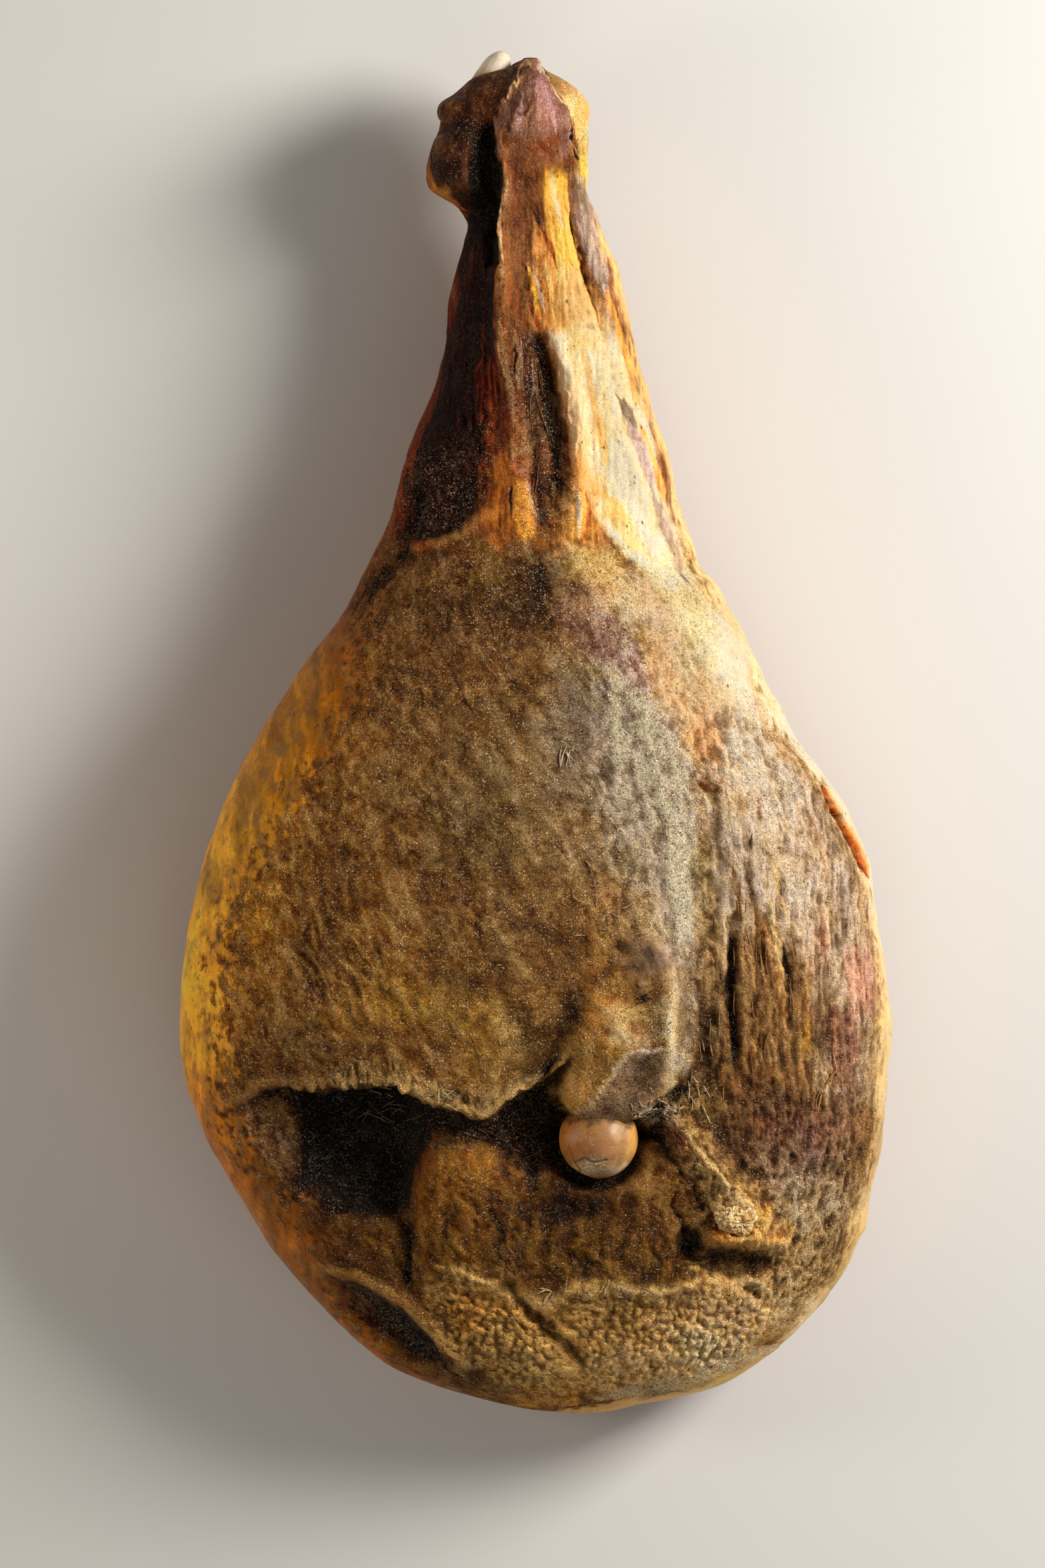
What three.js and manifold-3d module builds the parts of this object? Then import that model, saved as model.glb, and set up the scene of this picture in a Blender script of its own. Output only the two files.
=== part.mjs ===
// A whole dry-cured ham on the bone, foot off at the hock, lying on its rind with the cut face up.
// +Y runs from the butt to the hock, +X is to the right seen on the cut face, +Z is up from the surface it lies on.
// Millimetres. The origin is on that surface, under the middle of the ham.
import * as THREE from "three";
import { mergeVertices } from "three/addons/utils/BufferGeometryUtils.js";
import Module from "manifold-3d";

// Driving dimensions
const LENGTH = 600; // butt to the tip of the bone at the hock
const WIDTH = 313.8; // across the thigh
const FACE_HEIGHT = 136; // crest of the cut face above the surface
const FEMUR_HEAD_RADIUS = 17.2;
const FEMUR_HEAD_AT = [27.1, -176.7]; // X, Y of the ball of the hip joint
const AITCH_STUB_RADIUS = 9.4;
const AITCH_STUB_AT = [87.6, -210.7]; // X, Y of the sawn aitch bone
const HOCK_TIP_RADIUS = 6.6;
const HOCK_TIP_LENGTH = 27;
const BONE_GAP = 0.35; // shrinkage gap between bone and lean
const FACE_FULLNESS = 2.5; // exponent of the rounded section above the widest line
const RIND_FULLNESS = 2.2; // and of the section below it
const ROWS = 82; // stations along the length
const FACE_COLUMNS = 42; // points across the cut face
const RIND_COLUMNS = 16; // points across the rind

// Outline of the ham seen from its cut face, one row per station along its length: Y, left edge, right edge.
const OUTLINE = [
  [296.7, -3.7, -1.9],
  [295.6, -6.3, -0.1],
  [294.4, -9.5, 1.3],
  [292.6, -11.9, 3.1],
  [290.6, -19.5, 5.7],
  [288.2, -26.9, 9.5],
  [284.7, -31.3, 13.4],
  [280.3, -36.5, 16.9],
  [275.9, -41.5, 20.1],
  [267.1, -42.4, 22.2],
  [258.3, -45.6, 22.7],
  [249.5, -47.4, 22.5],
  [240.7, -45.3, 21.6],
  [231.9, -34.8, 24.8],
  [223.1, -29.8, 28.3],
  [214.3, -32.1, 31.6],
  [205.4, -34.8, 35.4],
  [196.6, -37.1, 38.0],
  [187.8, -38.9, 40.1],
  [179.0, -39.2, 41.5],
  [170.2, -39.8, 43.9],
  [161.4, -41.5, 45.6],
  [152.6, -44.5, 48.9],
  [143.8, -48.3, 50.9],
  [135.0, -52.4, 53.9],
  [126.2, -55.3, 57.1],
  [117.4, -58.0, 59.7],
  [108.6, -59.7, 60.9],
  [99.8, -61.8, 62.7],
  [91.0, -64.4, 65.6],
  [82.2, -69.1, 69.1],
  [73.4, -73.8, 72.1],
  [64.6, -78.2, 80.3],
  [55.8, -82.0, 84.7],
  [47.0, -87.9, 90.3],
  [38.2, -95.5, 94.1],
  [29.3, -102.3, 98.5],
  [20.5, -107.9, 102.0],
  [11.7, -114.0, 107.9],
  [2.9, -119.9, 111.4],
  [-5.9, -124.9, 116.1],
  [-14.7, -129.6, 124.0],
  [-23.5, -134.0, 130.5],
  [-32.3, -137.8, 136.6],
  [-41.1, -141.0, 140.4],
  [-49.9, -144.0, 144.3],
  [-58.7, -146.6, 147.2],
  [-67.5, -149.2, 148.4],
  [-76.3, -151.3, 149.0],
  [-85.1, -153.1, 150.1],
  [-93.9, -154.2, 152.2],
  [-102.7, -155.4, 153.4],
  [-111.5, -156.3, 154.5],
  [-120.3, -156.6, 156.0],
  [-129.1, -156.9, 156.9],
  [-137.9, -156.6, 156.3],
  [-146.8, -155.4, 154.8],
  [-155.6, -153.6, 154.5],
  [-164.4, -150.4, 153.6],
  [-173.2, -147.2, 152.8],
  [-182.0, -143.4, 152.2],
  [-190.8, -138.1, 150.1],
  [-199.6, -133.1, 147.8],
  [-208.4, -127.5, 146.0],
  [-217.2, -122.2, 144.5],
  [-226.0, -117.0, 140.7],
  [-234.8, -109.9, 136.9],
  [-243.6, -102.3, 131.3],
  [-252.4, -94.1, 124.0],
  [-261.2, -85.3, 116.4],
  [-270.0, -75.9, 106.7],
  [-278.8, -64.4, 95.8],
  [-287.6, -43.6, 80.6],
  [-293.5, -23.9, 59.1],
  [-296.4, -11.9, 43.3],
  [-298.2, -2.5, 36.2],
  [-299.4, 9.8, 28.6],
  [-300.0, 18.1, 21.0],
];
// Heights along the length: Y, crest of the cut face, height of the widest line, underside before it is pressed flat.
const HEIGHTS = [
  [296.7, 63.4, 57.8, 52.2],
  [292.6, 71.8, 55.9, 41.9],
  [284.7, 80.2, 54.1, 32.6],
  [270.0, 85.7, 53.1, 26.1],
  [253.6, 88.5, 52.2, 23.3],
  [237.7, 85.7, 51.3, 23.3],
  [223.1, 83.9, 50.3, 22.4],
  [199.6, 86.7, 48.5, 19.6],
  [176.1, 91.3, 47.5, 15.8],
  [146.8, 97.9, 46.6, 12.1],
  [117.4, 103.5, 46.6, 8.4],
  [88.0, 109, 46.6, 4.7],
  [58.7, 115.6, 46.6, 0.9],
  [29.3, 122.1, 47.5, -2.8],
  [0.0, 127.7, 48.5, -5.6],
  [-29.3, 132.3, 49.4, -7.5],
  [-58.7, 135.1, 50.3, -8.4],
  [-88.0, 136.1, 50.3, -8.4],
  [-117.4, 135.1, 50.3, -8.4],
  [-146.8, 132.3, 50.3, -8.4],
  [-176.1, 126.8, 49.4, -7.5],
  [-205.4, 119.3, 48.5, -6.5],
  [-234.8, 107.2, 46.6, -4.7],
  [-252.4, 96.9, 44.7, -2.8],
  [-270.0, 82.9, 41.9, 1.9],
  [-281.8, 71.8, 40.1, 7.5],
  [-290.6, 60.6, 38.2, 14],
  [-296.4, 50.3, 36.3, 21.4],
  [-298.8, 43.8, 35.4, 27],
  [-300.0, 36.3, 35.4, 34.5],
];
// Edge of the flap of lean over the aitch hollow: X, Y, depth of the hollow below it, how far the hollow runs at full depth, how far it takes to rise again.
const FLAP = [
  [-139.3, -166.7, 0, 6, 10],
  [-127.5, -160.0, 3, 8, 16],
  [-117.0, -153.2, 8, 14, 24],
  [-105.5, -152.6, 17, 22, 30],
  [-91.7, -152.9, 25, 28, 32],
  [-77.0, -150.0, 27, 32, 34],
  [-63.5, -150.6, 25, 34, 34],
  [-55.9, -154.7, 18, 24, 30],
  [-45.6, -159.1, 13, 10, 24],
  [-34.5, -162.9, 12, 6, 22],
  [-24.8, -166.4, 12, 6, 22],
  [-15.4, -160.3, 14, 14, 26],
  [-8.1, -154.7, 16, 20, 28],
  [-0.7, -150.6, 16, 24, 28],
  [9.2, -143.8, 12, 26, 28],
  [16.9, -137.9, 0, 20, 20],
];
// Folds, tendons and grooves of the cut face: a line of [X, Y, half width, height], negative for a groove.
const FOLDS = [
  // central column of the shank
  [[-16.3, 253.6, 5, 4], [-13.6, 234.8, 5, 6], [-13.1, 208.4, 5, 6], [-13.9, 184.9, 5, 5.5], [-13.1, 162.0, 5, 5], [-10.1, 143.8, 5, 4], [-9.0, 125.9, 6, 2]],
  // lean left of the column
  [[-26.3, 226.0, 7, -5], [-27.1, 205.4, 9, -6], [-27.1, 182.0, 10, -5.5], [-29.2, 158.5, 11, -4.5], [-32.1, 135.0, 12, -2]],
  // black groove under the hock
  [[-23.0, 265.3, 5, -4], [-21.0, 249.5, 6.5, -6.5], [-20.7, 234.8, 6.5, -6.5], [-24.2, 223.1, 5, -3]],
  // pit beside the column
  [[0.4, 172.6, 3.5, -3], [6.3, 155.6, 5, -6], [9.8, 135.0, 6, -7], [9.2, 117.4, 6, -6], [7.5, 99.8, 5, -2]],
  // fat ridge right of the pit
  [[6.9, 174.6, 4, 2], [13.4, 155.6, 4, 3.5], [18.1, 132.1, 4.5, 3.5], [19.8, 111.5, 5, 2]],
  // groove in the right of the shank
  [[16.9, 226.0, 3, -1.5], [21.0, 208.4, 3, -3], [28.0, 184.9, 3, -3], [32.4, 158.5, 3, -1.5], [38.3, 135.0, 3, -1.5], [45.1, 114.5, 3, -2], [53.0, 91.0, 3, -1]],
  // fold between shank and face
  [[-52.4, 80.7, 4, 1.5], [-41.2, 83.6, 4, 3], [-31.8, 87.5, 4, 3], [-22.5, 95.4, 4, 3], [-13.1, 96.3, 4, 1]],
  // slit beside the left rind band
  [[-50.6, 105.7, 3, -2], [-52.7, 95.4, 3, -3.5], [-58.6, 79.2, 3, -3], [-71.8, 61.6, 4, -1]],
  // left rind band
  [[-56.5, 117.4, 4, 1], [-63.0, 88.0, 4, 2], [-76.2, 61.6, 5, 2.5], [-95.2, 32.3, 6, 2], [-117.3, 0.0, 6, 0.5]],
  // valley beside the thigh muscle
  [[75.0, -5.9, 8, -1], [72.1, -29.3, 9, -3.5], [70.9, -58.7, 10, -4.5], [70.3, -88.0, 10, -4.5], [69.1, -117.4, 9, -4], [72.1, -146.8, 8, -3.5], [79.4, -170.2, 7, -2]],
  // first deep fibre groove
  [[84.4, -81.9, 3, -2], [85.0, -102.7, 3, -3.5], [85.6, -126.2, 3, -3.5], [86.7, -149.7, 3, -1]],
  // second fibre groove
  [[106.1, -88.0, 3, -1.5], [107.9, -102.7, 3, -3], [108.4, -117.4, 3, -1]],
  // slit inside the right rim
  [[123.7, -19.1, 2.5, -1], [128.1, -30.2, 2.5, -3.5], [135.5, -41.4, 2.5, -4], [142.5, -54.9, 2.5, -3.5], [146.6, -64.6, 2.5, -1]],
  // ligament ridge
  [[53.0, -167.9, 5, 2], [60.3, -179.6, 4, 7], [72.1, -194.3, 4, 9], [82.3, -205.4, 4.5, 9], [89.7, -213.1, 5, 6]],
  // tendon above the ball
  [[57.4, -108.6, 4, 2], [55.0, -126.2, 4, 4.5], [54.4, -143.8, 4, 3]],
  // ledge above the lower cavity
  [[76.2, -220.7, 3.5, 4], [89.7, -221.9, 3.5, 5], [109.9, -224.2, 3.5, 2]],
  // crease left of the ochre lean
  [[-58.3, -202.5, 4, -3], [-56.5, -223.1, 4, -5], [-53.6, -242.1, 4, -2]],
  // light ridge over the dark wedge
  [[-94.7, -234.2, 4, 2.5], [-77.6, -238.0, 4, 4], [-58.0, -248.3, 4, 4], [-44.8, -261.2, 4, 4], [-30.7, -278.2, 4, 2]],
  // upper border of the lard
  [[-44.8, -232.7, 4, 1], [-30.7, -236.3, 4, 2], [-10.7, -245.7, 4, 2.5], [3.1, -249.8, 4, 3], [18.3, -242.4, 4, 3.5], [38.9, -242.1, 4, 3], [54.4, -244.2, 4, 3], [71.8, -238.3, 4, 2]],
  // vee groove in the lard
  [[-12.5, -242.1, 3, -2], [-1.0, -254.8, 3.5, -4], [11.9, -267.7, 3.5, -4.5], [25.1, -279.7, 3.5, -4], [37.7, -285.3, 3, -1.5]],
  // edge plate of the hock left
  [[-2.5, 295.8, 3, 1], [-9.5, 285.3, 3, 2.5], [-14.8, 274.4, 3, 1]],
  // edge plate of the hock right
  [[-1.9, 295.0, 3, 1], [2.8, 287.6, 3, 2.5], [9.2, 275.9, 3, 2.5], [13.1, 261.5, 3, 2], [16.9, 249.5, 3, 1]],
  // groove beside the hock plate
  [[2.2, 292.3, 3, -2], [8.1, 281.8, 3, -3], [14.2, 270.0, 3, -3], [16.9, 259.7, 3, -3], [19.8, 249.5, 3, -2]],
  // second fibre hollow far right
  [[124.9, -93.9, 7, -1], [125.5, -117.4, 8, -2.5], [126.6, -146.8, 8, -1]],
];
// Swellings and hollows of the cut face: X, Y, radius along, radius across, turn in degrees, height, flatness of the top.
const SWELLINGS = [
  [-33.6, -52.8, 79.2, 93.9, 0, 4, 1], // fullness of the face
  [28.6, -144.4, 24.7, 22.9, 0, 6.5, 2], // knob over the ball
  [42.7, -114.5, 21.1, 30.8, 8, 3.5, 1.5], // upper part of the knob
  [47.1, -98.9, 12.9, 11.2, 0, 2.5, 1.5], // smooth patch on the knob
  [27.1, -183.1, 27.0, 18.2, 0, -17, 2], // cavity round the ball
  [54.4, -176.7, 11.7, 7.0, -25, -7, 1.5], // gap right of the knob
  [-35.7, -206.9, 15.8, 27.0, 0, 6, 1.5], // ochre lean under the flap
  [67.1, -222.5, 7.6, 7.9, 0, -9, 1.5], // pit under the ligament
  [86.1, -231.6, 15.3, 5.9, -5, -8, 1.5], // lower cavity
  [28.0, -261.2, 70.4, 21.1, 4, 4, 1.5], // lard over the butt
  [-71.2, -255.9, 28.8, 9.4, -38, -8, 1.5], // dark wedge
  [16.9, 98.0, 6.5, 12.3, 0, 3, 1.5], // swirl of fat
  [-6.6, 98.0, 5.3, 12.9, 0, 3, 1.5], // amber wedge
  [32.4, 132.1, 14.7, 41.1, 12, 4, 1], // fat of the shank
  [-34.8, 117.4, 12.9, 24.7, 15, -3, 1.5], // dusty hollow
  [-37.7, 246.0, 9.4, 15.8, 0, 5, 1.5], // left lump of the hock
  [-37.4, 272.4, 5.0, 5.6, 0, 3.5, 1.5], // small knuckle of the hock
  [-41.2, 265.3, 4.1, 2.9, 0, -4, 1.5], // dent between the knuckles
  [15.1, 274.4, 7.0, 15.3, 0, 4, 1.5], // right lump of the hock
  [18.6, 246.0, 4.1, 8.2, 0, 3, 1.5], // yellow lump of the hock
  [-1.3, 267.1, 13.5, 25.2, 0, 4, 1.5], // hock plate
  [82.3, 32.3, 11.7, 20.5, 25, 4, 1.5], // fat shoulder right
  [104.3, -67.5, 26.4, 76.3, 0, 5, 1.5], // thigh muscle
  [110.2, -176.1, 26.4, 32.3, 0, 3, 1.5], // lower right lean
  [-124.6, -182.0, 17.6, 35.2, 30, 3, 1.2], // left lower rind
];

// The tables are drawn for a ham of these sizes and stretch with the driving dimensions.
const DRAWN = { length: 600, width: 313.8, height: 136 };
const SCALE = new THREE.Vector3(
  WIDTH / DRAWN.width,
  LENGTH / DRAWN.length,
  FACE_HEIGHT / DRAWN.height,
);

// Monotone cubic through a table's rows, which run in falling or rising order of their first column.
function curve(rows, column) {
  const r = [...rows].sort((a, b) => a[0] - b[0]);
  const x = r.map((q) => q[0]);
  const y = r.map((q) => q[column]);
  const slope = x.slice(1).map((b, i) => (y[i + 1] - y[i]) / (b - x[i]));
  const m = x.map((_, i) => {
    if (i === 0) return slope[0];
    if (i === x.length - 1) return slope[i - 1];
    const a = slope[i - 1];
    const b = slope[i];
    return a * b <= 0 ? 0 : (2 * a * b) / (a + b);
  });
  return (at) => {
    if (at <= x[0]) return y[0];
    if (at >= x[x.length - 1]) return y[x.length - 1];
    let i = 0;
    while (at > x[i + 1]) i++;
    const h = x[i + 1] - x[i];
    const t = (at - x[i]) / h;
    const t2 = t * t;
    const t3 = t2 * t;
    return (
      (2 * t3 - 3 * t2 + 1) * y[i] +
      (t3 - 2 * t2 + t) * h * m[i] +
      (3 * t2 - 2 * t3) * y[i + 1] +
      (t3 - t2) * h * m[i + 1]
    );
  };
}

const left = curve(OUTLINE, 1);
const right = curve(OUTLINE, 2);
const crest = curve(HEIGHTS, 1);
const waist = curve(HEIGHTS, 2);
const under = curve(HEIGHTS, 3);
const flapEdge = curve(FLAP, 1);
const flapDepth = curve(FLAP, 2);
const flapHold = curve(FLAP, 3);
const flapFade = curve(FLAP, 4);

const smooth = (a, b, v) => {
  const t = Math.min(1, Math.max(0, (v - a) / (b - a)));
  return t * t * (3 - 2 * t);
};

// Relief of the cut face at X, Y: the hollow under the flap, the folds and the swellings together.
function relief(x, y) {
  let d = 0;
  if (x > FLAP[0][0] && x < FLAP[FLAP.length - 1][0]) {
    const below = flapEdge(x) - y;
    const hold = flapHold(x);
    d -=
      flapDepth(x) *
      smooth(-1, 6, below) *
      (1 - smooth(hold, hold + flapFade(x), below));
  }
  for (const line of FOLDS) {
    let near = Infinity;
    let value = 0;
    for (let i = 0; i + 1 < line.length; i++) {
      const [ax, ay, aw, ah] = line[i];
      const [bx, by, bw, bh] = line[i + 1];
      const ux = bx - ax;
      const uy = by - ay;
      const t = Math.min(
        1,
        Math.max(0, ((x - ax) * ux + (y - ay) * uy) / (ux * ux + uy * uy)),
      );
      const dist = Math.hypot(x - ax - t * ux, y - ay - t * uy);
      if (dist < near) {
        near = dist;
        const w = Math.max(3.5, aw + (bw - aw) * t);
        value = (ah + (bh - ah) * t) * Math.exp(-((dist / w) ** 2));
      }
    }
    d += value;
  }
  for (const [cx, cy, rx, ry, turn, height, flatness] of SWELLINGS) {
    const a = THREE.MathUtils.degToRad(turn);
    const px = (x - cx) * Math.cos(a) + (y - cy) * Math.sin(a);
    const py = (y - cy) * Math.cos(a) - (x - cx) * Math.sin(a);
    const q = (px / rx) ** 2 + (py / ry) ** 2;
    if (q < 9) d += height * Math.exp(-(q ** flatness));
  }
  return d;
}

// Bends the stations so that one of them runs along the edge of the flap.
const FLAP_MIDDLE = -154;
function followFlap(x, y) {
  const first = FLAP[0][0];
  const last = FLAP[FLAP.length - 1][0];
  return (
    (flapEdge(x) - FLAP_MIDDLE) *
    smooth(first, first + 20, x) *
    (1 - smooth(last - 8, last + 12, x)) *
    Math.exp(-(((y - FLAP_MIDDLE) / 34) ** 2))
  );
}

// A point of the skin at station y. side runs 0 to 1 from left to right over the face, and 1 to 2 back under the rind.
function skin(y, side) {
  const l = left(y);
  const r = right(y);
  const mid = (l + r) / 2;
  const half = (r - l) / 2;
  const z0 = waist(y);
  const over = side <= 1;
  const angle = Math.PI * (over ? side : side - 1);
  const c = Math.cos(angle);
  const s = Math.max(0, Math.sin(angle));
  const n = over ? FACE_FULLNESS : RIND_FULLNESS;
  const across = Math.sign(c) * Math.abs(c) ** (2 / n) * (over ? -1 : 1);
  const up = s ** (2 / n);
  const x = mid + half * across;
  if (over) y += followFlap(x, y) * smooth(0.1, 0.6, s);
  const rise = over ? crest(y) - z0 : z0 - under(y);
  const p = new THREE.Vector3(x, y, z0 + (over ? 1 : -1) * rise * up);
  if (over) {
    const out = new THREE.Vector3(across / half, 0, up / rise).normalize();
    p.addScaledVector(out, relief(p.x, p.y) * smooth(0.02, 0.4, s));
  }
  p.z = Math.max(0, p.z); // pressed flat where it lies
  return p;
}

// Height of the cut face over a point of the plan.
function faceHeight(x, y) {
  let lo = 0;
  let hi = 1;
  for (let i = 0; i < 40; i++) {
    const t = (lo + hi) / 2;
    if (skin(y, t).x < x) lo = t;
    else hi = t;
  }
  return skin(y, lo).z;
}

// Stations from the hock to the butt, closer together where the ends round off.
const TOP = OUTLINE[0][0];
const BOTTOM = OUTLINE[OUTLINE.length - 1][0];
const stations = [];
for (let i = 0; i <= ROWS; i++) {
  const t = i / ROWS;
  const ease = 0.9 * t + 0.1 * (0.5 - 0.5 * Math.cos(Math.PI * t));
  const end = 0.03;
  const k =
    ease < end
      ? (ease * ease) / (2 * end)
      : ease > 1 - end
        ? 1 - end - ((1 - ease) * (1 - ease)) / (2 * end)
        : ease - end / 2;
  stations.push(TOP + ((BOTTOM - TOP) * k) / (1 - end));
}

const COLUMNS = FACE_COLUMNS + RIND_COLUMNS;
const hamShape = new THREE.SphereGeometry(1, COLUMNS, ROWS);
const place = hamShape.getAttribute("position");
for (let i = 0; i < place.count; i++) {
  const column = i % (COLUMNS + 1);
  const row = Math.floor(i / (COLUMNS + 1));
  const side =
    column <= FACE_COLUMNS
      ? column / FACE_COLUMNS
      : 1 + (column - FACE_COLUMNS) / RIND_COLUMNS;
  let p;
  if (row === 0 || row === ROWS) {
    const y = stations[row];
    p = new THREE.Vector3((left(y) + right(y)) / 2, y, waist(y));
  } else p = skin(stations[row], side >= 2 ? 0 : side);
  place.setXYZ(i, p.x, p.y, p.z);
}

const wasm = await Module();
wasm.setup();

function solid(geometry) {
  const g = geometry.clone();
  g.deleteAttribute("normal");
  g.deleteAttribute("uv");
  const m = mergeVertices(g, 1e-3);
  return new wasm.Manifold(
    new wasm.Mesh({
      numProp: 3,
      vertProperties: new Float32Array(m.getAttribute("position").array),
      triVerts: new Uint32Array(m.index.array),
    }),
  );
}

function geometryOf(manifold) {
  const m = manifold.getMesh();
  const v = new Float32Array(m.numVert * 3);
  for (let i = 0; i < m.numVert; i++)
    v.set(m.vertProperties.subarray(i * m.numProp, i * m.numProp + 3), i * 3);
  const g = new THREE.BufferGeometry();
  g.setAttribute("position", new THREE.BufferAttribute(v, 3));
  g.setIndex(new THREE.BufferAttribute(new Uint32Array(m.triVerts), 1));
  g.computeVertexNormals();
  return g;
}

// A turned bone end: radius against distance along its axis, the axis pointing out of the lean.
function bone(profile, grow, at, axis, squash, sides = 20) {
  const points = profile.map(([r, h]) => new THREE.Vector2(r, h));
  if (grow) {
    const last = points.length - 1;
    points.forEach((p, i) => {
      if (i > 0 && i < last) p.x += grow;
    });
    points[0].y -= grow;
    points[last].y += grow;
    points[1].y -= points[1].y === profile[0][1] ? grow : 0;
  }
  const g = new THREE.LatheGeometry(points, sides);
  const turn = new THREE.Quaternion().setFromUnitVectors(
    new THREE.Vector3(0, 1, 0),
    axis.clone().normalize(),
  );
  g.scale(1, 1, squash);
  g.applyQuaternion(turn);
  g.translate(at.x, at.y, at.z);
  return g;
}

// Ball of the hip joint with the start of its neck, which goes into the lean.
const R = FEMUR_HEAD_RADIUS;
const headProfile = [
  [0, -1.62 * R],
  [0.5 * R, -1.6 * R],
  [0.56 * R, -1.3 * R],
  [0.58 * R, -0.86 * R],
];
for (let i = 1; i <= 10; i++) {
  const a = -Math.PI / 2 + Math.PI * (0.22 + (0.78 * i) / 10);
  headProfile.push([i === 10 ? 0 : R * Math.cos(a), R * 0.97 * Math.sin(a)]);
}
const headAt = new THREE.Vector3(
  FEMUR_HEAD_AT[0],
  FEMUR_HEAD_AT[1],
  117,
);
const headAxis = new THREE.Vector3(0.06, -0.62, 0.78);

// Sawn end of the aitch bone.
const S = AITCH_STUB_RADIUS;
const stubProfile = [
  [0, -2.2 * S],
  [0.62 * S, -2.2 * S],
  [0.74 * S, -1.4 * S],
  [0.88 * S, -0.7 * S],
  [0.99 * S, -0.2 * S],
  [1.0 * S, 0.12 * S],
  [0.94 * S, 0.3 * S],
  [0.8 * S, 0.38 * S],
  [0.4 * S, 0.34 * S],
  [0, 0.32 * S],
];
const stubAt = new THREE.Vector3(
  AITCH_STUB_AT[0],
  AITCH_STUB_AT[1],
  faceHeight(AITCH_STUB_AT[0], AITCH_STUB_AT[1]) - 3.5,
);
const stubAxis = new THREE.Vector3(0.42, -0.42, 0.8);

// Bare bone end that stands out of the hock.
const T = HOCK_TIP_RADIUS;
const tipProfile = [
  [0, 0],
  [0.9 * T, 0],
  [1.05 * T, 0.16 * HOCK_TIP_LENGTH],
  [1.1 * T, 0.34 * HOCK_TIP_LENGTH],
  [1.04 * T, 0.54 * HOCK_TIP_LENGTH],
  [0.92 * T, 0.72 * HOCK_TIP_LENGTH],
  [0.7 * T, 0.86 * HOCK_TIP_LENGTH],
  [0.42 * T, 0.95 * HOCK_TIP_LENGTH],
  [0.18 * T, 0.99 * HOCK_TIP_LENGTH],
  [0, HOCK_TIP_LENGTH],
];
const tipAxis = new THREE.Vector3(0.5, 0.84, 0.08);
const tipEnd = new THREE.Vector3(-13.4, LENGTH / 2 - 0.6, 60);
const tipAt = tipEnd
  .clone()
  .addScaledVector(tipAxis.clone().normalize(), -HOCK_TIP_LENGTH * 0.985);

const bones = [
  ["femur_head", headProfile, headAt, headAxis, 1, 0xd8ab84, 0.38],
  ["aitch_bone_stub", stubProfile, stubAt, stubAxis, 0.88, 0xdcc596, 0.75],
  ["hock_bone_tip", tipProfile, tipAt, tipAxis, 1.25, 0xe8e0d2, 0.32],
];

const ham = new THREE.Group();
ham.name = "dry_cured_ham";

let flesh = solid(hamShape);
for (const [name, profile, at, axis, squash, color, roughness] of bones) {
  flesh = flesh.subtract(solid(bone(profile, BONE_GAP, at, axis, squash)));
  const mesh = new THREE.Mesh(
    bone(profile, 0, at, axis, squash),
    new THREE.MeshStandardMaterial({ color, roughness, metalness: 0 }),
  );
  mesh.name = name;
  ham.add(mesh);
}
// A sliver of lean left loose beside a bone is dropped.
flesh = flesh
  .decompose()
  .sort((a, b) => b.volume() - a.volume())[0];
const body = new THREE.Mesh(
  geometryOf(flesh),
  new THREE.MeshStandardMaterial({
    color: 0x8a6a3c,
    roughness: 0.72,
    metalness: 0,
  }),
);
body.name = "ham";
ham.add(body);

// Stretch to the driving dimensions and set the middle of the box over the origin.
ham.scale.copy(SCALE);
ham.updateMatrixWorld(true);
const box = new THREE.Box3().setFromObject(ham);
ham.position.x -= (box.min.x + box.max.x) / 2;
ham.position.y -= (box.min.y + box.max.y) / 2;
ham.position.z -= box.min.z;

export default ham;
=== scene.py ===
# Looks of a whole dry-cured ham on the bone, lying on its rind with the cut face up.
import math

import bpy
import numpy as np
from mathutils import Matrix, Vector


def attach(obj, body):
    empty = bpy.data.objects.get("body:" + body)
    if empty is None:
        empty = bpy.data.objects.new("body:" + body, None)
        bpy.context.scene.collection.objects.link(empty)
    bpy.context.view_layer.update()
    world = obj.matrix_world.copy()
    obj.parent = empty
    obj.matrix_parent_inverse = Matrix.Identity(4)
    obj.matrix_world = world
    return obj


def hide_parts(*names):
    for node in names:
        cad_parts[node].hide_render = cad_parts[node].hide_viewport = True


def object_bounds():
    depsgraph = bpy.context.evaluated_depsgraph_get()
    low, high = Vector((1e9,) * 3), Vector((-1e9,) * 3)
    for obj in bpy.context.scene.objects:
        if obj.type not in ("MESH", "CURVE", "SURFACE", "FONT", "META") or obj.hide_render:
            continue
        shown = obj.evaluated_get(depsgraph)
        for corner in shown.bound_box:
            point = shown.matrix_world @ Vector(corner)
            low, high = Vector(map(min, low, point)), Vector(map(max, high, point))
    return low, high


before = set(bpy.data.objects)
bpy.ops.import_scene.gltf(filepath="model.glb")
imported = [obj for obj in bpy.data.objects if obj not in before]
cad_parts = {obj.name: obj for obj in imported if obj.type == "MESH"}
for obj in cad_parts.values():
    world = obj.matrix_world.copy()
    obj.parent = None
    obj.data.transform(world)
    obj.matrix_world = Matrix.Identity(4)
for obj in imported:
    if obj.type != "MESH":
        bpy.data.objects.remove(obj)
CAD_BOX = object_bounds()
LO, HI = np.array(CAD_BOX[0], float) * 1000, np.array(CAD_BOX[1], float) * 1000  # mm

# The plan of the cut face is drawn on a grid of 1069 by 2044 units over the CAD box, x to the right from 270, y towards the butt from 78.
UNIT_X = (HI[0] - LO[0]) / 1069.0
UNIT_Y = (HI[1] - LO[1]) / 2044.0
UNIT = 0.5 * (UNIT_X + UNIT_Y)


def to_mm(x, y):
    return LO[0] + (x - 270.0) * UNIT_X, HI[1] - (y - 78.0) * UNIT_Y


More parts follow.
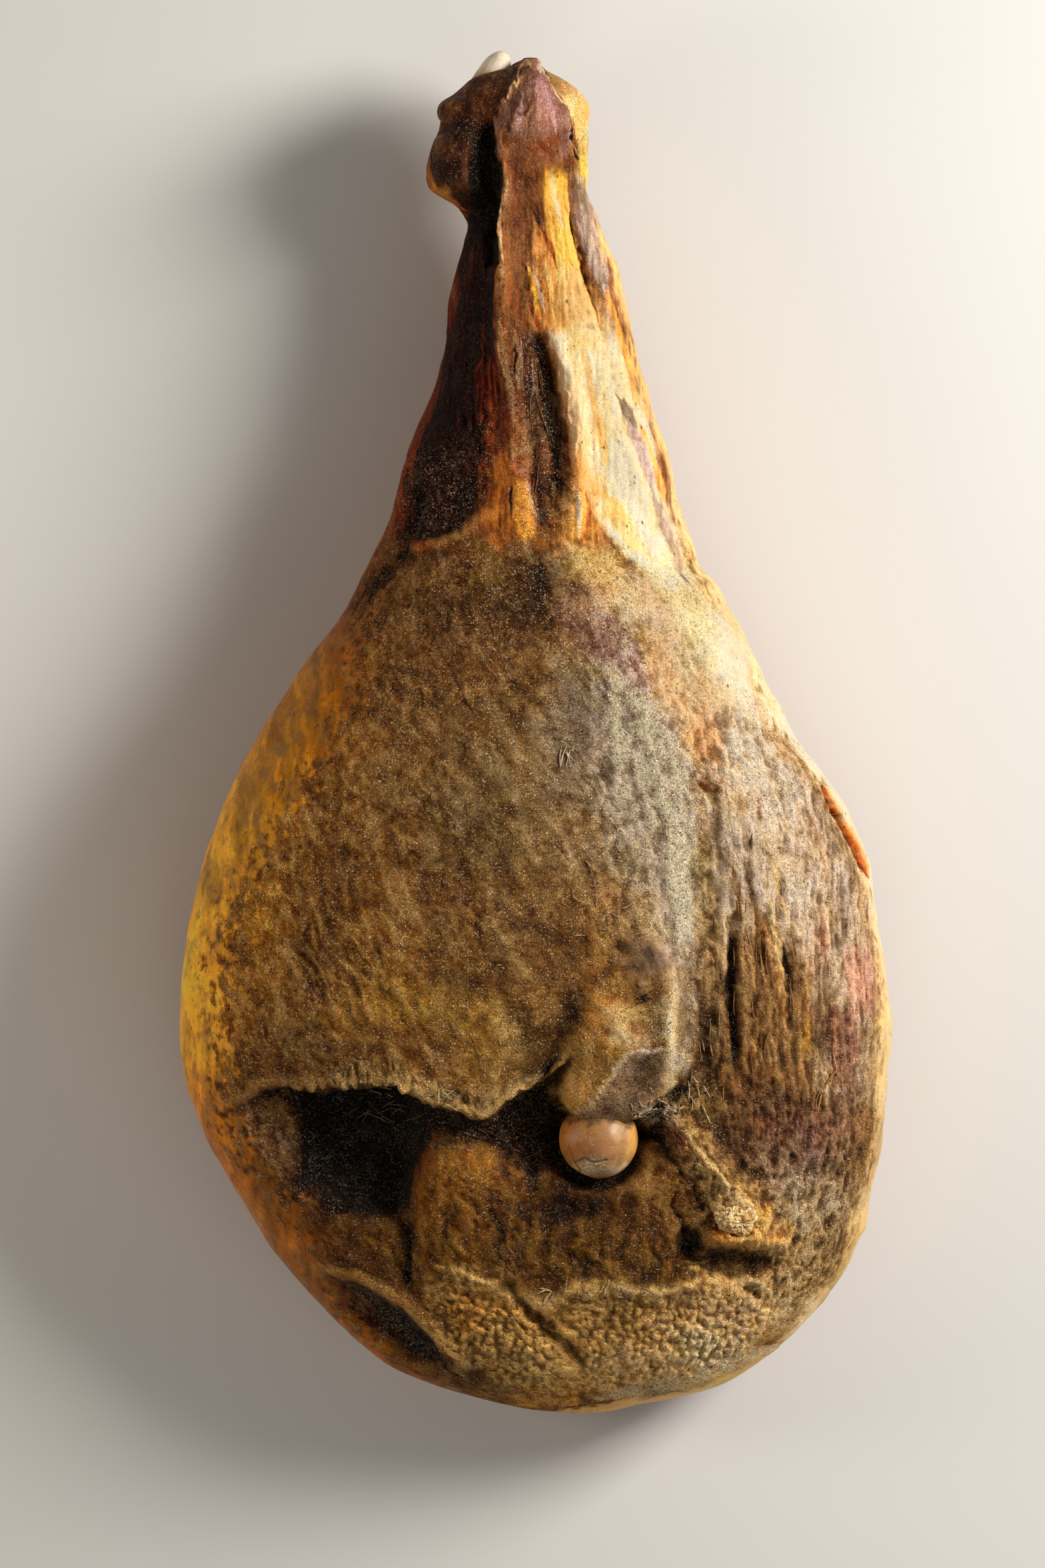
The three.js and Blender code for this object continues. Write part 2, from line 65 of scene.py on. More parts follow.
def to_plan(X, Y):
    return 270.0 + (X - LO[0]) / UNIT_X, 78.0 + (HI[1] - Y) / UNIT_Y


# ---------------------------------------------------------------- numbers


def sstep(a, b, v):
    t = np.clip((v - a) / (b - a), 0.0, 1.0)
    return t * t * (3 - 2 * t)


def pchip(rows, col, at):
    """Monotone cubic through the rows' column col, sampled at at."""
    r = sorted(rows)
    x = np.array([q[0] for q in r], float)
    y = np.array([q[col] for q in r], float)
    h = np.diff(x)
    s = np.diff(y) / h
    m = np.zeros_like(x)
    m[0], m[-1] = s[0], s[-1]
    p = s[:-1] * s[1:]
    m[1:-1] = np.where(p > 0, 2 * p / np.where(p > 0, s[:-1] + s[1:], 1), 0)
    at = np.clip(np.asarray(at, float), x[0], x[-1])
    i = np.clip(np.searchsorted(x, at, side="right") - 1, 0, len(x) - 2)
    t = (at - x[i]) / h[i]
    t2, t3 = t * t, t * t * t
    return (
        (2 * t3 - 3 * t2 + 1) * y[i]
        + (t3 - 2 * t2 + t) * h[i] * m[i]
        + (3 * t2 - 2 * t3) * y[i + 1]
        + (t3 - t2) * h[i] * m[i + 1]
    )


_rng = np.random.default_rng(7)
_GRAD = _rng.normal(size=(512, 3))
_GRAD /= np.linalg.norm(_GRAD, axis=1)[:, None]
_PERM = np.tile(_rng.permutation(512), 3)


def noise3(p, seed=0):
    """Gradient noise, about -1 to 1, at points p (n, 3)."""
    p = np.asarray(p, float) + seed * 17.37
    i = np.floor(p).astype(np.int64)
    f = p - i
    u = f * f * f * (f * (f * 6 - 15) + 10)
    out = np.zeros(len(p))
    for dx in (0, 1):
        for dy in (0, 1):
            for dz in (0, 1):
                h = _PERM[
                    _PERM[_PERM[(i[:, 0] + dx) & 511] + ((i[:, 1] + dy) & 511)]
                    + ((i[:, 2] + dz) & 511)
                ]
                g = _GRAD[h]
                d = (
                    g[:, 0] * (f[:, 0] - dx)
                    + g[:, 1] * (f[:, 1] - dy)
                    + g[:, 2] * (f[:, 2] - dz)
                )
                w = (
                    (u[:, 0] if dx else 1 - u[:, 0])
                    * (u[:, 1] if dy else 1 - u[:, 1])
                    * (u[:, 2] if dz else 1 - u[:, 2])
                )
                out += w * d
    return out * 1.6


def fbm(p, size, octaves=4, seed=0, gain=0.5):
    """Layered noise with features of about size mm. size may be three numbers."""
    q = np.asarray(p, float) / np.asarray(size, float)
    out = np.zeros(len(q))
    a = 1.0
    for k in range(octaves):
        out += a * noise3(q, seed + k * 3)
        q = q * 2.03
        a *= gain
    return out


def cells(p, size, seed=0, jitter=0.85):
    """Distance in mm to the nearest and next jittered point of a square lattice over p's X and Y, and that point's random number."""
    q = p[:, :2] / size
    i = np.floor(q).astype(np.int64)
    best = np.full(len(q), 9.0)
    second = np.full(len(q), 9.0)
    rnd = np.zeros(len(q))
    for dx in (-1, 0, 1):
        for dy in (-1, 0, 1):
            cx, cy = i[:, 0] + dx, i[:, 1] + dy
            h = _PERM[_PERM[(cx + seed * 31) & 511] + (cy & 511)]
            h2 = _PERM[h + 13]
            h3 = _PERM[h2 + 7]
            px = cx + 0.5 + jitter * (h / 511.0 - 0.5)
            py = cy + 0.5 + jitter * (h2 / 511.0 - 0.5)
            d = np.hypot(q[:, 0] - px, q[:, 1] - py)
            near = d < best
            second = np.where(near, best, np.minimum(second, d))
            rnd = np.where(near, h3 / 511.0, rnd)
            best = np.where(near, d, best)
    return best * size, second * size, rnd


def along(px, py, pts, reach):
    """Distance of each point to a line of points, and where on it (0 to len-1), for the points within reach; others get reach."""
    pts = np.asarray(pts, float)
    d = np.full(len(px), float(reach))
    at = np.zeros(len(px))
    box = (
        (px > pts[:, 0].min() - reach)
        & (px < pts[:, 0].max() + reach)
        & (py > pts[:, 1].min() - reach)
        & (py < pts[:, 1].max() + reach)
    )
    idx = np.nonzero(box)[0]
    if not len(idx):
        return d, at
    x, y = px[idx], py[idx]
    bd = np.full(len(idx), float(reach))
    ba = np.zeros(len(idx))
    for k in range(len(pts) - 1):
        ax, ay = pts[k]
        ux, uy = pts[k + 1] - pts[k]
        t = np.clip(((x - ax) * ux + (y - ay) * uy) / (ux * ux + uy * uy), 0, 1)
        q = np.hypot(x - ax - t * ux, y - ay - t * uy)
        n = q < bd
        bd = np.where(n, q, bd)
        ba = np.where(n, k + t, ba)
    d[idx] = bd
    at[idx] = ba
    return d, at


def inside(px, py, poly, soft):
    """1 well inside a closed outline, 0 well outside, over a border soft wide on each side."""
    poly = np.asarray(poly, float)
    out = np.zeros(len(px))
    box = (
        (px > poly[:, 0].min() - soft)
        & (px < poly[:, 0].max() + soft)
        & (py > poly[:, 1].min() - soft)
        & (py < poly[:, 1].max() + soft)
    )
    idx = np.nonzero(box)[0]
    if not len(idx):
        return out
    x, y = px[idx], py[idx]
    inn = np.zeros(len(idx), bool)
    dist = np.full(len(idx), 1e9)
    n = len(poly)
    for k in range(n):
        ax, ay = poly[k]
        bx, by = poly[(k + 1) % n]
        cross = ((ay > y) != (by > y)) & (
            x < (bx - ax) * (y - ay) / (by - ay if by != ay else 1e-9) + ax
        )
        inn ^= cross
        ux, uy = bx - ax, by - ay
        t = np.clip(((x - ax) * ux + (y - ay) * uy) / (ux * ux + uy * uy + 1e-9), 0, 1)
        dist = np.minimum(dist, np.hypot(x - ax - t * ux, y - ay - t * uy))
    s = np.where(inn, dist, -dist)
    out[idx] = sstep(-soft, soft, s)
    return out


def blob(px, py, cx, cy, rx, ry, turn=0.0, flat=1.0):
    """A soft oval, 1 in the middle. turn is in degrees, clockwise on the plan grid."""
    a = math.radians(turn)
    dx, dy = px - cx, py - cy
    u = (dx * math.cos(a) + dy * math.sin(a)) / rx
    v = (dy * math.cos(a) - dx * math.sin(a)) / ry
    q = u * u + v * v
    return np.where(q < 9, np.exp(-np.minimum(q, 9) ** flat), 0.0)


def spread(values, at):
    """Values given at the points of a line, at the places at."""
    values = np.atleast_1d(np.asarray(values, float))
    if len(values) == 1:
        return np.full(len(at), values[0])
    return np.interp(at, np.arange(len(values)), values)


# Outline, one row per station: Y, left edge, right edge (mm).
OUTLINE = [
    (296.7, -3.7, -1.9), (295.6, -6.3, -0.1), (294.4, -9.5, 1.3), (292.6, -11.9, 3.1),
    (290.6, -19.5, 5.7), (288.2, -26.9, 9.5), (284.7, -31.3, 13.4), (280.3, -36.5, 16.9),
    (275.9, -41.5, 20.1), (267.1, -42.4, 22.2), (258.3, -45.6, 22.7), (249.5, -47.4, 22.5),
    (240.7, -45.3, 21.6), (231.9, -34.8, 24.8), (223.1, -29.8, 28.3), (214.3, -32.1, 31.6),
    (205.4, -34.8, 35.4), (196.6, -37.1, 38), (187.8, -38.9, 40.1), (179, -39.2, 41.5),
    (170.2, -39.8, 43.9), (161.4, -41.5, 45.6), (152.6, -44.5, 48.9), (143.8, -48.3, 50.9),
    (135, -52.4, 53.9), (126.2, -55.3, 57.1), (117.4, -58, 59.7), (108.6, -59.7, 60.9),
    (99.8, -61.8, 62.7), (91, -64.4, 65.6), (82.2, -69.1, 69.1), (73.4, -73.8, 72.1),
    (64.6, -78.2, 80.3), (55.8, -82, 84.7), (47, -87.9, 90.3), (38.2, -95.5, 94.1),
    (29.3, -102.3, 98.5), (20.5, -107.9, 102), (11.7, -114, 107.9), (2.9, -119.9, 111.4),
    (-5.9, -124.9, 116.1), (-14.7, -129.6, 124), (-23.5, -134, 130.5), (-32.3, -137.8, 136.6),
    (-41.1, -141, 140.4), (-49.9, -144, 144.3), (-58.7, -146.6, 147.2), (-67.5, -149.2, 148.4),
    (-76.3, -151.3, 149), (-85.1, -153.1, 150.1), (-93.9, -154.2, 152.2), (-102.7, -155.4, 153.4),
    (-111.5, -156.3, 154.5), (-120.3, -156.6, 156), (-129.1, -156.9, 156.9), (-137.9, -156.6, 156.3),
    (-146.8, -155.4, 154.8), (-155.6, -153.6, 154.5), (-164.4, -150.4, 153.6), (-173.2, -147.2, 152.8),
    (-182, -143.4, 152.2), (-190.8, -138.1, 150.1), (-199.6, -133.1, 147.8), (-208.4, -127.5, 146),
    (-217.2, -122.2, 144.5), (-226, -117, 140.7), (-234.8, -109.9, 136.9), (-243.6, -102.3, 131.3),
    (-252.4, -94.1, 124), (-261.2, -85.3, 116.4), (-270, -75.9, 106.7), (-278.8, -64.4, 95.8),
    (-287.6, -43.6, 80.6), (-293.5, -23.9, 59.1), (-296.4, -11.9, 43.3), (-298.2, -2.5, 36.2),
    (-299.4, 9.8, 28.6), (-300, 18.1, 21),
]
# Y, crest of the cut face, widest line, underside.
HEIGHTS = [
    (296.7, 63.4, 57.8, 52.2), (292.6, 71.8, 55.9, 41.9), (284.7, 80.2, 54.1, 32.6), (270, 85.7, 53.1, 26.1),
    (253.6, 88.5, 52.2, 23.3), (237.7, 85.7, 51.3, 23.3), (223.1, 83.9, 50.3, 22.4), (199.6, 86.7, 48.5, 19.6),
    (176.1, 91.3, 47.5, 15.8), (146.8, 97.9, 46.6, 12.1), (117.4, 103.5, 46.6, 8.4), (88, 109, 46.6, 4.7),
    (58.7, 115.6, 46.6, 0.9), (29.3, 122.1, 47.5, -2.8), (0, 127.7, 48.5, -5.6), (-29.3, 132.3, 49.4, -7.5),
    (-58.7, 135.1, 50.3, -8.4), (-88, 136.1, 50.3, -8.4), (-117.4, 135.1, 50.3, -8.4), (-146.8, 132.3, 50.3, -8.4),
    (-176.1, 126.8, 49.4, -7.5), (-205.4, 119.3, 48.5, -6.5), (-234.8, 107.2, 46.6, -4.7), (-252.4, 96.9, 44.7, -2.8),
    (-270, 82.9, 41.9, 1.9), (-281.8, 71.8, 40.1, 7.5), (-290.6, 60.6, 38.2, 14), (-296.4, 50.3, 36.3, 21.4),
    (-298.8, 43.8, 35.4, 27), (-300, 36.3, 35.4, 34.5),
]
# Edge of the flap of lean on the plan grid: x, y, depth of the hollow below it (mm), how far it runs at full depth, how far it takes to rise (mm).
FLAP = [
    (330, 1668, 0, 6, 10), (370, 1645, 3, 8, 16), (406, 1622, 8, 14, 24), (445, 1620, 17, 22, 30),
    (492, 1621, 25, 28, 32), (542, 1611, 27, 32, 34), (588, 1613, 25, 34, 34), (614, 1627, 18, 24, 30),
    (649, 1642, 13, 10, 24), (687, 1655, 12, 6, 22), (720, 1667, 12, 6, 22), (752, 1646, 14, 14, 26),
    (777, 1627, 16, 20, 28), (802, 1613, 16, 24, 28), (836, 1590, 12, 26, 28), (862, 1570, 0, 20, 20),
]
# Folds of the frame's own surface: line on the plan grid, half widths (mm), heights (mm).
FOLDS = [
    ([(749, 236), (758, 300), (760, 390), (757, 470), (760, 548), (770, 610), (774, 671)], [5, 5, 5, 5, 5, 5, 6], [4, 6, 6, 5.5, 5, 4, 2]),  # central column of the shank
    ([(715, 330), (712, 400), (712, 480), (705, 560), (695, 640)], [7, 9, 10, 11, 12], [-5, -6, -5.5, -4.5, -2]),  # lean left of the column
    ([(726, 196), (733, 250), (734, 300), (722, 340)], [5, 6.5, 6.5, 5], [-4, -6.5, -6.5, -3]),  # deep groove under the hock
    ([(806, 512), (826, 570), (838, 640), (836, 700), (830, 760)], [3, 4, 4.5, 4.5, 4], [-1.5, -3, -3.6, -3, -1]),  # pit beside the column
    ([(828, 505), (850, 570), (866, 650), (872, 720)], [4, 4, 4.5, 5], [2, 3.5, 3.5, 2]),  # fat ridge right of the pit
    ([(862, 330), (876, 390), (900, 470), (915, 560), (935, 640), (958, 710), (985, 790)], [3, 3, 3, 3, 3, 3, 3], [-1.5, -3, -3, -1.5, -1.5, -2, -1]),  # groove in the right of the shank
    ([(626, 825), (664, 815), (696, 802), (728, 775), (760, 772)], [4, 4, 4, 4, 4], [1.5, 3, 3, 3, 1]),  # fold between shank and face
    ([(632, 740), (625, 775), (605, 830), (560, 890)], [3, 3, 3, 4], [-2, -3.5, -3, -1]),  # slit beside the left rind band
    ([(612, 700), (590, 800), (545, 890), (480, 990), (405, 1100)], [4, 4, 5, 6, 6], [1, 2, 2.5, 2, 0.5]),  # left rind band
    ([(1060, 1120), (1050, 1200), (1046, 1300), (1044, 1400), (1040, 1500), (1050, 1600), (1075, 1680)], [8, 9, 10, 10, 9, 8, 7], [-1, -2.5, -3, -3, -3, -3, -2]),  # valley beside the thigh muscle
    ([(1092, 1379), (1094, 1450), (1096, 1530), (1100, 1610)], [3, 3, 3, 3], [-2, -3.5, -3.5, -1]),  # first deep fibre groove
    ([(1166, 1400), (1172, 1450), (1174, 1500)], [3, 3, 3], [-1.5, -3, -1]),  # second fibre groove
    ([(1226, 1165), (1241, 1203), (1266, 1241), (1290, 1287), (1304, 1320)], [2.5, 2.5, 2.5, 2.5, 2.5], [-1, -3.5, -4, -3.5, -1]),  # slit inside the right rim
    ([(985, 1672), (1010, 1712), (1046, 1760), (1076, 1796), (1104, 1826)], [4, 6, 8, 10, 10], [1.5, 2.5, 3, 3.5, 3]),  # ligament ridge
    ([(1000, 1470), (992, 1530), (990, 1590)], [4, 4, 4], [2, 4.5, 3]),  # tendon above the ball
    ([(1064, 1852), (1110, 1856), (1179, 1864)], [3.5, 3.5, 3.5], [4, 5, 2]),  # ledge above the lower cavity
    ([(606, 1790), (612, 1860), (622, 1925)], [5, 5.5, 5], [-2, -3, -1]),  # crease left of the ochre lean
    ([(482, 1898), (540, 1911), (607, 1946), (652, 1990), (700, 2048)], [4, 4, 4, 4, 4], [2.5, 4, 4, 4, 2]),  # light ridge over the dark wedge
    ([(652, 1893), (700, 1905), (768, 1937), (815, 1951), (867, 1926), (937, 1925), (990, 1932), (1049, 1912)], [5, 5, 5, 5, 5, 5, 5, 5], [0.6, 1.2, 1.5, 2, 2.2, 2, 2, 1.2]),  # upper border of the lard
    ([(762, 1925), (801, 1968), (845, 2012), (890, 2053), (933, 2072)], [3, 3.5, 3.5, 3, 3], [-2, -3, -1.6, -1.0, -0.5]),  # vee groove in the lard
    ([(796, 92), (772, 128), (754, 165)], [3, 3, 3], [1, 2.5, 1]),  # edge plate of the hock left
    ([(798, 95), (814, 120), (836, 160), (849, 209), (862, 250)], [3, 3, 3, 3, 3], [1, 2.5, 2.5, 2, 1]),  # edge plate of the hock right
    ([(812, 104), (832, 140), (853, 180), (862, 215), (872, 250)], [3, 3, 3, 3, 3], [-2, -3, -3, -3, -2]),  # groove beside the hock plate
    ([(1230, 1420), (1232, 1500), (1236, 1600)], [7, 8, 8], [-1, -2.5, -1]),  # second fibre hollow far right
]
# Swellings: x, y, radius, radius (grid), turn, height (mm), flatness.
SWELLINGS = [
    (690, 1280, 270, 320, 0, 4, 1),  # fullness of the face
    (902, 1592, 84, 78, 0, 3.0, 2),  # knob over the ball
    (950, 1490, 72, 105, 8, 3.5, 1.5),  # upper part of the knob
    (965, 1437, 44, 38, 0, 2.5, 1.5),  # smooth patch on the knob
    (897, 1716, 86, 60, 0, -6, 2),  # cavity round the ball
    (990, 1702, 40, 24, -25, -7, 1.5),  # gap right of the knob
    (683, 1805, 54, 92, 0, 6, 1.5),  # ochre lean under the flap
    (1033, 1858, 20, 22, 0, -6, 1.5),  # pit under the ligament
    (1098, 1889, 52, 20, -5, -8, 1.5),  # lower cavity
    (900, 1990, 240, 72, 4, 4, 1.5),  # lard over the butt
    (562, 1972, 98, 32, -38, -8, 1.5),  # dark wedge
    (862, 766, 22, 42, 0, 3, 1.5),  # swirl of fat
    (782, 766, 18, 44, 0, 3, 1.5),  # amber wedge
    (915, 650, 50, 140, 12, 4, 1),  # fat of the shank
    (686, 700, 44, 84, 15, -3, 1.5),  # dusty hollow
    (676, 262, 32, 54, 0, 5, 1.5),  # left lump of the hock
    (677, 172, 17, 19, 0, 3.5, 1.5),  # small knuckle of the hock
    (664, 196, 14, 10, 0, -4, 1.5),  # dent between the knuckles
    (856, 165, 24, 52, 0, 4, 1.5),  # right lump of the hock
    (868, 262, 14, 28, 0, 3, 1.5),  # yellow lump of the hock
    (800, 190, 46, 86, 0, 4, 1.5),  # hock plate
    (1085, 990, 40, 70, 25, 4, 1.5),  # fat shoulder right
    (1160, 1330, 90, 260, 0, 5, 1.5),  # thigh muscle
    (1180, 1700, 90, 110, 0, 3, 1.5),  # lower right lean
    (380, 1720, 60, 120, 30, 3, 1.2),  # left lower rind
]

FACE_FULLNESS = 2.5
RIND_FULLNESS = 2.2
FLAP_MIDDLE = -154.0
FLAP_MM = [(*to_mm(x, y), d, h, f) for x, y, d, h, f in FLAP]


def flap_edge(X):
    return pchip(FLAP_MM, 1, X)


def follow_flap(X, Y):
    a, b = FLAP_MM[0][0], FLAP_MM[-1][0]
    return (
        (flap_edge(X) - FLAP_MIDDLE)
        * sstep(a, a + 20, X)
        * (1 - sstep(b - 8, b + 12, X))
        * np.exp(-(((Y - FLAP_MIDDLE) / 34) ** 2))
    )


def ragged_edge(X, Y):
    """The flap's edge with the small waves of torn lean."""
    q = np.stack([X, Y * 0.15, 0 * X], 1)
    return flap_edge(X + 1.6 * noise3(q / 9.0, 6)) + 1.1 * noise3(q / 6.0, 7) + 0.5 * noise3(q / 2.4, 8)


def hollow(X, Y, rise):
    """Depth of the hollow under the flap (mm, negative), with its wall rise mm wide."""
    below = ragged_edge(X, Y) - Y
    hold = pchip(FLAP_MM, 3, X)
    fade = pchip(FLAP_MM, 4, X)
    inx = (X > FLAP_MM[0][0]) & (X < FLAP_MM[-1][0])
    d = pchip(FLAP_MM, 2, X) * sstep(-0.5, rise, below) * (1 - sstep(hold, hold + fade, below))
    return -np.where(inx, d, 0.0)


def fold_relief(px, py, folds, narrow=1.0):
    """Sum of the folds, each a line on the plan grid with half widths and heights in mm."""
    out = np.zeros(len(px))
    for entry in folds:
        pts, w, h = entry[:3]
        kind = entry[3] if len(entry) > 3 else "g"
        w = np.atleast_1d(np.asarray(w, float)) * narrow / UNIT
        d, at = along(px, py, pts, 3.2 * w.max())
        ww, hh = spread(w, at), spread(h, at)
        end = np.minimum(at, len(pts) - 1 - at)
        q = d / ww
        if kind == "g":
            v = np.exp(-(q**2))
        elif kind == "s":  # a sharp crease
            v = np.exp(-q * 1.6)
        elif kind == "c":  # a round cord
            v = np.sqrt(np.clip(1 - q * q, 0, 1))
        else:  # a flat band
            v = 1 - sstep(0.75, 1.15, q)
        taper = sstep(-0.02, 0.6, end) if kind in "sc" else 1.0
        out += hh * v * taper
    return out


# ---------------------------------------------------------------- fine relief, drawn on the plan grid

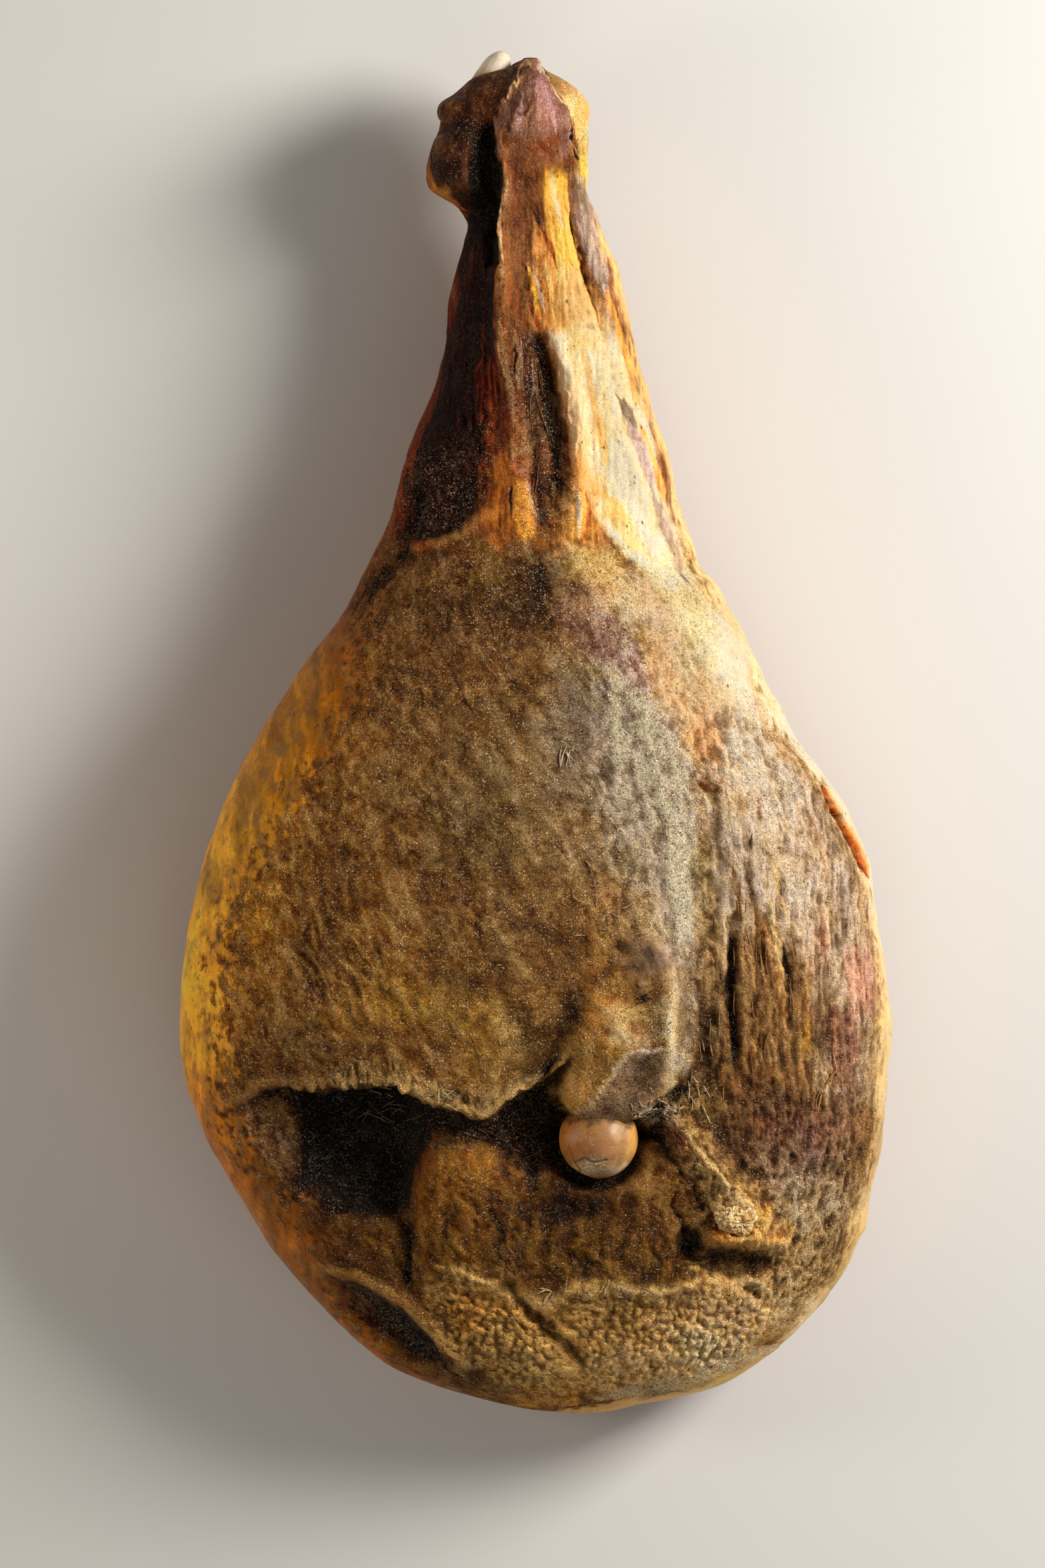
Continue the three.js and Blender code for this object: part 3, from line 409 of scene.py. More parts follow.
# line, half widths (mm), heights (mm), section: g soft, s sharp, c cord, b band
DETAIL = [
    # the flap: rolled lip, second lip, lumps along it
    ([(406, 1615), (445, 1611), (492, 1611), (542, 1602), (588, 1605), (620, 1620), (652, 1635), (690, 1648), (722, 1658), (750, 1637), (777, 1618), (806, 1603)], [2.2, 2.4, 2.6, 2.6, 2.4, 2.2, 2.4, 2.4, 2.2, 2.2, 2.0, 1.8], [0.3, 0.4, 0.6, 0.7, 0.7, 0.6, 0.6, 0.7, 0.7, 0.6, 0.5, 0.3], "g"),
    ([(664, 1620), (690, 1634), (716, 1648)], [0.9, 1.1, 0.8], [-1.4, -1.8, -1.0], "s"),
    ([(590, 1596), (640, 1618), (690, 1640)], [1.2, 1.4, 1.0], [0.5, 0.8, 0.5], "g"),
    # crease between the face and the knob
    ([(792, 1618), (815, 1598), (838, 1572), (850, 1552)], [1.2, 1.6, 1.4, 1.0], [-2.5, -4.0, -3.0, -1.0], "s"),
    ([(943, 1498), (955, 1486), (972, 1492)], [1.1, 1.2, 0.8], [-1.4, -1.8, -1.0], "s"),
    ([(948, 1478), (960, 1470), (966, 1482)], [0.8, 1.0, 0.7], [1.2, 1.8, 0.9], "c"),
    ([(882, 1503), (895, 1520), (905, 1552)], [1.5, 1.6, 1.2], [-0.5, -0.9, -0.4], "g"),
    # right of the knob
    ([(1030, 1470), (1040, 1510), (1062, 1552), (1076, 1580)], [1.0] * 4, [0.6, 0.9, 1.0, 0.5], "g"),
    ([(1005, 1645), (1015, 1632), (1030, 1622)], [1.5, 1.8, 1.2], [-2.5, -3.5, -1.2], "g"),
    # shreds beside the ball
    ([(1010, 1680), (1020, 1710), (1024, 1740)], [1.0, 1.3, 0.7], [1.6, 2.0, 0.8], "c"),
    ([(953, 1668), (975, 1676), (1000, 1672)], [1.8, 2.2, 1.6], [1.5, 2.0, 1.2], "g"),
    ([(960, 1690), (975, 1700), (984, 1694)], [1.6, 2.0, 1.4], [-4.0, -5.5, -3.0], "g"),
    # ligament and the ground round it
    ([(994, 1662), (1020, 1702), (1056, 1750), (1090, 1796), (1114, 1834)], [4.6, 7.0, 9.0, 10.5, 10.5], [1.4, 2.2, 2.6, 2.8, 2.4], "g"),
    ([(996, 1664), (1028, 1706), (1066, 1758), (1100, 1800)], [0.8, 1.0, 1.2, 1.2], [0.8, 1.2, 1.3, 0.8], "c"),
    ([(984, 1690), (1002, 1724), (1030, 1766), (1060, 1806), (1080, 1840)], [1.4, 1.8, 2.0, 2.0, 1.6], [-0.8, -1.2, -1.4, -1.4, -0.8], "s"),
    ([(1000, 1786), (1014, 1816), (1034, 1848), (1053, 1880)], [1.2, 1.6, 1.8, 1.4], [-2.0, -4.0, -5.0, -3.0], "s"),
    ([(1056, 1872), (1090, 1880), (1130, 1884), (1168, 1880)], [1.6, 2.0, 2.0, 1.4], [-0.8, -1.4, -1.2, -0.6], "s"),
    ([(1020, 1715), (1052, 1752), (1088, 1790)], [0.7] * 3, [-0.9, -1.1, -0.7], "s"),
    ([(1035, 1712), (1068, 1748), (1100, 1782)], [1.0] * 3, [-1.6, -1.8, -1.2], "s"),
    ([(1064, 1850), (1090, 1852), (1124, 1854), (1160, 1860), (1184, 1860)], [2.6, 3.2, 3.4, 3.0, 2.0], [0.8, 1.4, 1.6, 1.2, 0.6], "g"),
    ([(1060, 1866), (1090, 1872), (1130, 1876), (1170, 1872)], [2.0, 2.4, 2.2, 1.4], [-0.8, -1.2, -1.0, -0.5], "g"),
    # folds at the pit and the small lower flap
    ([(1010, 1800), (1026, 1838), (1034, 1872)], [0.9, 1.2, 1.0], [1.0, 1.6, 1.2], "g"),
    ([(990, 1800), (1005, 1845), (1015, 1880)], [0.8, 1.0, 0.8], [0.5, 0.8, 0.5], "g"),
    ([(1018, 1892), (1036, 1896), (1054, 1893), (1068, 1883)], [1.2, 1.5, 1.5, 1.0], [1.6, 2.2, 2.2, 1.2], "g"),
    ([(1000, 1930), (1030, 1926), (1050, 1908), (1056, 1898)], [1.0, 1.3, 1.3, 0.8], [0.9, 1.2, 1.2, 0.6], "g"),
    ([(1119, 1916), (1136, 1918), (1150, 1930), (1157, 1946)], [1.1, 1.4, 1.3, 0.9], [1.2, 1.8, 1.6, 0.8], "g"),
    ([(1112, 1926), (1130, 1934), (1144, 1948)], [1.0, 1.4, 1.0], [-1.4, -2.0, -1.0], "g"),
    # border of the lard: a ragged raised lip
    ([(652, 1893), (676, 1900), (700, 1903), (724, 1916), (752, 1924), (768, 1939)], [1.1] * 6, [0.6, 0.9, 0.8, 1.0, 0.9, 0.6], "g"),
    ([(820, 1950), (838, 1938), (852, 1928), (866, 1924)], [1.1] * 4, [0.8, 1.0, 1.1, 0.8], "g"),
    ([(905, 1916), (918, 1922), (937, 1929), (962, 1936), (985, 1936), (1002, 1928)], [1.1] * 6, [1.0, 0.8, 1.0, 1.1, 1.0, 0.8], "g"),
    ([(800, 1962), (815, 1972), (838, 1996), (862, 2022), (884, 2046)], [1.0, 1.2, 1.3, 1.2, 1.0], [-1.6, -2.4, -2.6, -2.2, -1.2], "s"),
    ([(884, 2010), (886, 2030), (882, 2048)], [1.0, 1.3, 0.8], [1.2, 1.8, 1.0], "g"),
    ([(890, 2044), (912, 2058), (938, 2074)], [0.9, 1.0, 0.8], [0.8, 1.2, 0.6], "g"),
    ([(650, 2030), (690, 2066), (730, 2086)], [1.0, 1.2, 0.8], [-1.2, -1.6, -0.8], "s"),
    # left: hollow's ring and the crease below it
    ([(438, 1640), (424, 1690), (432, 1740), (462, 1790), (506, 1812)], [3.0] * 5, [0.6, 1.2, 1.4, 1.2, 0.5], "g"),
    ([(607, 1800), (612, 1850), (610, 1900), (618, 1926)], [1.2, 1.6, 1.6, 1.0], [-1.2, -2.2, -2.4, -1.0], "s"),
    ([(500, 1868), (540, 1886), (586, 1900)], [1.4] * 3, [0.5, 0.7, 0.5], "g"),
    # face: cracks and creases
    ([(679, 995), (690, 1030), (704, 1062), (712, 1084)], [0.5] * 4, [-0.5, -0.8, -0.8, -0.3], "s"),
    ([(684, 992), (697, 1028), (711, 1060)], [0.5] * 3, [0.3, 0.5, 0.3], "g"),
    ([(886, 1018), (906, 1046), (922, 1070)], [0.6] * 3, [-0.4, -0.7, -0.3], "s"),
    ([(893, 1016), (913, 1044), (930, 1070)], [0.6] * 3, [0.4, 0.6, 0.3], "g"),
    ([(640, 1120), (668, 1150), (700, 1170)], [0.8] * 3, [0.3, 0.5, 0.3], "g"),
    ([(520, 1440), (560, 1470), (610, 1486)], [1.5] * 3, [0.4, 0.7, 0.4], "g"),
    ([(560, 1400), (580, 1440), (575, 1480)], [1.0] * 3, [-0.3, -0.6, -0.3], "g"),
    ([(455, 1560), (520, 1548), (590, 1560)], [1.8] * 3, [0.4, 0.8, 0.4], "g"),
    ([(760, 1500), (800, 1540), (830, 1560)], [1.6] * 3, [-0.4, -0.8, -0.5], "g"),
    # fold between shank and face
    ([(626, 828), (646, 822), (664, 815), (690, 806), (708, 796), (730, 772)], [1.0, 1.2, 1.3, 1.2, 1.2, 0.9], [0.5, 0.9, 1.0, 0.9, 0.9, 0.4], "g"),
    ([(632, 815), (660, 806), (690, 794), (712, 776)], [1.0] * 4, [-0.6, -1.0, -1.0, -0.5], "g"),
    # amber wedge with its slit, swirl and folds at the foot of the shank
    ([(768, 724), (767, 752), (769, 782)], [0.6, 0.8, 0.5], [-1.2, -1.8, -0.8], "s"),
    ([(783, 728), (789, 764), (797, 802)], [1.4, 2.2, 2.0], [0.6, 1.2, 0.8], "g"),
    ([(851, 728), (862, 745), (868, 772), (860, 800)], [1.0, 1.2, 1.2, 0.8], [0.9, 1.2, 1.0, 0.4], "g"),
    ([(876, 735), (880, 765), (876, 800)], [0.9, 1.1, 0.9], [-0.9, -1.2, -0.6], "s"),
    ([(806, 800), (832, 815), (860, 822)], [1.3] * 3, [0.7, 1.0, 0.6], "g"),
    # pit of the shank: sharp right edge, sliver of tendon, strands on its floor
    ([(823, 515), (836, 548), (844, 585), (855, 650), (861, 700)], [0.9] * 5, [0.9, 1.4, 1.6, 1.4, 0.6], "g"),
    ([(816, 520), (829, 560), (838, 610), (847, 670), (850, 720)], [1.0, 1.2, 1.3, 1.2, 1.0], [-1.0, -2.0, -2.2, -1.8, -0.8], "s"),
    ([(774, 512), (778, 540), (779, 583)], [0.7, 0.9, 0.5], [1.2, 1.6, 0.8], "c"),
    ([(800, 560), (802, 600), (800, 640)], [0.5] * 3, [0.5, 0.9, 0.4], "c"),
    ([(812, 600), (816, 640), (812, 690)], [0.6] * 3, [0.4, 0.8, 0.3], "c"),
    ([(788, 590), (792, 640), (790, 690)], [0.7] * 3, [-0.6, -1.0, -0.5], "s"),
    # column of the shank: lit left edge, flutes
    ([(749, 238), (756, 262), (758, 300), (758, 345), (759, 390)], [0.7] * 5, [0.8, 1.4, 1.5, 1.4, 0.6], "g"),
    ([(742, 240), (748, 280), (749, 330), (748, 392)], [0.9] * 4, [-1.0, -2.0, -2.0, -0.8], "s"),
    ([(752, 405), (746, 440), (746, 480), (752, 520), (757, 548)], [1.2, 1.5, 1.6, 1.4, 1.0], [0.6, 1.0, 1.1, 1.0, 0.5], "g"),
    ([(805, 300), (806, 340), (812, 370)], [0.7, 0.9, 0.6], [-1.0, -1.4, -0.6], "s"),
    ([(812, 365), (828, 385), (835, 405)], [0.6] * 3, [-0.6, -0.9, -0.4], "s"),
    ([(790, 402), (800, 440), (812, 480)], [0.9, 1.2, 0.8], [0.6, 1.0, 0.4], "g"),
    ([(808, 400), (815, 440), (826, 470)], [0.7] * 3, [-0.5, -0.8, -0.4], "s"),
    ([(775, 420), (780, 460), (792, 492)], [0.6] * 3, [-0.5, -0.8, -0.4], "s"),
    ([(859, 300), (866, 340), (872, 370), (880, 402), (890, 440), (898, 480)], [0.8, 0.9, 1.0, 1.0, 0.9, 0.6], [-1.0, -1.6, -2.0, -2.0, -1.6, -0.6], "s"),
    ([(846, 262), (852, 300), (860, 340)], [0.6] * 3, [0.4, 0.7, 0.3], "g"),
    ([(919, 590), (936, 628), (951, 667), (966, 700), (978, 735)], [0.8] * 5, [-0.5, -0.8, -0.9, -0.8, -0.4], "s"),
    ([(880, 470), (896, 520), (908, 570)], [0.8] * 3, [-0.4, -0.6, -0.3], "g"),
    ([(870, 480), (882, 540), (900, 600)], [1.5] * 3, [0.3, 0.5, 0.3], "g"),
    ([(905, 610), (930, 680), (950, 740)], [2.2] * 3, [0.5, 0.7, 0.4], "g"),
    # left lean of the shank: long folds
    ([(668, 470), (655, 540), (640, 600)], [0.9] * 3, [0.6, 0.9, 0.4], "g"),
    ([(690, 420), (684, 500), (672, 580)], [1.0] * 3, [-0.6, -0.9, -0.4], "s"),
    ([(716, 470), (716, 540), (708, 610)], [0.9] * 3, [0.5, 0.8, 0.4], "g"),
    ([(734, 540), (738, 600), (730, 660)], [1.1] * 3, [0.6, 1.0, 0.5], "g"),
    ([(726, 560), (724, 620), (716, 680)], [0.9] * 3, [-0.8, -1.2, -0.5], "s"),
    # hock: ridge lines of the plate, crease, cracks, knuckles
    ([(796, 90), (784, 108), (770, 134), (755, 160)], [0.5] * 4, [0.5, 0.7, 0.7, 0.3], "g"),
    ([(797, 91), (811, 116), (824, 139), (836, 165)], [0.5] * 4, [0.5, 0.7, 0.8, 0.4], "g"),
    ([(836, 166), (843, 186), (850, 207), (861, 231), (865, 248)], [0.9, 1.2, 1.3, 1.2, 0.8], [-1.2, -2.6, -3.0, -2.4, -1.0], "s"),
    ([(804, 96), (818, 122), (832, 150)], [0.6] * 3, [-0.7, -1.0, -0.8], "s"),
    ([(803, 151), (784, 174), (765, 192)], [0.5] * 3, [-0.4, -0.7, -0.4], "s"),
    ([(806, 153), (788, 176), (768, 195)], [0.6] * 3, [0.3, 0.5, 0.3], "g"),
    ([(748, 196), (740, 214), (742, 232)], [0.9] * 3, [0.5, 0.8, 0.4], "g"),
    ([(752, 205), (750, 220), (756, 236)], [0.9] * 3, [0.8, 1.2, 0.6], "g"),
    ([(690, 155), (676, 166), (670, 186)], [0.6] * 3, [-0.6, -1.0, -0.5], "s"),
    ([(856, 132), (862, 142), (870, 152)], [0.7] * 3, [-0.4, -0.6, -0.3], "g"),
    ([(690, 195), (684, 220), (690, 245)], [1.2] * 3, [0.5, 0.8, 0.4], "g"),
    # left rind: slit beside the band
    ([(634, 738), (627, 762), (622, 790), (610, 820)], [0.8, 1.0, 1.0, 0.6], [-1.4, -2.2, -2.0, -0.8], "s"),
    ([(590, 830), (560, 880), (520, 950)], [0.8, 0.9, 0.7], [-0.6, -0.9, -0.4], "s"),
    # right rim: cut in the fat, and its two lips
    ([(1229, 1172), (1241, 1203), (1254, 1222), (1270, 1246), (1284, 1270), (1294, 1292), (1304, 1316)], [1.0, 1.5, 1.6, 1.6, 1.6, 1.5, 0.8], [-1.5, -3.0, -3.4, -3.4, -3.2, -2.6, -0.8], "b"),
    ([(1222, 1180), (1234, 1210), (1258, 1246), (1282, 1296), (1298, 1322)], [0.8, 1.0, 1.0, 0.9, 0.6], [0.4, 0.8, 0.8, 0.7, 0.3], "g"),
    # right fibres: main grooves and cords
    ([(1088, 1376), (1093, 1420), (1094, 1480), (1098, 1540), (1100, 1602)], [0.9, 1.2, 1.4, 1.2, 0.8], [-1.4, -2.8, -3.2, -2.8, -1.0], "s"),
    ([(1100, 1400), (1104, 1450), (1106, 1520), (1112, 1590)], [0.9] * 4, [0.8, 1.2, 1.0, 0.6], "c"),
    ([(1112, 1400), (1118, 1450), (1124, 1500)], [0.8] * 3, [0.8, 1.1, 0.6], "c"),
    ([(1163, 1405), (1168, 1440), (1174, 1470), (1178, 1496)], [0.9, 1.2, 1.2, 0.7], [-1.2, -2.4, -2.4, -0.9], "s"),
    ([(1138, 1330), (1152, 1390), (1164, 1440), (1182, 1490)], [0.9, 1.1, 1.1, 0.8], [0.7, 1.2, 1.3, 0.6], "c"),
    ([(1090, 1290), (1100, 1350), (1104, 1392)], [0.8] * 3, [-0.8, -1.4, -1.0], "s"),
    ([(1106, 1285), (1120, 1350), (1136, 1420), (1148, 1470)], [0.8] * 4, [-0.6, -1.2, -1.4, -0.6], "s"),
    ([(1122, 1290), (1134, 1340), (1150, 1380)], [0.8] * 3, [0.6, 1.0, 0.6], "c"),
    ([(1185, 1270), (1192, 1330), (1200, 1400), (1206, 1460)], [0.9] * 4, [0.4, 0.8, 0.8, 0.4], "c"),
    ([(1222, 1370), (1230, 1400), (1228, 1436)], [0.8] * 3, [0.6, 1.0, 0.5], "c"),
    ([(1216, 1372), (1222, 1410), (1220, 1440)], [0.7] * 3, [-0.6, -1.0, -0.5], "s"),
    ([(1138, 1146), (1154, 1160), (1166, 1178), (1168, 1194)], [0.5, 0.6, 0.6, 0.4], [0.8, 1.1, 1.1, 0.5], "c"),
    ([(1108, 1206), (1122, 1222), (1128, 1244)], [0.5] * 3, [0.5, 0.8, 0.4], "c"),
    ([(1214, 1276), (1222, 1310), (1232, 1345)], [0.5] * 3, [-0.4, -0.7, -0.3], "s"),
    ([(1036, 1160), (1050, 1182), (1080, 1192)], [1.0] * 3, [-0.6, -1.0, -0.5], "g"),
    ([(1020, 1250), (1030, 1320), (1032, 1400)], [1.1] * 3, [0.4, 0.7, 0.4], "g"),
    ([(1048, 1260), (1056, 1330), (1062, 1400), (1070, 1470)], [0.9] * 4, [0.5, 0.9, 0.9, 0.4], "c"),
    ([(1064, 1400), (1074, 1450), (1078, 1500)], [0.7] * 3, [0.5, 0.9, 0.5], "c"),
    ([(1240, 1590), (1236, 1620), (1228, 1655)], [0.8] * 3, [0.8, 1.2, 0.6], "c"),
    ([(1250, 1600), (1250, 1630), (1240, 1660)], [0.8] * 3, [0.6, 1.0, 0.5], "c"),
    ([(1150, 1590), (1160, 1630), (1158, 1650)], [0.8] * 3, [0.5, 0.8, 0.3], "c"),
]
# closed outlines with a soft border (grid): raised or sunk by so many mm
PANELS = [
    ([(796, 92), (776, 128), (755, 164), (738, 196), (746, 232), (770, 262), (800, 270), (836, 256), (856, 236), (848, 209), (841, 184), (834, 165), (822, 139), (810, 116)], 12.0, 1.1),
    ([(738, 186), (742, 206), (750, 238), (756, 268), (756, 330), (752, 400), (716, 400), (708, 330), (704, 262), (714, 206)], 6.0, -3.6),
    ([(796, 505), (822, 512), (838, 566), (852, 640), (860, 720), (850, 780), (812, 780), (798, 700), (792, 600)], 9.0, -1.2),
    ([(487, 1904), (540, 1922), (600, 1956), (650, 2006), (668, 2040), (630, 2040), (560, 2004), (505, 1956)], 9.0, -2.0),
]
# knob over the ball: outline, and the corners of its facets with their heights (mm)
KNOB = [(814, 1610), (838, 1572), (856, 1540), (872, 1508), (900, 1484), (940, 1462), (985, 1470), (1006, 1500), (1016, 1560), (1004, 1600), (990, 1640), (966, 1658), (940, 1677), (905, 1674), (863, 1660), (836, 1638)]
KNOB_POINTS = [
    (816, 1611, 0.8), (868, 1549, 4.6), (907, 1618, 6.0), (861, 1662, 2.4), (937, 1572, 7.4), (888, 1495, 2.6), (918, 1522, 6.0), (960, 1500, 4.2),
    (989, 1568, 7.2), (983, 1640, 2.6), (941, 1677, 1.8), (1004, 1480, 3.2), (1021, 1579, 4.4), (998, 1633, 0.8),
    (848, 1520, 0), (868, 1470, 0), (930, 1448, 0), (1010, 1446, 0), (1046, 1500, 0), (1050, 1590, 0),
]
KNOB_FACETS = [
    (0, 1, 2), (0, 2, 3), (1, 4, 2), (1, 6, 4), (1, 5, 6), (6, 7, 4), (7, 8, 4), (4, 8, 9), (4, 9, 2), (2, 9, 10), (2, 10, 3), (8, 7, 11), (8, 11, 12), (8, 12, 9), (12, 13, 9),
    (0, 14, 1), (14, 5, 1), (14, 15, 5), (15, 16, 5), (5, 16, 6), (6, 16, 7), (16, 17, 11), (16, 11, 7), (17, 18, 11), (11, 18, 12), (18, 19, 12), (19, 13, 12),
]
BALL_CAVE = [(800, 1640), (836, 1641), (863, 1663), (905, 1677), (940, 1680), (966, 1662), (988, 1648), (1002, 1676), (988, 1704), (955, 1690), (900, 1720), (850, 1700), (812, 1704), (790, 1680)]


def knob_relief(P, px, py):
    x = px + 2.2 * fbm(P, 6.0, 3, 211)
    y = py + 2.2 * fbm(P, 6.0, 3, 213)
    lift = np.zeros(len(px))
    for tri in KNOB_FACETS:
        (x0, y0, h0), (x1, y1, h1), (x2, y2, h2) = (KNOB_POINTS[i] for i in tri)
        det = (x1 - x0) * (y2 - y0) - (x2 - x0) * (y1 - y0)
        u = ((x - x0) * (y2 - y0) - (x2 - x0) * (y - y0)) / det
        v = ((x1 - x0) * (y - y0) - (x - x0) * (y1 - y0)) / det
        m = (u >= 0) & (v >= 0) & (u + v <= 1)
        lift = np.where(m, h0 + u * (h1 - h0) + v * (h2 - h0), lift)
    under = 1 - inside(px, py, KNOB, 3.0)
    ring = (1 - sstep(1.02, 1.45, np.hypot(px - 897, py - 1705) / 58.6)) * under
    return 1.4 * lift - 9.0 * ring - 6.0 * inside(px, py, BALL_CAVE, 6.0) * under


# fibre fields: outline, soft border, direction (degrees from +Y, clockwise), spacing across (mm), height (mm)
FIBRES = [
    ([(1000, 1080), (1120, 1060), (1230, 1190), (1300, 1340), (1326, 1520), (1290, 1720), (1180, 1700), (1060, 1640), (1010, 1480), (985, 1280)], 40, 6.0, 4.2, 1.15),
    ([(1050, 1330), (1190, 1330), (1220, 1520), (1180, 1620), (1060, 1600)], 30, 4.0, 2.8, 1.5),
    ([(690, 250), (900, 250), (985, 560), (1020, 800), (880, 830), (760, 820), (640, 800), (650, 560), (690, 330)], 25, 0.0, 2.2, 0.45),
    ([(664, 330), (756, 330), (756, 640), (640, 660), (655, 520)], 14, 5.0, 2.4, 0.6),
    ([(610, 1690), (760, 1690), (880, 1800), (1000, 1800), (1030, 1900), (900, 1930), (760, 1930), (620, 1930)], 24, -4.0, 2.4, 0.5),
    ([(420, 1100), (1000, 1050), (1000, 1500), (800, 1600), (400, 1600), (330, 1400)], 60, 24.0, 6.5, 0.18),
]


def fine_relief(P, px, py):
    """Fine relief of the cut face in mm at base points P (mm) whose plan places are px, py, and the share of nodular lard."""
    n = len(px)
    q1, q2 = fbm(P, 7.0, 3, 201), fbm(P, 7.0, 3, 203)
    out = fold_relief(px + 6 * q1, py + 6 * q2, DETAIL) * np.clip(0.85 + 1.0 * fbm(P, 5.0, 2, 205), 0.1, 1.7)
    for poly, soft, h in PANELS:
        out += h * inside(px, py, poly, soft)
    out += knob_relief(P, px, py)
    X, Y = P[:, 0], P[:, 1]
    for poly, soft, turn, size, h in FIBRES:
        m = inside(px, py, poly, soft)
        k = np.nonzero(m > 0.001)[0]
        a = math.radians(turn)
        wob = 3.0 * noise3(P[k] / 30.0, 5)
        u = X[k] * math.cos(a) + Y[k] * math.sin(a) + wob
        v = -X[k] * math.sin(a) + Y[k] * math.cos(a)
        q = np.stack([u / size, v / (size * 9.0), np.full(len(k), turn * 0.37)], 1)
        f = noise3(q, 2) + 0.5 * noise3(q * [2.1, 1.9, 1], 9)
        f = np.sign(f) * np.abs(f) ** 0.8
        loose = np.clip(0.55 + 1.1 * fbm(P[k], (9.0, 22.0, 12.0), 2, 207), 0.1, 1.4)
        out[k] += h * m[k] * (f - 0.25 * np.abs(f)) * loose
    # torn ground below the ball and in the hollow
    k = np.nonzero(inside(px, py, [(600, 1760), (780, 1700), (1000, 1740), (1060, 1860), (1040, 1930), (900, 1935), (760, 1935), (620, 1930), (520, 1900)], 30) > 0.01)[0]
    m = inside(px[k], py[k], [(600, 1760), (780, 1700), (1000, 1740), (1060, 1860), (1040, 1930), (900, 1935), (760, 1935), (620, 1930), (520, 1900)], 30)
    W = P[k] + 5.0 * np.stack([fbm(P[k], 16.0, 2, 47), fbm(P[k], 16.0, 2, 48), np.zeros(len(k))], 1)
    r = 1 - 2.0 * np.abs(fbm(W, (8.0, 17.0, 9.0), 4, 43, 0.6))
    out[k] += m * (0.6 * np.clip(r, -1, 1) - 0.3 + 0.9 * fbm(W, (7.0, 26.0, 10.0), 3, 45))
    out -= 4.0 * blob(px, py, 862, 1800, 70, 30, -6, 1.2)
    out += 4.0 * inside(px, py, [(1004, 1664), (1060, 1696), (1120, 1776), (1156, 1846), (1112, 1852), (1062, 1780), (1014, 1712)], 16)
    k = np.nonzero(inside(px, py, [(430, 960), (1000, 900), (1040, 1400), (900, 1560), (600, 1600), (380, 1560), (330, 1380)], 40) > 0.01)[0]
    W = P[k] + 6.0 * np.stack([fbm(P[k], 30.0, 2, 57), fbm(P[k], 30.0, 2, 58), np.zeros(len(k))], 1)
    v = np.abs(noise3(W / [26.0, 40.0, 30.0], 59)) + 0.25 * np.abs(fbm(P[k], 8.0, 2, 60))
    out[k] -= 0.8 * np.exp(-((v / 0.045) ** 2)) * sstep(-0.1, 0.4, fbm(P[k], 40.0, 2, 61))
    # clumps of torn lean right of the thigh, above the butt and over the knob
    for poly, soft, size, h in (
        ([(1000, 1060), (1150, 1060), (1300, 1350), (1300, 1640), (1240, 1800), (1060, 1780), (1020, 1500)], 40, 11.0, 1.1),
        ([(880, 1000), (1010, 1040), (1030, 1300), (1010, 1480), (900, 1500), (860, 1250)], 40, 13.0, 0.9),
        ([(1100, 1640), (1290, 1640), (1270, 1900), (1180, 1960), (1060, 1900)], 40, 9.0, 1.3),
        ([(984, 1650), (1020, 1658), (1080, 1738), (1140, 1826), (1124, 1862), (1070, 1852), (1016, 1772), (986, 1700)], 12, 4.6, 1.5),
        ([(492, 1588), (588, 1583), (652, 1614), (722, 1640), (777, 1598), (806, 1588), (812, 1612), (777, 1632), (722, 1670), (652, 1648), (588, 1620), (492, 1624)], 10, 3.8, 1.0),
        ([(860, 1664), (940, 1680), (1004, 1640), (1040, 1600), (1050, 1660), (1000, 1700), (960, 1690), (880, 1680)], 10, 3.4, 1.2),
        ([(330, 1620), (440, 1620), (440, 1780), (360, 1740)], 24, 8.0, 0.8),
    ):
        m = inside(px, py, poly, soft)
        k = np.nonzero(m > 0.01)[0]
        r = 1 - 2.0 * np.abs(fbm(P[k], (size, size * 1.7, size), 4, 49, 0.6))
        out[k] += m[k] * h * (np.clip(r, -1, 1) - 0.5)
    # cobbled lard over the butt
    lard = inside(px, py, [(640, 1905), (700, 1912), (770, 1945), (820, 1956), (866, 1932), (905, 1922), (950, 1938), (1000, 1936), (1060, 1912), (1130, 1925), (1170, 1960), (1130, 2010), (1050, 2060), (960, 2078), (860, 2084), (760, 2076), (690, 2040), (650, 1990)], 18)
    k = np.nonzero(lard > 0.01)[0]
    Q = P[k].copy()
    Q[:, 0] += 1.2 * noise3(P[k] / 6.0, 3)
    Q[:, 1] += 1.2 * noise3(P[k] / 6.0, 4)
    big = blob(px[k], py[k], 1062, 2020, 46, 34, 0, 1) + blob(px[k], py[k], 760, 2005, 70, 30, 20, 1) + 0.6 * blob(px[k], py[k], 1010, 1985, 60, 30, 0, 1)
    f1, f2, rnd = cells(Q, 3.3, 1)
    dome = np.sqrt(np.clip(1 - (f1 / 1.9) ** 2, 0, 1)) * (0.55 + 0.6 * rnd)
    g1, g2, rn2 = cells(Q + 40, 1.9, 2)
    small = np.sqrt(np.clip(1 - (g1 / 1.15) ** 2, 0, 1)) * (0.5 + 0.7 * rn2)
    out[k] += lard[k] * (0.9 * small + (0.9 + 1.3 * np.clip(big, 0, 1)) * dome - 0.8)
    out[k] += lard[k] * 0.7 * fbm(P[k], 9.0, 2, 41)
    return out, lard


def station_list(rows):
    top, bottom = OUTLINE[0][0], OUTLINE[-1][0]
    t = np.linspace(0, 1, rows + 1)
    ease = 0.9 * t + 0.1 * (0.5 - 0.5 * np.cos(np.pi * t))
    end = 0.03
    k = np.where(
        ease < end,
        ease * ease / (2 * end),
        np.where(ease > 1 - end, 1 - end - (1 - ease) ** 2 / (2 * end), ease - end / 2),
    )
    return top + (bottom - top) * k / (1 - end)


# ---------------------------------------------------------------- the ham's surface

ROWS, FACE_COLS, RIND_COLS = 680, 400, 96


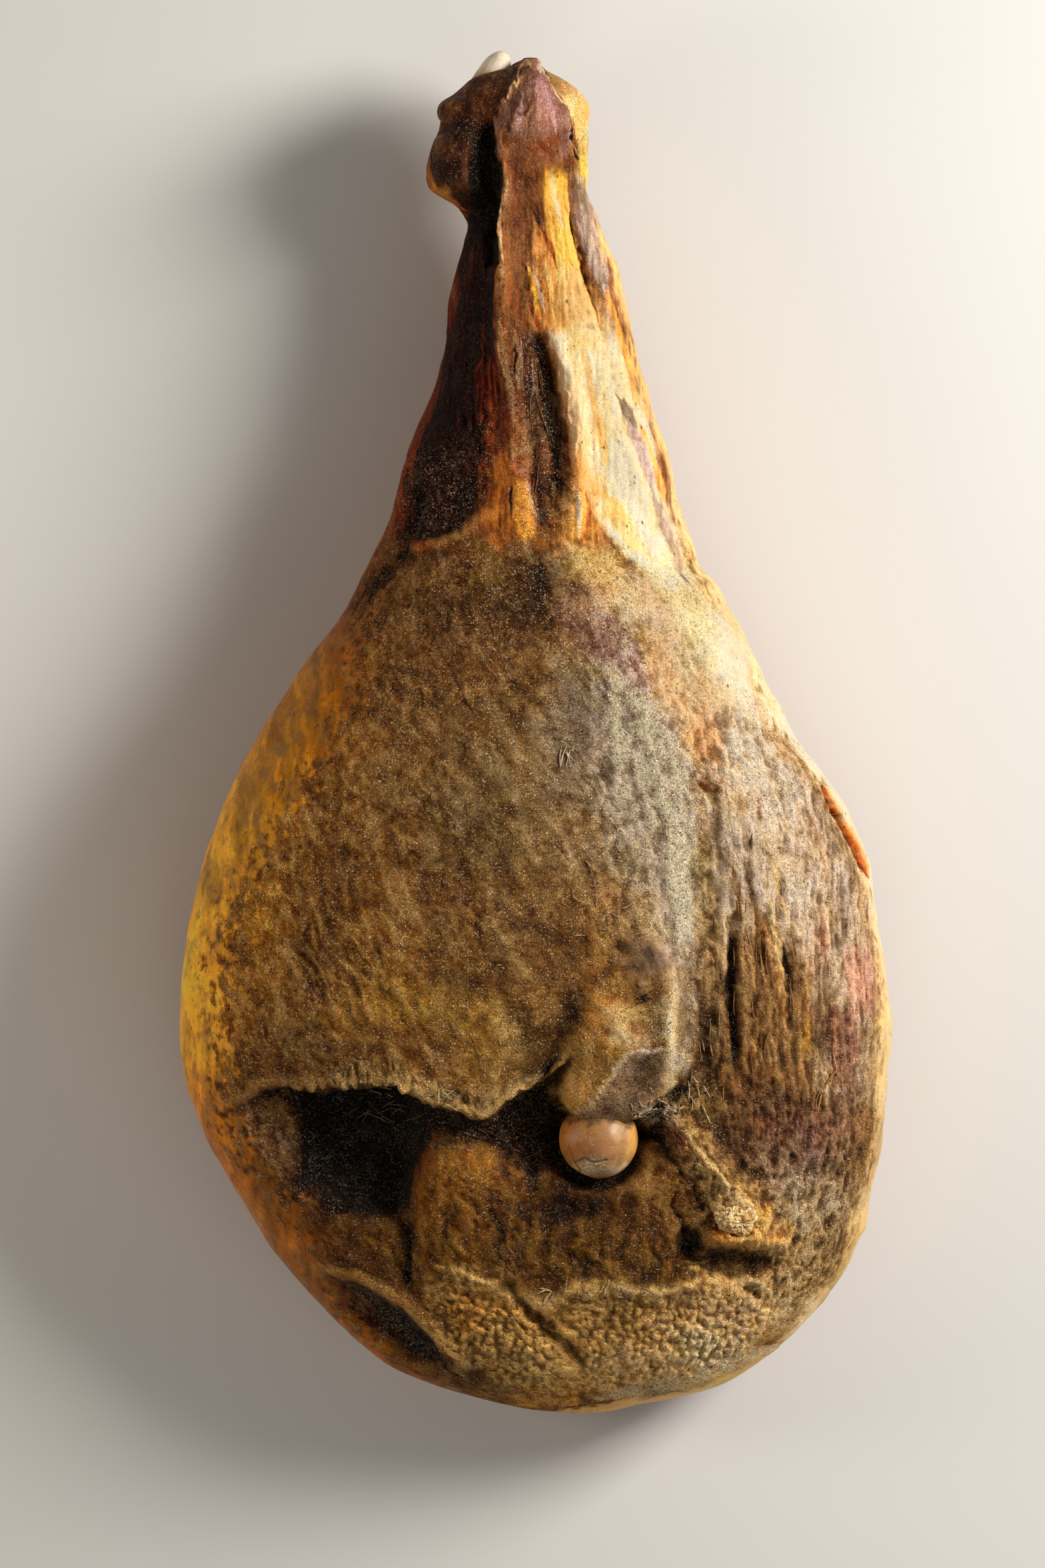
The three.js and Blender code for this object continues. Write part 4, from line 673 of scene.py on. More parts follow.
def build_surface():
    """Grid of points over the whole ham: rows from hock to butt, columns over the face and back under the rind."""
    y = station_list(ROWS)
    side = np.concatenate([np.linspace(0, 1, FACE_COLS + 1)[:-1], 1 + np.linspace(0, 1, RIND_COLS + 1)[:-1]])
    cols = len(side)
    Yg, Sg = np.meshgrid(y, side, indexing="ij")
    Yg, Sg = Yg.ravel(), Sg.ravel()
    L = pchip(OUTLINE, 1, Yg)
    R = pchip(OUTLINE, 2, Yg)
    mid, half = (L + R) / 2, (R - L) / 2
    z0 = pchip(HEIGHTS, 2, Yg)
    over = Sg < 1
    ang = np.pi * np.where(over, Sg, Sg - 1)
    c, s = np.cos(ang), np.clip(np.sin(ang), 0, 1)
    n = np.where(over, FACE_FULLNESS, RIND_FULLNESS)
    across = np.sign(c) * np.abs(c) ** (2 / n) * np.where(over, -1, 1)
    up = s ** (2 / n)
    X = mid + half * across
    Y = np.where(over, Yg + follow_flap(X, Yg) * sstep(0.1, 0.6, s), Yg)
    crest = pchip(HEIGHTS, 1, Y)
    under = pchip(HEIGHTS, 3, Y)
    rise = np.where(over, crest - z0, z0 - under)
    Z = z0 + np.where(over, 1, -1) * rise * up
    out = np.stack([across / half, np.zeros_like(X), np.where(over, 1, -1) * up / rise], 1)
    out /= np.linalg.norm(out, axis=1)[:, None]
    P = np.stack([X, Y, Z], 1)
    return P, out, s, over, cols


def relief_of(P, out, s, over):
    X, Y = P[:, 0], P[:, 1]
    px, py = to_plan(X, Y)
    face = np.nonzero(over)[0]
    d = np.zeros(len(X))
    fx, fy = px[face], py[face]
    big = hollow(X[face], Y[face], 2.6)
    big += fold_relief(fx, fy, FOLDS, 0.9)
    for cx, cy, rx, ry, turn, h, k in SWELLINGS:
        big += h * blob(fx, fy, cx, cy, rx, ry, -turn, k)
    fine, lard = fine_relief(P[face], fx, fy)
    d[face] = (big + fine * sstep(0.0, 0.15, s[face])) * sstep(0.0, 0.3, s[face]) + 0
    lard_all = np.zeros(len(X))
    lard_all[face] = lard
    return d, lard_all, px, py


# ---------------------------------------------------------------- colour, painted on the plan grid


def lin(c):
    c = np.asarray(c, float) / 255.0
    return np.where(c <= 0.04045, c / 12.92, ((c + 0.055) / 1.055) ** 2.4)


LEFT_RIM = [(78, 700), (160, 690), (330, 668), (560, 640), (700, 608), (830, 575), (900, 545), (950, 540), (1000, 535), (1050, 528), (1100, 505), (1150, 476), (1200, 446), (1250, 414), (1300, 384), (1350, 362), (1400, 346), (1450, 338), (1500, 334), (1550, 336), (1600, 344), (1650, 345), (1700, 365), (1750, 395), (1800, 440), (1850, 465), (1900, 480), (1950, 510), (2000, 552), (2030, 590), (2060, 640), (2090, 700), (2122, 780)]
RIGHT_RIM = [(78, 905), (250, 905), (350, 893), (400, 915), (450, 928), (500, 936), (550, 948), (600, 962), (650, 978), (700, 995), (750, 1003), (800, 1022), (850, 1040), (880, 1060), (950, 1090), (1000, 1118), (1050, 1140), (1100, 1165), (1150, 1200), (1180, 1228), (1250, 1265), (1300, 1285), (1350, 1300), (1400, 1308), (1500, 1318), (1600, 1315), (1700, 1306), (1800, 1285), (1850, 1270), (1900, 1250), (1950, 1215), (2000, 1175), (2030, 1140), (2060, 1090), (2085, 1020), (2100, 950), (2110, 880), (2122, 820)]

# kind, outline or line or (x, y, rx, ry, turn), border or width, colour, strength, how ragged the edge is (0 to 1)
PAINT = [
    # broad zones of the cut face
    ("blob", (520, 1350, 240, 240, 0), 1.0, (124, 88, 40), 0.8, 0.5),
    ("blob", (430, 1130, 60, 150, 24), 1.0, (160, 112, 42), 0.75, 0.9),
    ("blob", (640, 1010, 190, 110, 20), 1.0, (116, 78, 38), 0.75, 0.6),
    ("blob", (740, 1120, 170, 120, 0), 1.0, (128, 92, 54), 0.6, 0.8),
    ("blob", (860, 1130, 70, 120, 0), 1.0, (140, 116, 90), 0.75, 0.6),
    ("blob", (850, 1290, 90, 120, 0), 1.0, (142, 110, 74), 0.7, 0.7),
    ("poly", [(900, 1020), (960, 1050), (1030, 1100), (1056, 1180), (1058, 1320), (1046, 1440), (1000, 1450), (940, 1400), (918, 1300), (900, 1160)], 30, (194, 176, 150), 0.88, 0.6),
    ("blob", (620, 1500, 120, 46, -8), 1.0, (172, 130, 66), 0.7, 0.8),
    ("blob", (750, 1552, 90, 60, 20), 1.0, (160, 128, 72), 0.75, 0.7),
    ("blob", (400, 1440, 60, 190, 0), 1.0, (160, 112, 50), 0.6, 0.7),
    ("blob", (470, 1430, 50, 110, 10), 1.0, (92, 62, 26), 0.65, 0.9),
    ("blob", (560, 1210, 90, 60, -30), 1.0, (96, 66, 32), 0.5, 1.0),
    ("blob", (640, 1250, 70, 60, 10), 1.0, (104, 72, 34), 0.5, 1.0),
    ("blob", (700, 1430, 80, 60, 30), 1.0, (104, 74, 30), 0.55, 1.0),
    ("blob", (780, 1410, 60, 70, 10), 1.0, (98, 70, 42), 0.6, 1.0),
    ("blob", (650, 1340, 60, 50, 0), 1.0, (122, 76, 52), 0.3, 1.0),
    ("blob", (380, 1590, 70, 44, 0), 1.0, (84, 58, 30), 0.75, 0.8),
    ("blob", (600, 1570, 70, 36, -10), 1.0, (104, 74, 36), 0.6, 0.9),
    ("blob", (540, 1070, 34, 64, 15), 1.0, (150, 102, 40), 0.6, 1.0),
    ("blob", (520, 990, 30, 60, 25), 1.0, (84, 54, 24), 0.6, 0.9),
    ("blob", (610, 1070, 50, 90, 10), 1.0, (108, 76, 42), 0.5, 1.0),
    ("blob", (790, 900, 76, 66, 0), 1.0, (62, 36, 17), 0.92, 0.8),
    ("blob", (690, 870, 60, 44, 0), 1.0, (98, 62, 26), 0.75, 0.8),
    ("blob", (740, 990, 70, 60, 0), 1.0, (104, 72, 42), 0.6, 0.9),
    ("blob", (740, 1210, 60, 80, 30), 1.0, (136, 106, 66), 0.4, 1.0),
    ("blob", (930, 1370, 50, 50, 0), 1.0, (128, 106, 80), 0.6, 0.9),
    ("blob", (845, 1420, 44, 50, 0), 1.0, (108, 72, 50), 0.5, 1.0),
    ("blob", (860, 1500, 40, 40, 0), 1.0, (112, 80, 46), 0.6, 1.0),
    ("blob", (920, 1340, 30, 26, 0), 1.0, (140, 86, 62), 0.45, 0.9),
    ("poly", [(835, 885), (905, 880), (955, 960), (990, 1040), (955, 1045), (890, 1000), (840, 950)], 16, (112, 78, 76), 0.8, 0.7),
    ("poly", [(940, 860), (1040, 850), (1110, 960), (1160, 1080), (1130, 1180), (1060, 1150), (1010, 1080), (980, 1000)], 26, (220, 182, 138), 0.9, 0.8),
    ("poly", [(1050, 1080), (1120, 1060), (1240, 1220), (1300, 1350), (1320, 1500), (1300, 1650), (1220, 1660), (1150, 1600), (1070, 1500), (1056, 1300)], 22, (206, 180, 150), 0.92, 0.6),
    ("poly", [(1078, 1392), (1150, 1380), (1205, 1440), (1226, 1520), (1225, 1650), (1180, 1700), (1090, 1690), (1066, 1560)], 24, (116, 80, 44), 0.9, 0.9),
    ("line", [(1010, 1240), (1024, 1320), (1022, 1420), (1020, 1520), (1024, 1600)], [30, 30, 30, 28, 22], (206, 186, 158), 0.9, 0.6),
    # painted highlight on the fat shoulder
    ("blob", (1085, 990, 26, 60, -20), 1.0, (250, 236, 200), 0.9, 0.5),
    ("blob", (1036, 930, 30, 70, -24), 1.0, (246, 220, 158), 0.75, 0.8),
    ("blob", (1060, 1110, 30, 50, 0), 1.0, (196, 124, 66), 0.6, 1.0),
    ("blob", (990, 1010, 20, 60, -20), 1.0, (180, 126, 84), 0.55, 1.0),
    ("blob", (1056, 1182, 30, 12, 0), 1.0, (104, 52, 28), 0.85, 0.8),
    ("blob", (1110, 1200, 34, 34, 0), 1.0, (178, 146, 118), 0.6, 0.8),
    ("blob", (730, 862, 26, 34, 0), 1.0, (146, 122, 40), 0.45, 0.8),
    # dark band at the left, under the fold of the shank
    ("poly", [(612, 700), (640, 690), (618, 800), (575, 880), (530, 960), (470, 1040), (440, 1040), (520, 910), (590, 780)], 14, (120, 68, 22), 0.8, 0.6),
    ("line", [(640, 690), (632, 740), (625, 790), (600, 830), (566, 880), (530, 925)], [7, 10, 14, 26, 26, 10], (64, 40, 18), 0.85, 0.6),
    ("line", [(600, 860), (560, 920), (520, 980)], [6, 8, 6], (196, 138, 62), 0.5, 0.6),
    ("line", [(626, 825), (664, 812), (696, 799), (728, 772)], [8, 9, 9, 8], (172, 124, 70), 0.85, 0.6),
    # shank: ground colour, lean at the left, dust
    ("poly", [(690, 250), (760, 230), (900, 250), (985, 560), (1020, 800), (880, 830), (760, 820), (640, 800), (640, 650), (690, 330)], 12, (136, 88, 48), 0.95, 0.5),
    # the lean at the left of the shank nearly black, partly its own colour and partly painted shade
    ("poly", [(690, 300), (756, 300), (758, 420), (752, 520), (744, 600), (716, 660), (640, 680), (612, 690), (655, 540), (675, 440)], 10, (42, 16, 5), 0.97, 0.4),
    ("poly", [(690, 596), (742, 640), (740, 720), (704, 800), (640, 822), (612, 800), (612, 700), (640, 650)], 14, (46, 22, 9), 0.96, 0.7),
    ("line", [(684, 400), (672, 480), (660, 560), (648, 620)], [3, 4, 4, 3], (104, 54, 18), 0.7, 0.7),
    ("line", [(718, 470), (716, 540), (708, 610)], [3, 4, 4], (112, 60, 22), 0.6, 0.7),
    ("line", [(700, 350), (694, 420), (684, 500)], [2.5, 3, 3], (84, 46, 20), 0.6, 0.6),
    ("line", [(664, 500), (646, 590), (628, 660), (612, 720)], [5, 6, 7, 6], (128, 72, 26), 0.8, 0.7),
    ("poly", [(724, 548), (764, 544), (772, 640), (762, 690), (730, 690), (716, 630)], 8, (98, 44, 13), 0.9, 0.6),
    ("line", [(738, 552), (742, 620), (740, 680)], [3, 4, 4], (146, 74, 26), 0.6, 0.6),
    ("line", [(756, 590), (762, 640), (758, 690)], [2.5, 3, 3], (150, 72, 24), 0.6, 0.6),
    ("line", [(724, 690), (728, 730), (730, 780)], [12, 14, 12], (120, 64, 24), 0.75, 0.8),
    # brown column of the middle with its dust, and what lies right of it
    ("poly", [(750, 262), (806, 250), (812, 330), (820, 400), (800, 490), (770, 520), (760, 420), (758, 330)], 8, (134, 92, 56), 0.9, 0.5),
    ("poly", [(806, 330), (838, 380), (846, 440), (838, 500), (806, 500), (786, 470), (788, 400)], 9, (206, 146, 78), 0.9, 0.6),
    ("poly", [(812, 236), (846, 245), (862, 330), (885, 430), (862, 490), (838, 420), (824, 360), (816, 300)], 6, (250, 198, 98), 0.96, 0.3),
    ("poly", [(840, 400), (880, 420), (914, 470), (930, 530), (880, 560), (840, 520), (836, 450)], 12, (242, 196, 122), 0.95, 0.5),
    ("line", [(822, 246), (832, 296), (848, 350)], [5, 6, 5], (253, 234, 170), 0.8, 0.4),
    ("line", [(806, 296), (806, 330), (812, 352)], [4, 5, 4], (54, 26, 18), 0.92, 0.5),
    ("line", [(812, 352), (826, 376), (836, 404)], [5, 6, 5], (132, 62, 24), 0.85, 0.5),
    ("line", [(790, 402), (800, 440), (810, 476)], [5, 6, 4], (242, 182, 72), 0.92, 0.4),
    ("line", [(800, 404), (810, 444), (818, 480)], [2, 2.5, 2], (250, 226, 176), 0.75, 0.3),
    ("line", [(816, 396), (828, 440), (834, 490)], [4, 5, 4], (240, 192, 104), 0.85, 0.4),
    ("line", [(786, 404), (792, 450), (806, 490), (824, 520)], [2.5, 3, 4, 5], (122, 54, 16), 0.85, 0.4),
    ("line", [(770, 420), (776, 466), (792, 505)], [7, 8, 8], (150, 88, 38), 0.8, 0.7),
    ("poly", [(851, 245), (872, 258), (896, 330), (914, 410), (908, 450), (886, 396), (864, 310)], 4, (182, 166, 136), 0.95, 0.7),
    ("line", [(856, 262), (866, 300), (878, 350)], [3.5, 4, 3.5], (118, 92, 76), 0.8, 0.5),
    ("line", [(908, 430), (914, 480), (922, 540)], [5, 6, 5], (176, 152, 128), 0.6, 0.8),
    ("line", [(858, 312), (866, 345), (872, 376)], [2, 2.6, 2.6], (44, 22, 10), 0.97, 0.2),
    ("line", [(872, 376), (882, 410), (890, 450), (902, 492)], [4, 4.5, 4.5, 3], (112, 62, 26), 0.9, 0.4),
    ("line", [(880, 420), (890, 452), (906, 500)], [2, 2.5, 2], (228, 160, 58), 0.7, 0.4),
    ("line", [(852, 258), (858, 300), (864, 330)], [2, 3, 2.5], (120, 82, 52), 0.7, 0.4),
    # dusty pit beside the column
    ("poly", [(784, 508), (808, 508), (820, 560), (834, 620), (844, 690), (850, 740), (842, 786), (812, 796), (792, 700), (786, 600)], 9, (82, 46, 26), 0.9, 0.8),
    ("line", [(808, 520), (816, 580), (826, 640), (836, 700)], [5, 7, 8, 7], (38, 17, 8), 0.9, 0.7),
    ("line", [(797, 700), (812, 750), (820, 800)], [12, 15, 14], (92, 42, 16), 0.7, 0.8),
    ("line", [(820, 750), (834, 780), (846, 800)], [8, 9, 8], (152, 92, 38), 0.7, 0.8),
    ("line", [(774, 500), (778, 540), (779, 590)], [2.6, 4, 2.6], (196, 166, 108), 0.95, 0.3),
    ("line", [(780, 505), (783, 540), (783, 580)], [1.6, 2.2, 1.6], (232, 218, 190), 0.9, 0.3),
    ("line", [(799, 540), (801, 590), (800, 630)], [1.6, 2.2, 1.6], (206, 196, 180), 0.75, 0.4),
    ("line", [(788, 600), (792, 660), (800, 720)], [5, 7, 6], (150, 118, 78), 0.75, 0.8),
    ("line", [(808, 520), (822, 556), (828, 590)], [4, 4.5, 4], (132, 62, 20), 0.85, 0.4),
    ("line", [(838, 600), (848, 650), (856, 710)], [4, 4.5, 4.5], (104, 44, 16), 0.85, 0.5),
    # fat of the shank
    ("poly", [(826, 505), (870, 486), (930, 510), (965, 620), (985, 720), (1014, 800), (1040, 880), (1000, 890), (950, 850), (900, 790), (868, 730), (860, 640)], 7, (248, 230, 182), 0.97, 0.35),
    ("blob", (880, 505, 44, 30, 0), 1.0, (240, 200, 130), 0.8, 0.7),
    ("line", [(868, 520), (878, 580), (892, 640), (900, 700)], [5, 6, 7, 6], (232, 182, 106), 0.75, 0.8),
    ("line", [(900, 740), (930, 790), (970, 840)], [14, 16, 14], (236, 192, 118), 0.8, 0.8),
    ("blob", (880, 740, 22, 50, -10), 1.0, (206, 146, 76), 0.75, 0.9),
    ("line", [(926, 500), (936, 560), (950, 620)], [3, 3.5, 3], (206, 146, 86), 0.6, 0.8),
    ("line", [(905, 560), (912, 600), (918, 640)], [6, 7, 6], (252, 244, 216), 0.8, 0.5),
    ("line", [(930, 680), (950, 740), (966, 780)], [9, 11, 9], (252, 244, 214), 0.8, 0.5),
    ("line", [(922, 600), (934, 620), (948, 645)], [6, 8, 7], (122, 104, 92), 0.85, 0.7),
    ("line", [(936, 630), (951, 667), (968, 712), (980, 745)], [7, 9, 9, 8], (190, 168, 168), 0.92, 0.4),
    ("line", [(980, 745), (992, 776), (1010, 830), (1030, 880)], [8, 10, 10, 7], (150, 128, 118), 0.85, 0.6),
    ("line", [(994, 770), (1000, 784)], [5, 5], (226, 210, 214), 0.8, 0.3),
    ("line", [(952, 640), (966, 672), (984, 716), (998, 760)], [3, 4, 5, 4], (226, 158, 72), 0.7, 0.6),
    ("line", [(976, 706), (986, 734), (994, 760)], [3, 4, 3], (176, 110, 48), 0.55, 0.7),
    ("line", [(908, 440), (926, 500), (942, 560), (958, 620)], [5, 6, 6, 5], (244, 170, 66), 0.75, 0.6),
    ("blob", (862, 630, 20, 90, -6), 1.0, (232, 190, 130), 0.8, 0.9),
    ("blob", (866, 730, 14, 50, 0), 1.0, (210, 150, 84), 0.8, 0.9),
    # amber wedge, swirl
    ("poly", [(740, 700), (764, 690), (790, 700), (800, 770), (806, 820), (740, 820), (724, 780)], 10, (176, 108, 46), 0.85, 0.7),
    ("poly", [(772, 724), (786, 716), (800, 766), (808, 812), (780, 812), (768, 780)], 6, (232, 156, 56), 0.92, 0.5),
    ("line", [(790, 722), (800, 766), (808, 800)], [3, 4, 4], (214, 176, 132), 0.8, 0.5),
    ("line", [(766, 690), (784, 706), (800, 740)], [5, 6, 5], (170, 104, 78), 0.75, 0.7),
    ("line", [(770, 732), (768, 756), (769, 784)], [2, 2.6, 2], (70, 26, 10), 0.95, 0.3),
    ("poly", [(838, 740), (866, 732), (884, 780), (872, 812), (846, 812), (836, 770)], 8, (196, 142, 72), 0.85, 0.7),
    ("line", [(858, 740), (862, 770), (866, 806)], [4, 5, 5], (190, 176, 136), 0.8, 0.6),
    ("line", [(874, 736), (882, 766), (878, 800), (866, 824)], [2.5, 3, 3, 3], (128, 66, 28), 0.85, 0.4),
    ("line", [(800, 812), (824, 826), (856, 830)], [10, 12, 10], (166, 110, 56), 0.75, 0.9),
    ("line", [(790, 800), (794, 830), (800, 850)], [6, 8, 8], (170, 144, 104), 0.6, 0.9),
    ("blob", (900, 850, 40, 26, 20), 1.0, (214, 160, 96), 0.8, 0.9),
    ("blob", (930, 900, 36, 36, 20), 1.0, (202, 152, 98), 0.8, 0.9),
    # lit left edge of the column and the dusty line it runs into
    ("line", [(749, 232), (757, 262), (758, 300), (758, 345), (759, 392)], [2.5, 3.4, 3.4, 3, 2.4], (244, 204, 146), 0.95, 0.2),
    ("line", [(760, 392), (752, 420), (748, 460), (752, 505), (764, 548), (772, 600), (775, 650)], [5, 7, 7, 6, 5, 4, 3], (160, 128, 88), 0.85, 1.0),
    ("line", [(742, 200), (744, 220), (752, 250)], [7, 7, 6], (120, 82, 56), 0.75, 0.7),
    # hock
    ("poly", [(690, 78), (905, 78), (905, 262), (760, 262), (690, 262), (636, 330), (636, 180)], 14, (120, 78, 46), 0.95, 0.5),
    ("poly", [(690, 110), (740, 118), (790, 96), (776, 130), (755, 166), (744, 200), (716, 214), (680, 200), (690, 150)], 8, (66, 36, 19), 0.92, 0.6),
    ("poly", [(643, 206), (700, 190), (716, 214), (712, 300), (704, 330), (650, 300), (636, 250)], 9, (52, 29, 13), 0.95, 0.6),
    ("line", [(648, 224), (650, 256), (668, 292), (696, 322)], [5, 6, 6, 5], (176, 112, 50), 0.85, 0.5),
    ("line", [(664, 282), (680, 292), (692, 312)], [5, 5, 4], (196, 134, 66), 0.7, 0.6),
    ("blob", (672, 226, 16, 18, 0), 1.0, (104, 62, 28), 0.7, 0.8),
    ("line", [(660, 210), (672, 186), (688, 168)], [7, 8, 7], (140, 96, 58), 0.7, 0.8),
    ("blob", (675, 170, 20, 20, 0), 1.0, (62, 34, 17), 0.9, 0.7),
    ("line", [(662, 172), (664, 160), (678, 153)], [3, 4, 3], (112, 70, 38), 0.7, 0.6),
    ("line", [(708, 110), (700, 126), (698, 150)], [6, 8, 7], (156, 108, 62), 0.85, 0.6),
    ("blob", (722, 146, 22, 24, 0), 1.0, (84, 50, 28), 0.7, 0.9),
    # painted shadow in the groove under the hock
    ("poly", [(714, 200), (748, 204), (757, 268), (757, 330), (755, 400), (712, 400), (704, 330), (706, 262)], 6, (14, 7, 5), 0.98, 0.3),
    ("poly", [(796, 92), (776, 128), (755, 164), (738, 200), (746, 244), (800, 250), (850, 240), (846, 200), (834, 165), (822, 139), (810, 116)], 4, (146, 112, 106), 0.95, 0.4),
    ("poly", [(790, 116), (772, 144), (756, 176), (742, 210), (764, 200), (790, 168)], 6, (98, 72, 78), 0.8, 0.7),
    ("poly", [(800, 110), (812, 130), (826, 160), (838, 196), (812, 200), (790, 176), (798, 140)], 7, (188, 142, 134), 0.8, 0.6),
    ("line", [(790, 100), (786, 120), (782, 140)], [4, 5, 4], (92, 58, 52), 0.75, 0.8),
    ("line", [(766, 206), (780, 190), (800, 184)], [6, 7, 6], (166, 122, 100), 0.7, 0.9),
    ("line", [(756, 214), (760, 232), (770, 246)], [7, 8, 8], (108, 72, 50), 0.8, 0.9),
    ("poly", [(742, 200), (790, 214), (826, 206), (836, 236), (812, 262), (800, 300), (786, 270), (774, 330), (764, 300), (756, 250)], 8, (134, 86, 64), 0.85, 1.0),
    ("line", [(770, 230), (772, 290), (776, 350)], [6, 7, 5], (120, 72, 46), 0.8, 1.0),
    ("line", [(800, 240), (802, 290), (806, 330)], [5, 5, 4], (128, 76, 48), 0.7, 1.0),
    ("line", [(776, 120), (770, 160), (762, 206)], [4, 6, 5], (64, 42, 44), 0.7, 1.0),
    ("line", [(796, 130), (794, 170), (790, 214)], [3, 5, 4], (74, 48, 48), 0.65, 1.0),
    ("line", [(812, 140), (820, 176), (826, 206)], [3, 4, 4], (214, 176, 168), 0.6, 1.0),
    ("line", [(782, 150), (778, 180), (776, 206)], [3, 4, 3], (196, 164, 164), 0.6, 1.0),
    ("line", [(790, 236), (806, 222), (822, 214), (838, 208)], [8, 9, 9, 6], (136, 76, 52), 0.85, 0.8),
    ("line", [(806, 226), (820, 234), (836, 236)], [5, 6, 5], (112, 52, 26), 0.8, 0.7),
    ("line", [(795, 92), (784, 108), (770, 134), (755, 161)], [2, 2.2, 2.2, 1.8], (206, 170, 138), 0.85, 0.3),
    ("line", [(801, 152), (783, 172), (765, 190)], [2.0, 2.4, 1.8], (104, 60, 50), 0.85, 0.3),
    ("line", [(801, 100), (806, 110), (810, 118)], [3.4, 4, 3], (236, 206, 172), 0.9, 0.3),
    ("line", [(798, 91), (811, 116), (824, 138), (836, 165)], [2.0, 2.2, 2.2, 2.0], (222, 196, 170), 0.9, 0.3),
    ("line", [(803, 92), (817, 116), (830, 142), (841, 170)], [2.4, 3, 3, 3], (34, 18, 14), 0.95, 0.3),
    ("poly", [(816, 104), (850, 118), (884, 199), (884, 250), (877, 279), (862, 230), (850, 196), (838, 160), (826, 130)], 5, (240, 204, 140), 0.95, 0.5),
    ("blob", (838, 130, 14, 18, -30), 1.0, (186, 142, 104), 0.7, 1.0),
    ("blob", (866, 170, 10, 22, -18), 1.0, (200, 146, 84), 0.5, 1.0),
    ("blob", (858, 222, 8, 14, -18), 1.0, (206, 146, 76), 0.6, 1.0),
    ("line", [(842, 184), (849, 209), (861, 231), (865, 250)], [3.6, 5, 5, 4], (22, 9, 8), 0.98, 0.2),
    ("line", [(848, 178), (858, 204), (868, 228)], [2, 2.5, 2.5], (140, 54, 26), 0.85, 0.4),
    ("poly", [(864, 244), (884, 232), (886, 270), (874, 280), (864, 264)], 4, (252, 212, 112), 0.92, 0.3),
    # right side: grooves, slit, patches
    ("line", [(1050, 1200), (1056, 1260), (1052, 1340)], [10, 10, 9], (140, 98, 60), 0.6, 0.9),
    ("line", [(1062, 1360), (1066, 1440), (1070, 1500)], [9, 10, 9], (150, 114, 74), 0.6, 0.9),
    ("line", [(1088, 1290), (1100, 1350), (1092, 1379)], [6, 6, 6], (112, 76, 44), 0.8, 0.6),
    ("line", [(1088, 1376), (1093, 1420), (1094, 1480), (1098, 1540), (1100, 1602)], [4, 6, 7, 6, 4], (46, 28, 14), 0.88, 0.9),
    ("line", [(1128, 1490), (1134, 1540), (1140, 1600)], [14, 16, 12], (96, 70, 44), 0.8, 0.8),
    ("line", [(1163, 1405), (1168, 1440), (1174, 1470), (1178, 1496)], [6, 8, 8, 5], (44, 26, 12), 0.95, 0.4),
    ("line", [(1106, 1285), (1120, 1350), (1136, 1420), (1148, 1470)], [4, 5, 6, 4], (98, 62, 32), 0.8, 0.5),
    ("line", [(1150, 1290), (1160, 1350), (1176, 1400)], [4, 6, 5], (224, 184, 130), 0.7, 0.6),
    ("line", [(1138, 1330), (1152, 1390), (1162, 1440), (1180, 1490)], [5, 6, 7, 5], (230, 190, 128), 0.8, 0.5),
    ("line", [(1190, 1290), (1200, 1360), (1206, 1430)], [8, 8, 6], (216, 188, 150), 0.7, 0.7),
    ("line", [(1222, 1372), (1228, 1410), (1222, 1440)], [4, 5, 4], (150, 74, 46), 0.7, 0.6),
    ("blob", (1222, 1420, 18, 40, 0), 1.0, (156, 108, 84), 0.5, 0.8),
    ("blob", (1052, 1330, 18, 60, 0), 1.0, (214, 180, 122), 0.6, 0.8),
    ("blob", (1062, 1440, 26, 60, 0), 1.0, (178, 146, 104), 0.6, 0.8),
    ("blob", (1062, 1540, 24, 50, 0), 1.0, (98, 88, 80), 0.7, 0.8),
    ("blob", (1020, 1560, 20, 60, 0), 1.0, (152, 128, 98), 0.6, 0.8),
    ("blob", (1228, 1240, 24, 50, -25), 1.0, (182, 158, 138), 0.6, 0.8),
    ("line", [(1200, 1220), (1216, 1262), (1232, 1320)], [4, 5, 4], (170, 130, 96), 0.6, 0.7),
    ("poly", [(1266, 1427), (1300, 1420), (1318, 1470), (1312, 1520), (1280, 1520), (1266, 1480)], 14, (192, 132, 116), 0.7, 0.6),
    ("poly", [(1236, 1505), (1282, 1500), (1290, 1560), (1276, 1630), (1244, 1625)], 12, (122, 74, 70), 0.8, 0.6),
    ("line", [(1250, 1500), (1250, 1560), (1244, 1620)], [3, 4, 3], (160, 100, 84), 0.6, 0.6),
    ("blob", (1200, 1556, 11, 18, 0), 1.0, (186, 146, 66), 0.65, 0.8),
    ("poly", [(1040, 1640), (1120, 1610), (1240, 1640), (1290, 1600), (1300, 1700), (1262, 1790), (1160, 1790), (1080, 1740)], 26, (102, 70, 52), 0.88, 0.8),
    ("blob", (1186, 1712, 60, 50, 0), 1.0, (116, 72, 68), 0.6, 0.9),
    ("blob", (1064, 1656, 22, 20, 0), 1.0, (206, 172, 110), 0.6, 0.9),
    ("line", [(1236, 1590), (1238, 1620), (1228, 1655)], [6, 8, 7], (196, 150, 100), 0.8, 0.7),
    ("blob", (1262, 1680, 30, 50, 0), 1.0, (146, 112, 88), 0.5, 0.9),
    ("blob", (1210, 1850, 90, 80, 0), 1.0, (166, 134, 94), 0.85, 0.8),
    ("blob", (1240, 1960, 60, 60, 0), 1.0, (184, 150, 102), 0.6, 0.8),
    # knob
    ("blob", (930, 1500, 90, 80, 0), 1.0, (146, 108, 56), 0.8, 0.7),
    ("poly", [(816, 1611), (840, 1574), (868, 1549), (907, 1618), (884, 1640), (861, 1662), (836, 1638)], 5, (150, 112, 56), 0.95, 0.5),
    ("poly", [(868, 1549), (937, 1572), (907, 1618)], 4, (172, 130, 74), 0.9, 0.4),
